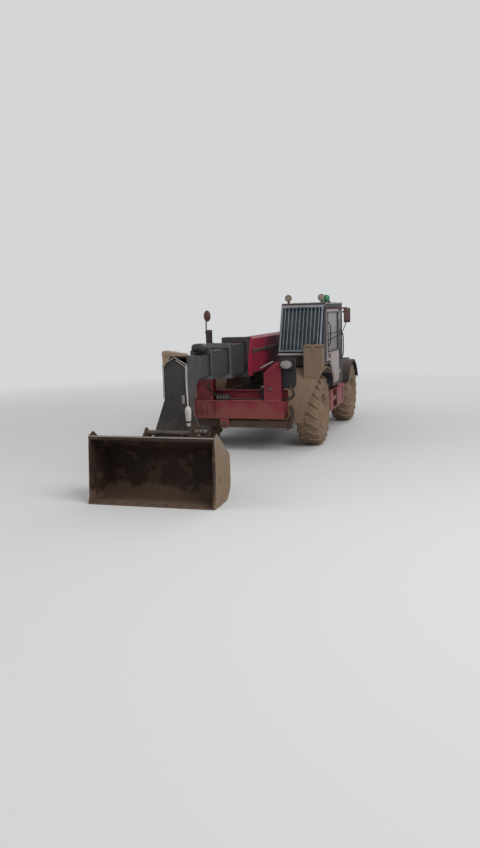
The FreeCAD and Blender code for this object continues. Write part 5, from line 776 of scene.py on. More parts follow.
def circle_of(piece: bpy.types.Object, count: int, centre: Point, along: Axis) -> bpy.types.Object:
    """Repeat a piece round an axis.

    Args:
        piece: Piece to repeat.
        count: Number of pieces round the axis.
        centre: Point of the axis.
        along: Direction of the axis.

    Returns:
        The ring of pieces, as one piece.
    """
    take(piece)
    bpy.ops.object.mode_set(mode="EDIT")
    bpy.ops.mesh.select_all(action="SELECT")
    bpy.ops.mesh.spin(steps=count - 1, dupli=True, angle=math.tau * (count - 1) / count, center=centre,
                      axis=along.unit())
    bpy.ops.object.mode_set(mode="OBJECT")
    return piece


def copied(piece: bpy.types.Object, shift: Point) -> bpy.types.Object:
    """Copy of a piece, with its own mesh, moved by a shift.

    Args:
        piece: Piece to copy.
        shift: From the piece to its copy.

    Returns:
        The copy.
    """
    take(piece)
    bpy.ops.object.duplicate_move(TRANSFORM_OT_translate={"value": shift})
    bpy.ops.object.transform_apply(location=True, rotation=True, scale=True)
    return bpy.context.active_object


def mirrored(piece: bpy.types.Object, middle: float = 0.0) -> bpy.types.Object:
    """Copy of a piece on the other side of an upright plane along the machine.

    Args:
        piece: Piece to copy.
        middle: Place of the plane to the left.

    Returns:
        The mirrored copy, its faces outward.
    """
    take(piece)
    bpy.ops.object.duplicate()
    bpy.ops.transform.resize(value=(1.0, -1.0, 1.0), center_override=(0.0, middle, 0.0))
    bpy.ops.object.transform_apply(location=True, rotation=True, scale=True)
    bpy.ops.object.mode_set(mode="EDIT")
    bpy.ops.mesh.select_all(action="SELECT")
    bpy.ops.mesh.normals_make_consistent(inside=False)
    bpy.ops.object.mode_set(mode="OBJECT")
    return bpy.context.active_object


def bolts(places: Sequence[Point], out: Vector, radius: float, finish: Finish) -> bpy.types.Object:
    """Six-sided bolt heads on washers, all facing one way.

    Args:
        places: Where the bolts stand on their plates.
        out: Direction in which they stand out.
        radius: Radius of a head.
        finish: Finish of the bolts.

    Returns:
        The bolts, as one piece.
    """
    first = Vector(places[0])
    washer = rod(first - out * radius * 0.2, first + out * radius * 0.25, radius * 1.35, finish, 16)
    head = rod(first, first + out * radius * 0.95, radius, finish, 6, radius * 0.12)
    bolt = merged([washer, head])
    return merged([bolt] + [copied(bolt, Vector(place) - first) for place in places[1:]])


def merged(pieces: Sequence[bpy.types.Object]) -> bpy.types.Object:
    """Join pieces into the first one.

    Args:
        pieces: Pieces to join.

    Returns:
        The joined piece.
    """
    take(pieces[0])
    for piece in pieces[1:]:
        piece.select_set(True)
    if len(pieces) > 1:
        bpy.ops.object.join()
    return bpy.context.active_object


def fit_out(name: str, body: Body, pieces: Sequence[bpy.types.Object],
            stands_for: Sequence[str] = ()) -> bpy.types.Object:
    """Join pieces into one named piece that moves with a body of the machine.

    Args:
        name: Name of the whole.
        body: Body that it rides on.
        pieces: Pieces to join.
        stands_for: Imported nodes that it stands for.

    Returns:
        The named piece.
    """
    whole = merged(pieces)
    to_frame(whole)
    whole.name = name
    whole.data.name = name
    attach(whole, body.value)
    if stands_for:
        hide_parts(*stands_for)
    log.info("%s: %d faces", name, len(whole.data.polygons))
    return whole


@dataclass
class Wheels:
    """Four muddy tyres with slanted lugs, and the nuts and bolts of their rims."""

    lug_count: int = 20
    half_width: float = 0.2
    carcass: float = 0.592
    lug_half: float = 0.027
    lug_lead: float = 0.13
    shoulder_drop: float = 0.05
    tread: float = 0.622
    nut_circle: float = 0.186
    nut_out: float = 0.062
    hub_circle: float = 0.118
    hub_out: float = 0.150
    middle: Vector = field(default_factory=lambda: Vector((0.0, HALF_TRACK, HUB_Z)))

    def build(self) -> None:
        """Model one wheel and copy it to the four corners."""
        tyre = merged([self._carcass(), self._lugs()])
        trim = merged([self._nuts(), self._hub_bolts(), self._valve()])
        rear = (-WHEELBASE, 0.0, 0.0)
        rear_tyre, rear_trim = copied(tyre, rear), copied(trim, rear)
        for corner, tyre_piece, trim_piece in (
            ("front_left", tyre, trim),
            ("rear_left", rear_tyre, rear_trim),
            ("front_right", mirrored(tyre), mirrored(trim)),
            ("rear_right", mirrored(rear_tyre), mirrored(rear_trim)),
        ):
            ride = Body("wheel_" + corner)
            fit_out("road_tyre_" + corner, ride, [tyre_piece], ["tyre_" + corner])
            fit_out("wheel_bolts_" + corner, ride, [trim_piece])

    def _carcass(self) -> bpy.types.Object:
        """Round carcass with bulged side walls and raised rings."""
        wall = [(0.168, 0.309), (0.1695, 0.332), (0.178, 0.352), (0.188, 0.385), (0.196, 0.42), (0.199, 0.452),
                (0.1995, 0.470), (0.194, 0.478), (0.194, 0.492), (0.197, 0.498), (0.190, 0.528), (0.174, 0.560),
                (0.145, 0.580), (0.080, 0.589)]
        other = [(-place, radius) for place, radius in reversed(wall)]
        profile = wall + [(0.0, self.carcass)] + other + [wall[0]]
        return lathe(profile, tuple(self.middle), Axis.Y, TYRE_RUBBER, 72, ring=True)

    def _lugs(self) -> bpy.types.Object:
        """Two rows of slanted lugs, the right row half a step behind the left."""
        x, y, z = self.middle
        low = (x - self.lug_half, y - 0.012, z + self.carcass - 0.02)
        high = (x + self.lug_half, y + self.half_width - 0.004, z + self.tread)
        start = -0.05
        clear_selection()
        bpy.ops.mesh.primitive_cube_add(
            size=1.0, location=[(a + b) / 2.0 for a, b in zip(low, high)],
            scale=[b - a for a, b in zip(low, high)])
        bpy.ops.object.transform_apply(location=True, rotation=True, scale=True)
        piece = bpy.context.active_object
        bpy.ops.object.mode_set(mode="EDIT")
        bpy.ops.mesh.select_all(action="SELECT")
        bpy.ops.mesh.subdivide(number_cuts=3)
        for step in range(5):
            share = step / 4.0
            place = low[1] + (high[1] - low[1]) * share
            lead, drop = self.lug_lead * share ** 1.3 + start, self.shoulder_drop * share ** 4
            select_where(piece, lambda corner: abs(corner.y - place) < 0.004)
            bpy.ops.transform.translate(value=(lead, 0.0, -drop))
            select_where(piece,
                         lambda corner: abs(corner.y - place) < 0.004 and corner.z > low[2] + 0.01 - drop)
            bpy.ops.transform.resize(value=(0.84, 1.0, 1.0), center_override=(x + lead, place, high[2]))
        bpy.ops.object.mode_set(mode="OBJECT")
        lug = soften(settle(TYRE_RUBBER), 0.004, 1)
        left = circle_of(lug, self.lug_count, tuple(self.middle), Axis.Y)
        right = mirrored(left, y)
        bpy.ops.object.mode_set(mode="EDIT")
        bpy.ops.mesh.select_all(action="SELECT")
        bpy.ops.transform.rotate(value=math.pi / self.lug_count, orient_axis="Y", center_override=self.middle)
        bpy.ops.object.mode_set(mode="OBJECT")
        return merged([left, right])

    def _nuts(self) -> bpy.types.Object:
        """Ring of ten wheel nuts on their studs."""
        start = self.middle + Vector((0.0, self.nut_out, self.nut_circle))
        out = Axis.Y.unit()
        nut = merged([rod(start, start + out * 0.006, 0.021, RIM_GREY, 18, 0.002),
                      rod(start + out * 0.006, start + out * 0.024, 0.0165, RIM_GREY, 6, 0.002),
                      rod(start + out * 0.024, start + out * 0.034, 0.009, RIM_GREY, 12, 0.002)])
        return circle_of(nut, 10, tuple(self.middle), Axis.Y)

    def _hub_bolts(self) -> bpy.types.Object:
        """Ring of small bolts round the hub cover, and its plug."""
        start = self.middle + Vector((0.0, self.hub_out, self.hub_circle))
        out = Axis.Y.unit()
        bolt = rod(start - out * 0.001, start + out * 0.008, 0.0075, RIM_GREY, 6, 0.001)
        ring = circle_of(bolt, 12, tuple(self.middle), Axis.Y)
        cap = self.middle + out * 0.172
        plug = rod(cap + Vector((0.0, 0.0, 0.045)), cap + Vector((0.0, 0.01, 0.045)), 0.014, RIM_GREY, 6, 0.002)
        disc = lathe([(-0.001, 0.070), (0.005, 0.068), (0.008, 0.060), (0.008, 0.020), (0.004, 0.012)],
                     tuple(cap), Axis.Y, RIM_GREY, 32)
        return merged([ring, plug, disc])

    def _valve(self) -> bpy.types.Object:
        """Valve stem beside the nuts."""
        foot = self.middle + Vector((0.262, 0.10, 0.0))
        neck, tip = foot + Axis.Y.unit() * 0.03, foot + Axis.Y.unit() * 0.042
        return merged([rod(foot, neck, 0.006, BRIGHT_STEEL, 12, 0.001),
                       rod(neck, tip, 0.0075, BLACK_PLASTIC, 12, 0.001)])


@dataclass
class Lamps:
    """Work lamps and beacon on the cab roof, headlamps on the towers, tail lamps on the weight."""

    roof_z: float = 2.49
    roof_x: float = -0.28
    roof_lamp_y: tuple[float, float] = (0.525, 1.125)
    headlamp_x: float = 1.06
    headlamp_y: tuple[float, float] = (0.812, -0.932)
    headlamp_z: float = 1.505
    beacon: tuple[float, float] = (-0.46, 1.185)
    tail_x: float = -4.22
    tail_y: tuple[float, float] = (0.715, -0.715)
    tail_z: float = 1.04

    def build(self) -> None:
        """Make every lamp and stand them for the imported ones."""
        pieces = [self._work_lamp(y) for y in self.roof_lamp_y]
        pieces += [self._headlamp(y) for y in self.headlamp_y]
        pieces += [self._tail_lamp(y) for y in self.tail_y]
        pieces.append(self._beacon())
        fit_out("lamp_set", Body.CHASSIS, pieces, ["lamps"])

    def _work_lamp(self, y: float) -> bpy.types.Object:
        """Round work lamp on a bent foot."""
        centre = (self.roof_x, y, self.roof_z + 0.094)
        shell = lathe([(-0.075, 0.018), (-0.07, 0.036), (-0.04, 0.055), (-0.008, 0.0615), (0.0, 0.0615),
                       (0.0, 0.054)], centre, Axis.X, CAB_DARK, 32)
        lens = lathe([(-0.006, 0.053), (0.002, 0.050), (0.006, 0.030), (0.007, 0.008)],
                     centre, Axis.X, WORK_LENS, 32)
        foot = block((self.roof_x - 0.05, y - 0.017, self.roof_z + THIN_GAP),
                     (self.roof_x - 0.02, y + 0.017, self.roof_z + 0.045), CAB_DARK, 0.004)
        base = block((self.roof_x - 0.065, y - 0.035, self.roof_z + THIN_GAP),
                     (self.roof_x - 0.005, y + 0.035, self.roof_z + 0.008), CAB_DARK, 0.003)
        return merged([shell, lens, foot, base])

    def _headlamp(self, y: float) -> bpy.types.Object:
        """Oval headlamp in a dark cup, with its bracket, a dark plate under it and two hoses."""
        centre = (self.headlamp_x, y, self.headlamp_z)
        cup = lathe([(-0.03, 0.035), (-0.02, 0.062), (0.045, 0.074), (0.080, 0.074), (0.080, 0.066)],
                    centre, Axis.X, CAB_DARK, 40)
        lens = lathe([(0.070, 0.066), (0.084, 0.062), (0.094, 0.046), (0.098, 0.012)],
                     centre, Axis.X, HEAD_LENS, 40)
        ring = lathe([(0.072, 0.064), (0.086, 0.064), (0.086, 0.071), (0.076, 0.073), (0.072, 0.064)],
                     centre, Axis.X, HEAD_GREY, 40, ring=True)
        lamp = merged([cup, lens, ring])
        take(lamp)
        bpy.ops.transform.resize(value=(1.0, 1.55, 1.04), center_override=centre)
        bpy.ops.object.transform_apply(location=True, rotation=True, scale=True)
        inner, outer = (-0.102, 0.136) if y > 0.0 else (0.102, -0.136)
        low, high = sorted((y + inner, y + outer))
        bracket = block((self.headlamp_x - 0.040, low, self.headlamp_z - 0.088),
                        (self.headlamp_x - 0.004, high, self.headlamp_z + 0.080), CAB_DARK, 0.006)
        # Dark plate below the bracket, from 1.10 up to 1.42.
        shape = [(y + side, level) for side, level in (
            (inner, 1.42), (outer, 1.42), (outer, 1.17), (outer * 0.72, 1.10), (inner, 1.10))]
        screen = plate(shape, Axis.X, (0.985, 1.021), CAB_DARK, 0.004)
        turn = 1.0 if y > 0.0 else -1.0
        loops = [pipe([(1.025, y + turn * 0.02, 1.16 + rise), (1.045, y + turn * 0.05, 1.10 + rise),
                       (1.050, y + turn * (0.10 + rise), 1.02), (1.045, y + turn * 0.06, 0.95 - rise),
                       (1.020, y - turn * 0.06, 0.93 - rise), (1.000, y - turn * 0.12, 0.93 - rise)], 0.011,
                      HOSE_RUBBER) for rise in (0.0, 0.03)]
        return merged([lamp, bracket, screen] + loops)

    def _tail_lamp(self, y: float) -> bpy.types.Object:
        """Tail lamp with a red and an amber window."""
        low, high = self.tail_z - 0.068, self.tail_z + 0.068
        case = block((self.tail_x - 0.022, y - 0.14, low), (self.tail_x - SEAT_GAP, y + 0.14, high), CAB_DARK,
                     0.006)
        red = block((self.tail_x - 0.036, y - 0.13, low + 0.01), (self.tail_x - 0.02, y - 0.01, high - 0.01),
                    LAMP_RED, 0.008)
        amber = block((self.tail_x - 0.036, y + 0.01, low + 0.01), (self.tail_x - 0.02, y + 0.13, high - 0.01),
                      LAMP_AMBER, 0.008)
        return merged([case, red, amber])

    def _beacon(self) -> bpy.types.Object:
        """Green beacon: rubber foot, ring and dome, on a small shelf."""
        x, y = self.beacon
        foot = (x, y, self.roof_z + THIN_GAP)
        base = lathe([(0.006, 0.066), (0.012, 0.068), (0.026, 0.062), (0.036, 0.057)], foot, Axis.Z, CAB_DARK,
                     32)
        dome = lathe([(0.034, 0.055), (0.098, 0.055), (0.122, 0.047), (0.136, 0.030), (0.142, 0.008)], foot,
                     Axis.Z, BEACON_GREEN, 24)
        shelf = block((x - 0.070, y - 0.085, self.roof_z + THIN_GAP),
                      (x + 0.070, y + 0.070, self.roof_z + 0.008), CAB_DARK, 0.002)
        return merged([base, dome, shelf])


@dataclass
class CabOutside:
    """Seals, roof edge, door furniture, wiper and grab rails of the cab."""

    inner: float = 0.43
    outer: float = 1.22
    back: float = -1.82
    front: float = 0.15
    roof: float = 2.49
    cowl: float = 1.64
    lean_x: float = 0.30
    lean_top: float = 2.44
    sill: float = 1.60
    arch_top: float = 1.395

    def build(self) -> None:
        """Dress the shell and the door."""
        fit_out("cab_roof_trim", Body.CHASSIS, self._roof())
        fit_out("cab_front_panel", Body.CHASSIS, self._front())
        fit_out("window_seals", Body.CHASSIS, self._seals())
        fit_out("windscreen_wiper", Body.CHASSIS, self._wiper())
        fit_out("cab_rear_trim", Body.CHASSIS, self._rear())
        fit_out("door_trim", Body.DOOR, self._door())

    def _screen(self, y: float, height: float, off: float) -> Point:
        """Point on the leaning windscreen, moved off it forward."""
        share = (height - self.cowl) / (self.lean_top - self.cowl)
        return (self.front - self.lean_x * share + off, y, height)

    def _roof(self) -> list[bpy.types.Object]:
        """Pale roof edge with a gutter all round and three pressed ribs."""
        front, back = self.front - self.lean_x - 0.055, self.back
        low, high = self.roof - 0.022, self.roof + 0.004
        inner, outer = self.inner - 0.006, self.outer + 0.006
        pieces = [
            block((back - 0.006, inner, low), (front, inner + 0.018, high), CAB_PALE, 0.006),
            block((back - 0.006, outer - 0.018, low), (front, outer, high), CAB_PALE, 0.006),
            block((back - 0.006, inner, low), (back + 0.012, outer, high), CAB_PALE, 0.006),
            block((front - 0.02, inner, low), (front + 0.006, outer, high), CAB_PALE, 0.006),
        ]
        rib = block((back + 0.14, inner + 0.12, self.roof), (front - 0.28, inner + 0.21, self.roof + 0.012),
                    CAB_GREY, 0.008)
        pieces.append(row(rib, 4, (0.0, 0.16, 0.0)))
        right, left = (self._screen(y, self.lean_top + 0.005, 0.0) for y in (inner + 0.01, outer - 0.01))
        pieces.append(rod(right, left, 0.010, CAB_PALE, 14, 0.003))
        return pieces

    def _front(self) -> list[bpy.types.Object]:
        """Panel under the windscreen with its dusty ledge, slots and bolts."""
        x = self.front
        panel = block((x + SEAT_GAP, self.inner + 0.02, self.arch_top + 0.02),
                      (x + 0.012, self.outer - 0.02, self.cowl - 0.05), CAB_DARK, 0.005)
        ledge = block((x + SEAT_GAP, self.inner, self.cowl - 0.05), (x + 0.032, self.outer, self.cowl - 0.008),
                      CAB_PALE, 0.010)
        slot = block((x + 0.012, self.inner + 0.10, self.arch_top + 0.05),
                     (x + 0.018, self.inner + 0.34, self.arch_top + 0.062), BLACK_PLASTIC, 0.002)
        slots = row(slot, 5, (0.0, 0.0, 0.026))
        screws = bolts([(x + 0.012, y, z) for y in (self.inner + 0.05, self.outer - 0.05)
                        for z in (self.arch_top + 0.05, self.cowl - 0.09)], Axis.X.unit(), 0.009, BRIGHT_STEEL)
        return [panel, ledge, slots, screws]

    def _frame(self, corners: Sequence[Point], radius: float) -> bpy.types.Object:
        """Rubber seal round a window, corner to corner."""
        closed = list(corners) + [corners[0]]
        return merged([rod(start, end, radius, SEAL_RUBBER, 10, 0.002)
                       for start, end in zip(closed, closed[1:])])

    def _seals(self) -> list[bpy.types.Object]:
        """Seals of the windscreen and the rear window."""
        left, right = self.outer - 0.055, self.inner + 0.055
        low, high = self.cowl + 0.02, self.lean_top - 0.02
        screen = self._frame([self._screen(y, z, 0.004) for y, z in (
            (left, low), (left, high), (right, high), (right, low))], 0.009)
        low, high = self.sill + 0.005, 2.335
        rear = self._frame([(self.back - 0.002, y, z) for y, z in (
            (left, low), (left, high), (right, high), (right, low))], 0.009)
        return [screen, rear]

    def _wiper(self) -> list[bpy.types.Object]:
        """Wiper with its motor cap, arm and blade on the screen."""
        foot = self._screen(1.02, self.cowl + 0.045, 0.012)
        tip = self._screen(0.80, self.cowl + 0.42, 0.016)
        low = self._screen(0.86, self.cowl + 0.20, 0.012)
        high = self._screen(0.74, self.cowl + 0.62, 0.012)
        return [rod(self._screen(1.02, self.cowl + 0.045, 0.0), foot, 0.016, BLACK_PLASTIC, 16, 0.003),
                rod(foot, tip, 0.006, BLACK_PLASTIC, 10, 0.001, 0.004),
                rod(low, high, 0.007, BLACK_PLASTIC, 8, 0.001)]

    def _rear(self) -> list[bpy.types.Object]:
        """Pressed lower rear wall, grab rail on the rear pillar, a vent and a pressed wall on the inner side.
        """
        wall = block((self.back - 0.010, self.inner + 0.06, 1.08),
                     (self.back - SEAT_GAP, self.outer - 0.06, 1.50), CAB_GREY, 0.008)
        vent = block((self.back - 0.016, self.inner + 0.16, 1.16),
                     (self.back - 0.010, self.inner + 0.42, 1.172), BLACK_PLASTIC, 0.002)
        vents = row(vent, 7, (0.0, 0.0, 0.026))
        rail = pipe([(-1.62, self.outer + 0.002, 1.42), (-1.62, self.outer + 0.055, 1.45),
                     (-1.62, self.outer + 0.055, 1.70), (-1.62, self.outer + 0.055, 1.92),
                     (-1.62, self.outer + 0.002, 1.95)], 0.011, CAB_DARK)
        feet = [rod((-1.62, self.outer - 0.001, z), (-1.62, self.outer + 0.006, z), 0.022, CAB_DARK, 16, 0.002)
                for z in (1.42, 1.95)]
        inner_wall = block((-1.60, self.inner - 0.010, 1.05), (-0.95, self.inner - SEAT_GAP, 1.50), CAB_GREY,
                           0.008)
        return [wall, vents, rail, inner_wall] + feet

    def _door(self) -> list[bpy.types.Object]:
        """Door skin with its raised panel, seal, handle, lock, grab rail, slanted bright edge and a rubber
        split strip.
        """
        y = self.outer
        panel = plate([(-1.39, 1.05), (-0.88, 1.05), (-0.88, 1.16), (-0.60, 1.50), (-0.60, 1.54),
                       (-1.39, 1.54)],
                      Axis.Y, (y + SEAT_GAP, y + 0.010), CAB_PALE, 0.004)
        low, high = self.sill + 0.012, 2.318
        start, end = -1.345, -0.345
        seal = self._frame([(start, y + 0.003, low), (end, y + 0.003, low), (end, y + 0.003, high),
                            (start, y + 0.003, high)], 0.009)
        edge = rod((-0.42, y + 0.012, 1.50), (-0.32, y + 0.012, 1.60), 0.011, EDGE_PALE, 10, 0.002)
        recess = block((-0.56, y + SEAT_GAP, 1.50), (-0.40, y + 0.008, 1.585), BLACK_PLASTIC, 0.010)
        grip = rod((-0.55, y + 0.020, 1.545), (-0.42, y + 0.020, 1.545), 0.009, CAB_DARK, 12, 0.003)
        posts = [rod((x, y + 0.004, 1.545), (x, y + 0.022, 1.545), 0.006, CAB_DARK, 10) for x in (-0.54, -0.43)]
        lock = rod((-0.50, y + 0.006, 1.515), (-0.50, y + 0.012, 1.515), 0.009, BRIGHT_STEEL, 16, 0.001)
        rail = pipe([(-0.385, y + 0.002, 1.72), (-0.385, y + 0.045, 1.75), (-0.385, y + 0.045, 1.95),
                     (-0.385, y + 0.045, 2.12), (-0.385, y + 0.002, 2.15)], 0.009, CAB_DARK)
        split = rod((start, y + 0.004, 1.94), (end, y + 0.004, 1.94), 0.006, SEAL_RUBBER, 8)
        return [panel, seal, edge, recess, grip, lock, rail, split] + posts


@dataclass
class CabInside:
    """Seat, armrest with joystick, dials, pedals and floor mat."""

    seat_y: float = 0.825
    seat_front: float = -0.97
    seat_back: float = -1.45
    pad_low: float = 1.29
    pad_high: float = 1.40
    back_top: float = 1.91
    floor: float = 0.99
    cell: float = 0.012
    swell: float = 0.012
    frames: int = 12

    def build(self) -> None:
        """Make the inside of the cab."""
        self._seat()
        fit_out("seat_frame", Body.CHASSIS, self._seat_frame(), ["driver_seat"])
        fit_out("cab_controls", Body.CHASSIS, self._controls())
        fit_out("floor_mat", Body.CHASSIS, self._mat())

    def _cushion(self, name: str, low: Point, high: Point, lean: float) -> None:
        """Padded cushion between two corners, leaning back by an angle in degrees."""
        piece = block(low, high, SEAT_FABRIC, 0.03)
        piece.name = name
        hinge = ((low[0] + high[0]) / 2.0, (low[1] + high[1]) / 2.0, low[2])
        bpy.ops.object.mode_set(mode="EDIT")
        bpy.ops.mesh.select_all(action="SELECT")
        bpy.ops.transform.rotate(value=math.radians(lean), orient_axis="Y", center_override=hinge)
        bpy.ops.object.mode_set(mode="OBJECT")
        to_frame(piece)
        self._swell(piece)
        take(piece)
        smooth = piece.modifiers.new("crown", "SUBSURF")
        smooth.levels = 1
        smooth.render_levels = 1
        bpy.ops.object.modifier_apply(modifier=smooth.name)
        bpy.ops.object.shade_smooth()
        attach(piece, Body.CHASSIS.value)
        log.info("%s: %d faces", name, len(piece.data.polygons))

    def _swell(self, piece: bpy.types.Object) -> None:
        """Fill a cushion by cloth pressure, its travel capped.

        Args:
            piece: Cushion to fill.
        """
        take(piece)
        remesh = piece.modifiers.new("cells", "REMESH")
        remesh.mode = "VOXEL"
        remesh.voxel_size = self.cell
        bpy.ops.object.modifier_apply(modifier=remesh.name)
        before = [corner.co.copy() for corner in piece.data.vertices]
        cloth = piece.modifiers.new("filling", "CLOTH")
        cloth.settings.use_pressure = True
        cloth.settings.uniform_pressure_force = 4.0
        cloth.settings.effector_weights.gravity = 0.0
        for number in range(1, self.frames + 1):
            bpy.context.scene.frame_set(number)
        bpy.ops.object.modifier_apply(modifier=cloth.name)
        bpy.context.scene.frame_set(1)
        for corner, start in zip(piece.data.vertices, before):
            travel = corner.co - start
            if travel.length > self.swell:
                corner.co = start + travel * (self.swell / travel.length)

    def _seat(self) -> None:
        """Seat cushion and back cushion."""
        y = self.seat_y
        self._cushion("seat_cushion", (self.seat_back + 0.10, y - 0.21, self.pad_low + 0.02),
                      (self.seat_front - 0.02, y + 0.21, self.pad_high - 0.014), 0.0)
        self._cushion("seat_back_cushion", (self.seat_back - 0.07, y - 0.20, self.pad_high + 0.02),
                      (self.seat_back + 0.01, y + 0.20, self.back_top - 0.06), -6.0)

    def _seat_frame(self) -> list[bpy.types.Object]:
        """Seat pan, back shell, spring bellows, slides and armrest."""
        y, back, front, floor = self.seat_y, self.seat_back, self.seat_front, self.floor
        pan = block((back + 0.06, y - 0.225, self.pad_low - 0.02), (front, y + 0.225, self.pad_low + 0.012),
                    TRIM_PLASTIC, 0.012)
        shell = block((back - 0.108, y - 0.215, self.pad_low), (back - 0.080, y + 0.215, self.back_top - 0.05),
                      TRIM_PLASTIC, 0.012)
        fold = block((back + 0.10, y - 0.18, floor + 0.05), (front - 0.06, y + 0.18, floor + 0.075),
                     SEAL_RUBBER, 0.010)
        bellows = row(fold, 9, (0.0, 0.0, 0.025))
        slides = [block((back + 0.02, y + side, floor + SEAT_GAP),
                        (front + 0.02, y + side + 0.03, floor + 0.045),
                        CAB_DARK, 0.004) for side in (-0.17, 0.14)]
        arm = block((back, y - 0.30, 1.565), (front - 0.06, y - 0.225, 1.61), TRIM_PLASTIC, 0.018)
        post = block((back - 0.02, y - 0.285, 1.32), (back + 0.05, y - 0.24, 1.575), TRIM_PLASTIC, 0.008)
        return [pan, shell, bellows, arm, post] + slides

    def _controls(self) -> list[bpy.types.Object]:
        """Joystick, dials and pedals."""
        y = self.seat_y
        stick = (self.seat_front - 0.10, y - 0.262, 1.608)
        boot = lathe([(0.0, 0.040), (0.012, 0.038), (0.030, 0.022), (0.048, 0.012)], stick, Axis.Z, SEAL_RUBBER,
                     24)
        lever = rod(Vector(stick) + Vector((0.0, 0.0, 0.045)), Vector(stick) + Vector((0.008, 0.0, 0.12)),
                    0.007, CAB_DARK, 12)
        knob = lathe([(0.105, 0.012), (0.120, 0.021), (0.160, 0.023), (0.178, 0.016), (0.182, 0.004)],
                     stick, Axis.Z, BLACK_PLASTIC, 20)
        dials = [lathe([(0.0, 0.044), (-0.012, 0.044), (-0.016, 0.038), (-0.010, 0.036)],
                       (-0.105, place, 1.705), Axis.X, CAB_DARK, 28) for place in (0.70, 0.81, 0.92)]
        pedals = [block((-0.78, y + side, 1.06), (-0.765, y + side + 0.07, 1.20), SEAL_RUBBER, 0.004)
                  for side in (-0.20, 0.05, 0.15)]
        stems = [rod((-0.772, y + side + 0.035, 1.06), (-0.772, y + side + 0.035, self.floor), 0.008, CAB_DARK,
                     10)
                 for side in (-0.20, 0.05, 0.15)]
        return [boot, lever, knob] + dials + pedals + stems

    def _mat(self) -> list[bpy.types.Object]:
        """Ribbed rubber mat on the floor."""
        mat = block((-1.74, 0.50, self.floor + SEAT_GAP), (-0.86, 1.15, self.floor + 0.008), SEAL_RUBBER, 0.003)
        rib = block((-0.95, 0.52, self.floor + 0.008), (-0.94, 1.13, self.floor + 0.012), SEAL_RUBBER, 0.002)
        return [mat, row(rib, 8, (0.012, 0.0, 0.0))]


@dataclass
class Mirrors:
    """Housings and faces of the left mirror and of the two mirrors on the right."""

    left_y: float = 1.594
    left_z: float = 2.265
    left_x: float = -0.200
    right_y: float = -1.323
    right_x: float = -1.064
    dish_z: float = 2.300
    panel_z: float = 1.835

    def build(self) -> None:
        """Make both sides."""
        fit_out("left_mirror_housing", Body.CHASSIS, self._left())
        fit_out("right_mirror_housings", Body.HOOD, self._right(), ["mirror_right"])

    def _shell(self, low: Point, high: Point, finish: Finish) -> bpy.types.Object:
        """Housing of a mirror, narrowed towards its front."""
        piece = block(low, high, finish, 0.014)
        depth = high[0] - low[0]
        bpy.ops.object.mode_set(mode="EDIT")
        select_where(piece, lambda corner: corner.x > high[0] - depth * 0.3)
        bpy.ops.transform.resize(value=(1.0, 0.72, 0.80),
                                 center_override=[(a + b) / 2.0 for a, b in zip(low, high)])
        bpy.ops.object.mode_set(mode="OBJECT")
        return piece

    def _left(self) -> list[bpy.types.Object]:
        """Upright mirror with its rim, face, clamp and lower strut."""
        x, y, z = self.left_x, self.left_y, self.left_z
        shell = self._shell((x - 0.018, y - 0.057, z - 0.127), (x + 0.050, y + 0.057, z + 0.127), MIRROR_CASE)
        face = block((x - 0.021, y - 0.049, z - 0.118), (x - 0.0175, y + 0.049, z + 0.118), MIRROR_FACE, 0.008)
        clamp = rod((x, y - 0.075, z + 0.06), (x, y - 0.050, z + 0.06), 0.020, CAB_DARK, 16, 0.003)
        strut = pipe([(x, y - 0.02, z - 0.12), (x - 0.005, y - 0.05, z - 0.24), (x - 0.02, y - 0.16, z - 0.36),
                      (x - 0.04, 1.235, z - 0.44)], 0.007, CAB_DARK)
        return [shell, face, clamp, strut]

    def _right(self) -> list[bpy.types.Object]:
        """Oval mirror over an upright one, on a pole beside the hood."""
        x, y = self.right_x, self.right_y
        centre = (x, y, self.dish_z)
        dish = lathe([(-0.019, 0.098), (-0.016, 0.108), (0.006, 0.110), (0.030, 0.098), (0.046, 0.066),
                      (0.052, 0.022)], centre, Axis.X, MIRROR_CASE, 40)
        face = lathe([(-0.017, 0.096), (-0.022, 0.085), (-0.026, 0.050), (-0.028, 0.012)],
                     centre, Axis.X, MIRROR_FACE, 40)
        oval = merged([dish, face])
        take(oval)
        bpy.ops.transform.resize(value=(1.0, 0.62, 1.0), center_override=centre)
        bpy.ops.transform.translate(value=(0.0, 0.018, 0.0))
        bpy.ops.object.transform_apply(location=True, rotation=True, scale=True)
        pane_y, pane_z = y + 0.045, self.panel_z
        shell = self._shell((x - 0.018, pane_y - 0.065, pane_z - 0.195),
                            (x + 0.050, pane_y + 0.065, pane_z + 0.195), REAR_FENDER)
        pane = block((x - 0.021, pane_y - 0.056, pane_z - 0.184), (x - 0.0175, pane_y + 0.056, pane_z + 0.184),
                     MIRROR_FACE, 0.010)
        bends = ((0.127, 1.575), (0.03, 1.575), (-0.004, 1.59), (-0.012, 1.66), (-0.012, 1.95), (-0.012, 2.15))
        pole = pipe([(x - 0.004, y + out, z) for out, z in bends] + [(x, y, 2.29)], 0.013, CAB_DARK)
        clamps = [rod((x, y - 0.012, z - 0.02), (x, y - 0.012, z + 0.02), 0.021, CAB_DARK, 16, 0.003)
                  for z in (1.70, 1.98)]
        foot = block((x - 0.045, y + 0.115, 1.545), (x + 0.045, y + 0.127, 1.605), CAB_DARK, 0.004)
        return [oval, shell, pane, pole, foot] + clamps


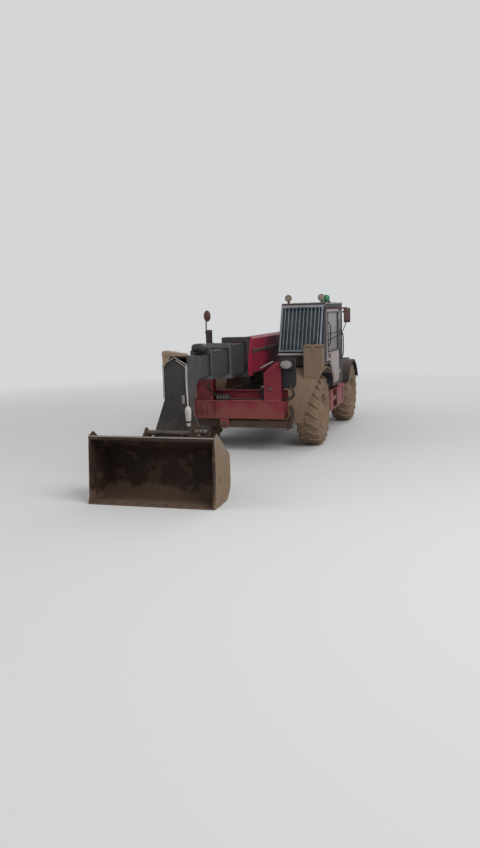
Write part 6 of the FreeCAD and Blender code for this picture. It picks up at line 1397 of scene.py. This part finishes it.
@dataclass
class Fenders:
    """Rolled edges and bolts of the front fenders, and the box on the left one."""

    radius: float = 0.754
    outer: float = 1.27
    foot_outer: float = 0.96
    foot_z: float = 0.48
    slant_z: float = 1.40

    def build(self) -> None:
        """Dress the fenders."""
        left = merged(self._front())
        right = mirrored(left)
        fit_out("front_fender_edge_left", Body.CHASSIS, [left])
        fit_out("front_fender_edge_right", Body.CHASSIS, [right])
        fit_out("fender_box_trim", Body.CHASSIS, self._box())

    def _edge_y(self, height: float) -> float:
        """Outer edge of the front fender at a height."""
        share = min(1.0, max(0.0, (height - self.foot_z) / (self.slant_z - self.foot_z)))
        return self.foot_outer + (self.outer - self.foot_outer) * share

    def _front(self) -> list[bpy.types.Object]:
        """Rolled outer edge, stiffening bead and bolts of the left front fender."""
        edge = []
        bead = []
        for step in range(26):
            turn = -34.5 + 135.0 * step / 25.0
            height = HUB_Z + math.cos(math.radians(turn)) * self.radius
            edge.append(self._over(turn, self._edge_y(height), 0.0))
            bead.append(self._over(turn, self._edge_y(height) - 0.10, 0.006))
        heads = [rod(self._over(turn, 0.60, 0.007), self._over(turn, 0.60, 0.015), 0.013, BRIGHT_STEEL, 6,
                     0.001)
                 for turn in (-25.0, 0.0, 68.0, 88.0)]
        return [pipe(edge, 0.011, FENDER_MUD), pipe(bead, 0.008, FENDER_MUD)] + heads

    def _over(self, turn: float, left: float, rise: float) -> Point:
        """Point over the fender's arc.

        Args:
            turn: Angle from the top, forward, in degrees.
            left: Place to the left.
            rise: Height over the arc.

        Returns:
            The point.
        """
        way, reach = math.radians(turn), self.radius + rise
        return (math.sin(way) * reach, left, HUB_Z + math.cos(way) * reach)

    def _box(self) -> list[bpy.types.Object]:
        """Lid, seam, latch and capped filler tube of the box on the fender."""
        lid = block((0.232, 0.955, 1.762), (0.498, 1.278, 1.786), FENDER_MUD, 0.008)
        seam = block((0.236, 0.957, 1.742), (0.494, 1.274, 1.748), SEAL_RUBBER, 0.002)
        tube = rod((0.40, 1.10, 1.785), (0.40, 1.10, 1.835), 0.024, HEAD_GREY, 20, 0.003)
        cap = lathe([(0.0, 0.030), (0.004, 0.032), (0.018, 0.032), (0.022, 0.026)], (0.40, 1.10, 1.835), Axis.Z,
                    BLACK_PLASTIC, 16)
        latch = block((0.4906, 1.09, 1.70), (0.504, 1.14, 1.775), FENDER_MUD, 0.004)
        return [lid, seam, tube, cap, latch]


@dataclass
class HoodTrim:
    """Seam, latches, rail, ribs and screws of the engine hood."""

    front: float = -0.79
    back: float = -2.26
    outer: float = -1.20
    high: float = 1.715

    def build(self) -> None:
        """Dress the hood."""
        y = self.outer
        seam = block((self.back + 0.02, y - 0.004, 1.02), (self.front - 0.03, y - THIN_GAP, 1.032), SEAL_RUBBER,
                     0.002)
        latch = merged([block((-1.20, y - 0.014, 0.93), (-1.14, y - THIN_GAP, 1.03), BLACK_PLASTIC, 0.006),
                        rod((-1.17, y - 0.020, 0.98), (-1.17, y - 0.012, 0.98), 0.012, BRIGHT_STEEL, 16,
                            0.002)])
        latches = merged([latch, copied(latch, (-0.75, 0.0, 0.0))])
        rail = pipe([(x, y - out, 1.60) for x, out in (
            (-0.95, 0.001), (-0.95, 0.045), (-1.20, 0.045), (-1.45, 0.045), (-1.45, 0.001))], 0.010, CAB_DARK)
        rib = block((self.back + 0.12, y + 0.16, self.high), (self.front - 0.34, y + 0.20, self.high + 0.010),
                    HOOD_DARK, 0.005)
        ribs = row(rib, 4, (0.0, 0.12, 0.0))
        screws = bolts([(x, y - THIN_GAP, 1.66) for x in (-2.2, -1.8, -1.1)], -Axis.Y.unit(), 0.009,
                       BRIGHT_STEEL)
        fit_out("hood_trim", Body.HOOD, [seam, latches, rail, ribs, screws])


@dataclass
class Boom:
    """Mouth frames, wear pad bolts, pipes and edges of the telescopic boom."""

    middle_y: float = BOOM_Y
    middle_z: float = 1.63
    # Body, mouth place, half width and height over the collar, half width and height of the next section
    mouths: tuple = (
        (Body.BOOM_1, 1.13, 0.225, 0.325, 0.173, 0.240),
        (Body.BOOM_2, 1.95, 0.198, 0.275, 0.147, 0.190),
        (Body.BOOM_3, 2.77, 0.172, 0.215, 0.122, 0.155),
    )

    def build(self) -> None:
        """Dress the sections."""
        edges = (DARK_PAINT, EDGE_GREY, EDGE_GREY)
        for number, (mouth, edge) in enumerate(zip(self.mouths, edges)):
            fit_out(f"boom_mouth_{number + 1}", mouth[0], self._mouth(mouth, edge))
        fit_out("boom_1_pipes", Body.BOOM_1, self._pipes())
        fit_out("boom_1_edges", Body.BOOM_1, self._crimson_edges())
        fit_out("boom_3_hump", Body.BOOM_3, self._hump())

    def _mouth(self, mouth: tuple, edge: Finish) -> list[bpy.types.Object]:
        """Frame round one mouth, with the bolts of its wear pads.

        Args:
            mouth: Row of the table of mouths.
            edge: Finish of the frame.

        Returns:
            The frame and its bolts.
        """
        _, front, half_y, half_z, next_y, next_z = mouth
        y, z = self.middle_y, self.middle_z
        out_y, out_z = half_y - 0.002, half_z - 0.002
        gap_y, gap_z = next_y + 0.010, next_z + 0.010
        pieces = [block((front + THIN_GAP, y + right, z + low), (front + 0.010, y + left, z + high), edge,
                        0.004)
                  for right, left, low, high in ((-out_y, out_y, gap_z, out_z), (-out_y, out_y, -out_z, -gap_z),
                                                 (-out_y, -gap_y, -gap_z, gap_z),
                                                 (gap_y, out_y, -gap_z, gap_z))]
        spots = [(front + 0.010, y + side * (out_y + gap_y) / 2.0, z + height * half_z) for side in (-1.0, 1.0)
                 for height in (-0.62, -0.40, 0.40, 0.62)]
        pieces.append(bolts(spots, Axis.X.unit(), 0.006, BOLT_DARK))
        for side in (-1.0, 1.0):
            spots = [(front - place, y + side * half_y, z + height * half_z) for place in (0.03, 0.08)
                     for height in (-0.7, 0.7)]
            pieces.append(bolts(spots, Axis.Y.unit() * side, 0.009, BOLT_DARK))
        spots = [(front - place, y + across * half_y, z + half_z) for place in (0.03, 0.08)
                 for across in (-0.6, 0.6)]
        pieces.append(bolts(spots, Axis.Z.unit(), 0.009, BOLT_DARK))
        return pieces

    def _pipes(self) -> list[bpy.types.Object]:
        """Two hard pipes along each side of the outer section, held by clamps."""
        pieces = []
        for side in (-1.0, 1.0):
            face = self.middle_y + side * 0.20
            for level in (1.70, 1.735):
                pieces.append(rod((-3.35, face + side * 0.016, level), (0.86, face + side * 0.016, level),
                                  0.009, CYLINDER_PAINT, 12))
            low, high = sorted((face + side * THIN_GAP, face + side * 0.030))
            clamp = block((-3.20, low, 1.675), (-3.15, high, 1.760), BLACK_PLASTIC, 0.004)
            pieces.append(row(clamp, 6, (0.78, 0.0, 0.0)))
        return pieces

    def _crimson_edges(self) -> list[bpy.types.Object]:
        """Curved crimson cheeks on both sides of the front collar, over a dark band round it."""
        outline = [(0.900, 1.950), (0.985, 1.950), (1.020, 1.900), (1.045, 1.830), (1.080, 1.740),
                   (1.120, 1.650),
                   (1.148, 1.560), (1.158, 1.480), (1.150, 1.400), (1.128, 1.310), (0.900, 1.310)]
        y = self.middle_y
        pieces = [block((0.908, y - 0.226, 1.9554), (1.132, y + 0.226, 1.961), DARK_PAINT, 0.002)]
        for side in (-1.0, 1.0):
            near, band, far = (y + side * out for out in (0.2254, 0.229, 0.238))
            pieces.append(plate(outline, Axis.Y, (min(band, far), max(band, far)), EDGE_RED, 0.004))
            pieces.append(block((0.912, min(near, band), 1.308), (1.130, max(near, band), 1.957), DARK_PAINT,
                                0.001))
        return pieces

    def _hump(self) -> list[bpy.types.Object]:
        """Rounded dark roller guard ahead of the third section's mouth, over the inner section."""
        y = self.middle_y
        hump = block((2.782, y - 0.070, 1.8280), (3.035, y + 0.122, 1.948), DARK_PAINT, 0.052)
        strap = block((2.776, y - 0.082, 1.7904), (2.808, y + 0.134, 1.880), HEAD_GREY, 0.004)
        return [hump, strap]


@dataclass
class Head:
    """Edges, top bar, slot, canister and pipes of the boom head."""

    front: float = 3.83
    middle_y: float = BOOM_Y
    apex: float = 1.82
    shoulder: float = 1.71
    half: float = 0.174

    def build(self) -> None:
        """Dress the head."""
        x, y = self.front + 0.002, self.middle_y
        slot = block((x - 0.001, 0.028, 1.185), (x + 0.004, 0.068, 1.300), EDGE_PALE, 0.004)
        spots = [(x, y + across, level) for across in (-0.13, 0.13) for level in (1.32, 1.45, 1.58)]
        heads = bolts(spots, Axis.X.unit(), 0.007, BOLT_DARK)
        fit_out("head_trim", Body.BOOM_4, self._edges(x, y) + self._bar() + [slot] + self._canister() + [heads])

    def _edges(self, x: float, y: float) -> list[bpy.types.Object]:
        """Pale lines along the edges of the front plate and a second one under its left slope: painted
        highlights on dusty edges; the right upright edge keeps the head's grey.

        Args:
            x: Place of the edges ahead.
            y: Middle of the boom.

        Returns:
            The edges.
        """
        half, apex, shoulder, foot = self.half, self.apex - 0.006, self.shoulder, 1.25
        return [rod((x, y + start, high), (x, y + end, low), radius, finish, 8, 0.001)
                for start, high, end, low, radius, finish in (
                    (0.0, apex, -half, shoulder, 0.007, EDGE_PALE),
                    (0.0, apex, half, shoulder, 0.007, EDGE_PALE),
                    (0.02, apex - 0.039, half - 0.01, shoulder - 0.035, 0.006, EDGE_PALE),
                    (half, shoulder, half, foot, 0.006, EDGE_PALE),
                    (-half, shoulder, -half, foot, 0.005, HEAD_GREY))]

    def _bar(self) -> list[bpy.types.Object]:
        """Sloping bar caked with mud on top of the head, and the mud under its right end."""
        slope = [(-0.236, 1.824), (0.094, 1.824), (0.098, 1.846), (0.060, 1.862), (-0.020, 1.868),
                 (-0.070, 1.884), (-0.150, 1.890), (-0.200, 1.902), (-0.232, 1.896), (-0.242, 1.860)]
        smear = [(-0.232, 1.823), (-0.232, 1.700), (-0.205, 1.690), (-0.175, 1.745), (-0.125, 1.800),
                 (-0.110, 1.823)]
        return [plate(slope, Axis.X, (3.700, self.front + 0.012), MUDDY_STEEL, 0.009),
                plate(smear, Axis.X, (self.front + THIN_GAP, self.front + 0.010), MUDDY_STEEL, 0.004)]

    def _canister(self) -> list[bpy.types.Object]:
        """Pale canister clamped to the front plate, with the hose that comes down to it."""
        x, y = 3.882, 0.128
        levels = (0.94, 1.06)
        canister = lathe([(0.0, 0.020), (0.008, 0.027), (0.080, 0.035), (0.190, 0.043), (0.235, 0.042),
                          (0.258, 0.030), (0.275, 0.010)], (x, y, 0.885), Axis.Z, CANISTER_PALE, 28)
        collars = [rod((x, y, level), (x, y, level + 0.022), 0.042, CAB_DARK, 24, 0.003) for level in levels]
        stays = [block((self.front + THIN_GAP, y - 0.028, level), (x - 0.012, y + 0.028, level + 0.022),
                       CAB_DARK, 0.003)
                 for level in levels]
        hose = pipe([(3.838, 0.100, 1.70), (3.840, 0.104, 1.64), (3.842, 0.100, 1.54), (3.846, 0.104, 1.42),
                     (3.856, 0.112, 1.30), (x, y, 1.22), (x, y, 1.155)], 0.008, CANISTER_PALE)
        return [canister] + collars + stays + [hose]


@dataclass
class BucketTrim:
    """Cutting edge bolts, welds, wear strips and ribs of the bucket, and the couplers of its carrier."""

    back: float = 4.16
    left: float = 0.79
    right: float = -0.91

    def build(self) -> None:
        """Dress the bucket and its carrier."""
        fit_out("bucket_trim", Body.BUCKET, self._edge() + self._cheeks() + self._welds() + self._ribs())
        fit_out("carrier_trim", Body.BUCKET, self._couplers())

    def _edge(self) -> list[bpy.types.Object]:
        """Bolts along the cutting edge and the side cutters."""
        places = [(4.765, self.right + 0.10 + step * 0.1875, 0.026) for step in range(9)]
        heads = bolts(places, Axis.Z.unit(), 0.014, BRIGHT_STEEL)
        outline = [(4.55, 0.006), (4.845, 0.006), (4.835, 0.05), (4.76, 0.20), (4.70, 0.20), (4.55, 0.10)]
        cutters = [plate(outline, Axis.Y, (low, low + 0.0095), BUCKET_DUSTY, 0.003)
                   for low in (self.right - 0.013, self.left + 0.0035)]
        strips = [block((4.30, y, 0.30), (4.62, y + 0.008, 0.36), BUCKET_DUSTY, 0.003)
                  for y in (self.right - 0.0115, self.left + 0.0035)]
        return [heads] + cutters + strips

    def _cheeks(self) -> list[bpy.types.Object]:
        """Scraped dusty outer faces of the side plates."""
        outline = [(4.40, 0.006), (4.822, 0.006), (4.790, 0.16), (4.760, 0.29), (4.744, 0.43), (4.741, 0.57),
                   (4.750, 0.70), (4.764, 0.836), (4.764, 0.876), (4.650, 0.919), (4.410, 0.754),
                   (4.290, 0.660),
                   (4.200, 0.610), (4.168, 0.560), (4.164, 0.260), (4.190, 0.150), (4.260, 0.060),
                   (4.330, 0.020)]
        return [plate(outline, Axis.Y, (low, low + 0.0027), BUCKET_DUSTY, 0.001)
                for low in (self.right - 0.003, self.left + 0.0003)]

    def _welds(self) -> list[bpy.types.Object]:
        """Weld seams where the side plates meet the shell and the top bar."""
        inner = (self.right + 0.018, self.left - 0.018)
        seams = [rod((4.42, y, 0.016), (4.70, y, 0.020), 0.007, HEAD_GREY, 8, 0.002) for y in inner]
        bar = rod((4.748, inner[0], 0.838), (4.748, inner[1], 0.838), 0.006, HEAD_GREY, 8, 0.001)
        lip = block((4.758, self.right + 0.004, 0.872), (4.776, self.left - 0.004, 0.8835), EDGE_PALE, 0.004)
        return seams + [bar, lip]

    def _ribs(self) -> list[bpy.types.Object]:
        """Upright stiffening ribs on the back."""
        rib = block((self.back - 0.030, -0.80, 0.27), (self.back + 0.002, -0.776, 0.585), BUCKET_SHADE_STEEL, 0.004)
        return [rib] + [copied(rib, (0.0, across, 0.0)) for across in (1.456, 0.24, 1.216)]

    def _couplers(self) -> list[bpy.types.Object]:
        """Hydraulic couplers on a plate on the left of the carrier, with its stay."""
        plate_piece = block((3.975, 0.262, 0.775), (3.990, 0.470, 0.905), HEAD_GREY, 0.004)
        body = rod((3.990, 0.300, 0.850), (4.055, 0.300, 0.850), 0.020, BRIGHT_STEEL, 20, 0.003)
        cap = rod((4.055, 0.300, 0.850), (4.085, 0.300, 0.850), 0.024, BUCKET_DUSTY, 20, 0.004)
        first = merged([body, cap])
        others = [copied(first, (0.0, across, rise))
                  for across, rise in ((0.06, 0.0), (0.12, 0.0), (0.03, -0.05))]
        stay = block((3.955, 0.249, 0.795), (3.985, 0.275, 0.855), HEAD_GREY, 0.004)
        return [plate_piece, first, stay] + others


@dataclass
class Stabilizers:
    """Flanges, gussets, valves, pipes and pins of the stabilizer beam and its towers."""

    back: float = 0.78
    front: float = 1.08
    middle_y: float = BOOM_Y

    def build(self) -> None:
        """Dress the beam."""
        fit_out("stabilizer_beam_trim", Body.CHASSIS, self._plates() + self._pins())
        fit_out("stabilizer_valves", Body.CHASSIS, self._valves())

    def _gusset(self, y: float, wide: float) -> bpy.types.Object:
        """Triangular gusset on the front face."""
        outline = [(self.front, 0.655), (self.front + wide, 0.655), (self.front, 0.865)]
        return plate(outline, Axis.Y, (y - 0.008, y + 0.008), BEAM_RED, 0.003)

    def _plates(self) -> list[bpy.types.Object]:
        """Flanges, gussets, rib, and two pale rods that are painted highlights along the towers' slanted edges.
        """
        step = block((self.back - 0.002, -0.46, 1.045), (self.back + 0.085, 0.315, 1.060), BEAM_RED, 0.004)
        # Top flange edge in pale pink: a painted highlight.
        ledge = block((self.front - 0.016, -0.80, 0.8904), (self.front + 0.012, 0.68, 0.902), FLANGE_HIGHLIGHT_PINK, 0.004)
        foot = block((self.front - 0.02, -0.85, 0.592), (self.front + 0.012, 0.73, 0.604), BEAM_RED, 0.004)
        rib = block((self.front - 0.002, -0.490, 0.640), (self.front + 0.030, -0.474, 0.890), BEAM_RED, 0.003)
        gussets = [self._gusset(y, 0.045) for y in (-0.81, -0.72, -0.62)]
        # Pale rods along the towers' slanted edges: painted highlights.
        tower_edge_highlights = [rod((self.front + 0.010, self.middle_y + side * 0.42, 1.445),
                      (self.front + 0.010, self.middle_y + side * 0.64, 1.555), 0.012, EDGE_PALE, 10, 0.002)
                  for side in (-1.0, 1.0)]
        return [step, ledge, foot, rib] + gussets + tower_edge_highlights

    def _pins(self) -> list[bpy.types.Object]:
        """Caps and keepers of the leg pins."""
        first, second, third = (self.front + ahead for ahead in (0.012, 0.030, 0.042))
        pieces = []
        for y in (self.middle_y - 0.24, self.middle_y + 0.24):
            pieces.append(rod((first, y, 0.50), (second, y, 0.50), 0.040, LEG_MUD, 24, 0.004))
            pieces.append(rod((second, y, 0.50), (third, y, 0.50), 0.016, BOLT_DARK, 6, 0.002))
        return pieces

    def _valves(self) -> list[bpy.types.Object]:
        """Valve blocks on the beam with pipes along it, and the pale-topped box."""
        valve = block((0.86, -0.46, 0.8906), (0.98, -0.24, 0.985), CYLINDER_PAINT, 0.006)
        spool = rod((0.98, -0.43, 0.94), (1.015, -0.43, 0.94), 0.018, BRIGHT_STEEL, 16, 0.002)
        spools = row(spool, 4, (0.0, 0.055, 0.0))
        box_piece = block((0.84, 0.325, 0.8906), (0.946, 0.445, 1.105), CAB_DARK, 0.008)
        lid = block((0.836, 0.321, 1.105), (0.950, 0.449, 1.130), EDGE_PALE, 0.008)
        line = pipe([(1.00, -0.25, 0.93), (1.03, -0.18, 0.925), (1.03, 0.05, 0.915), (1.03, 0.30, 0.915),
                     (1.02, 0.42, 0.92), (1.01, 0.50, 0.96), (1.01, 0.52, 1.10)], 0.011, HOSE_RUBBER)
        other = pipe([(0.92, -0.46, 0.94), (0.92, -0.50, 0.96), (1.00, -0.52, 1.02), (1.085, -0.54, 1.10),
                      (1.095, -0.56, 1.22), (1.095, -0.60, 1.34)], 0.012, HOSE_RUBBER)
        third = pipe([(0.90, -0.46, 0.96), (0.92, -0.51, 1.00), (1.02, -0.55, 1.06), (1.09, -0.62, 1.14),
                      (1.095, -0.66, 1.26), (1.095, -0.68, 1.36)], 0.012, HOSE_RUBBER)
        fittings = bolts([(self.front, y, z) for y, z in ((-0.60, 1.345), (-0.68, 1.365), (0.52, 1.10))],
                         Axis.X.unit(), 0.018, BRIGHT_STEEL)
        return [valve, spools, box_piece, lid, line, other, third, fittings]


@dataclass
class TankTrim:
    """Straps, filler cap, drain plug and tread plate of the side tank and its step."""

    inner: float = 0.52
    outer: float = 1.17
    low: float = 0.46
    high: float = 0.87

    def build(self) -> None:
        """Dress the tank."""
        straps = []
        for x in (-2.10, -1.45):
            end = x + 0.05
            straps.append(block((x, self.outer + THIN_GAP, self.low + 0.05),
                                (end, self.outer + 0.006, self.high - 0.05), CAB_DARK, 0.002))
            straps.append(block((x, self.inner + 0.05, self.low - 0.006),
                                (end, self.outer - 0.05, self.low - THIN_GAP), CAB_DARK, 0.002))
        cap = lathe([(0.0, 0.055), (0.006, 0.058), (0.012, 0.046), (0.030, 0.046), (0.034, 0.050),
                     (0.052, 0.048), (0.056, 0.038)], (-2.02, 0.85, self.high), Axis.Z, BLACK_PLASTIC, 24)
        tread = block((-1.22, self.outer - 0.105, 0.6004), (-0.86, self.outer - 0.010, 0.606), HEAD_GREY, 0.002)
        plug = rod((-1.80, 0.85, self.low - 0.012), (-1.80, 0.85, self.low + 0.002), 0.018, BRIGHT_STEEL, 6,
                   0.002)
        fit_out("tank_trim", Body.CHASSIS, straps + [cap, tread, plug])


@dataclass
class RearTrim:
    """Tow jaw, lifting eyes and bolts of the counterweight, axle covers and lift cylinder fittings."""

    face: float = -4.22

    def build(self) -> None:
        """Dress the rear and the axles."""
        fit_out("counterweight_trim", Body.CHASSIS, self._weight())
        fit_out("axle_trim", Body.CHASSIS, self._axles())
        fit_out("lift_cylinder_trim", Body.LIFT_BARREL, self._lift())

    def _weight(self) -> list[bpy.types.Object]:
        """Tow jaw with its pin, lifting eyes and bolts."""
        x = self.face - 0.035
        jaw = [block((self.face - 0.060, -0.07, z), (self.face + 0.002, 0.07, z + 0.024), WEIGHT_IRON, 0.005)
               for z in (0.70, 0.80)]
        pin = rod((x, 0.0, 0.67), (x, 0.0, 0.90), 0.014, BRIGHT_STEEL, 16, 0.003)
        loop = pipe([(x, 0.0, 0.895), (x, 0.03, 0.93), (x, 0.0, 0.96), (x, -0.03, 0.93), (x, -0.002, 0.895)],
                    0.005, BRIGHT_STEEL)
        heads = bolts([(self.face, y, z) for y in (-0.36, -0.24, 0.24, 0.36) for z in (0.76, 1.16)],
                      -Axis.X.unit(), 0.018, BRIGHT_STEEL)
        eye = pipe([(-4.11, 0.55, 1.258), (-4.11, 0.55, 1.32), (-4.11, 0.60, 1.335), (-4.11, 0.65, 1.32),
                    (-4.11, 0.65, 1.258)], 0.011, WEIGHT_IRON)
        return jaw + [pin, loop, heads, eye, copied(eye, (0.0, -1.2, 0.0))]

    def _axles(self) -> list[bpy.types.Object]:
        """Bolted covers on the middle of both axles."""
        low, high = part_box("front_axle")
        reach = (high[0] - low[0]) / 2.0
        profile = [(reach - 0.004, 0.105), (reach + 0.010, 0.100), (reach + 0.014, 0.080),
                   (reach + 0.014, 0.010)]
        pieces = []
        for place in (0.0, -WHEELBASE):
            centre = Vector((place, 0.0, HUB_Z))
            cover = lathe(profile, tuple(centre), Axis.X, FRAME_BLACK, 32)
            spot = centre + Vector((reach + 0.008, 0.0, 0.090))
            head = rod(spot, spot + Axis.X.unit() * 0.014, 0.009, BRIGHT_STEEL, 6, 0.001)
            pieces += [cover, circle_of(head, 10, tuple(centre), Axis.X)]
        return pieces

    def _lift(self) -> list[bpy.types.Object]:
        """Gland, weld ring and hard pipe of the lift cylinder."""
        foot = Vector((-3.35, BOOM_Y, 0.96))
        way = (Vector((-2.047, BOOM_Y, 1.226)) - foot).normalized()
        side = Vector((0.0, 0.0, 1.0)).cross(way).normalized()
        up = way.cross(side)
        gland = rod(foot + way * 1.27, foot + way * 1.334, 0.092, CYLINDER_PAINT, 32, 0.006)
        ring = rod(foot + way * 0.10, foot + way * 0.13, 0.090, CYLINDER_PAINT, 32, 0.006)
        start = foot + up * 0.098
        line = rod(start + way * 0.20, start + way * 1.22, 0.008, CYLINDER_PAINT, 12)
        clamps = [rod(start + way * place, start + way * (place + 0.02), 0.015, BRIGHT_STEEL, 12, 0.002)
                  for place in (0.22, 0.70, 1.19)]
        blocks = [rod(foot + up * 0.07 + way * place, foot + up * 0.110 + way * place, 0.016, CYLINDER_PAINT, 6,
                      0.002) for place in (0.21, 1.21)]
        return [gland, ring, line] + clamps + blocks


def main() -> None:
    """Build the studio and every sub-assembly."""
    logging.basicConfig(level=logging.INFO)
    dress_nodes(frame["nodes"])
    Studio().build()
    for number, make in enumerate(ASSEMBLIES):
        make().build()
        log.info("sub-assembly %d: %s", number + 1, make.__name__)


ASSEMBLIES = (Wheels, Lamps, CabOutside, CabInside, Mirrors, Fenders, HoodTrim, Boom, Head, BucketTrim,
              Stabilizers, TankTrim, RearTrim)

if __name__ == "__main__":
    main()
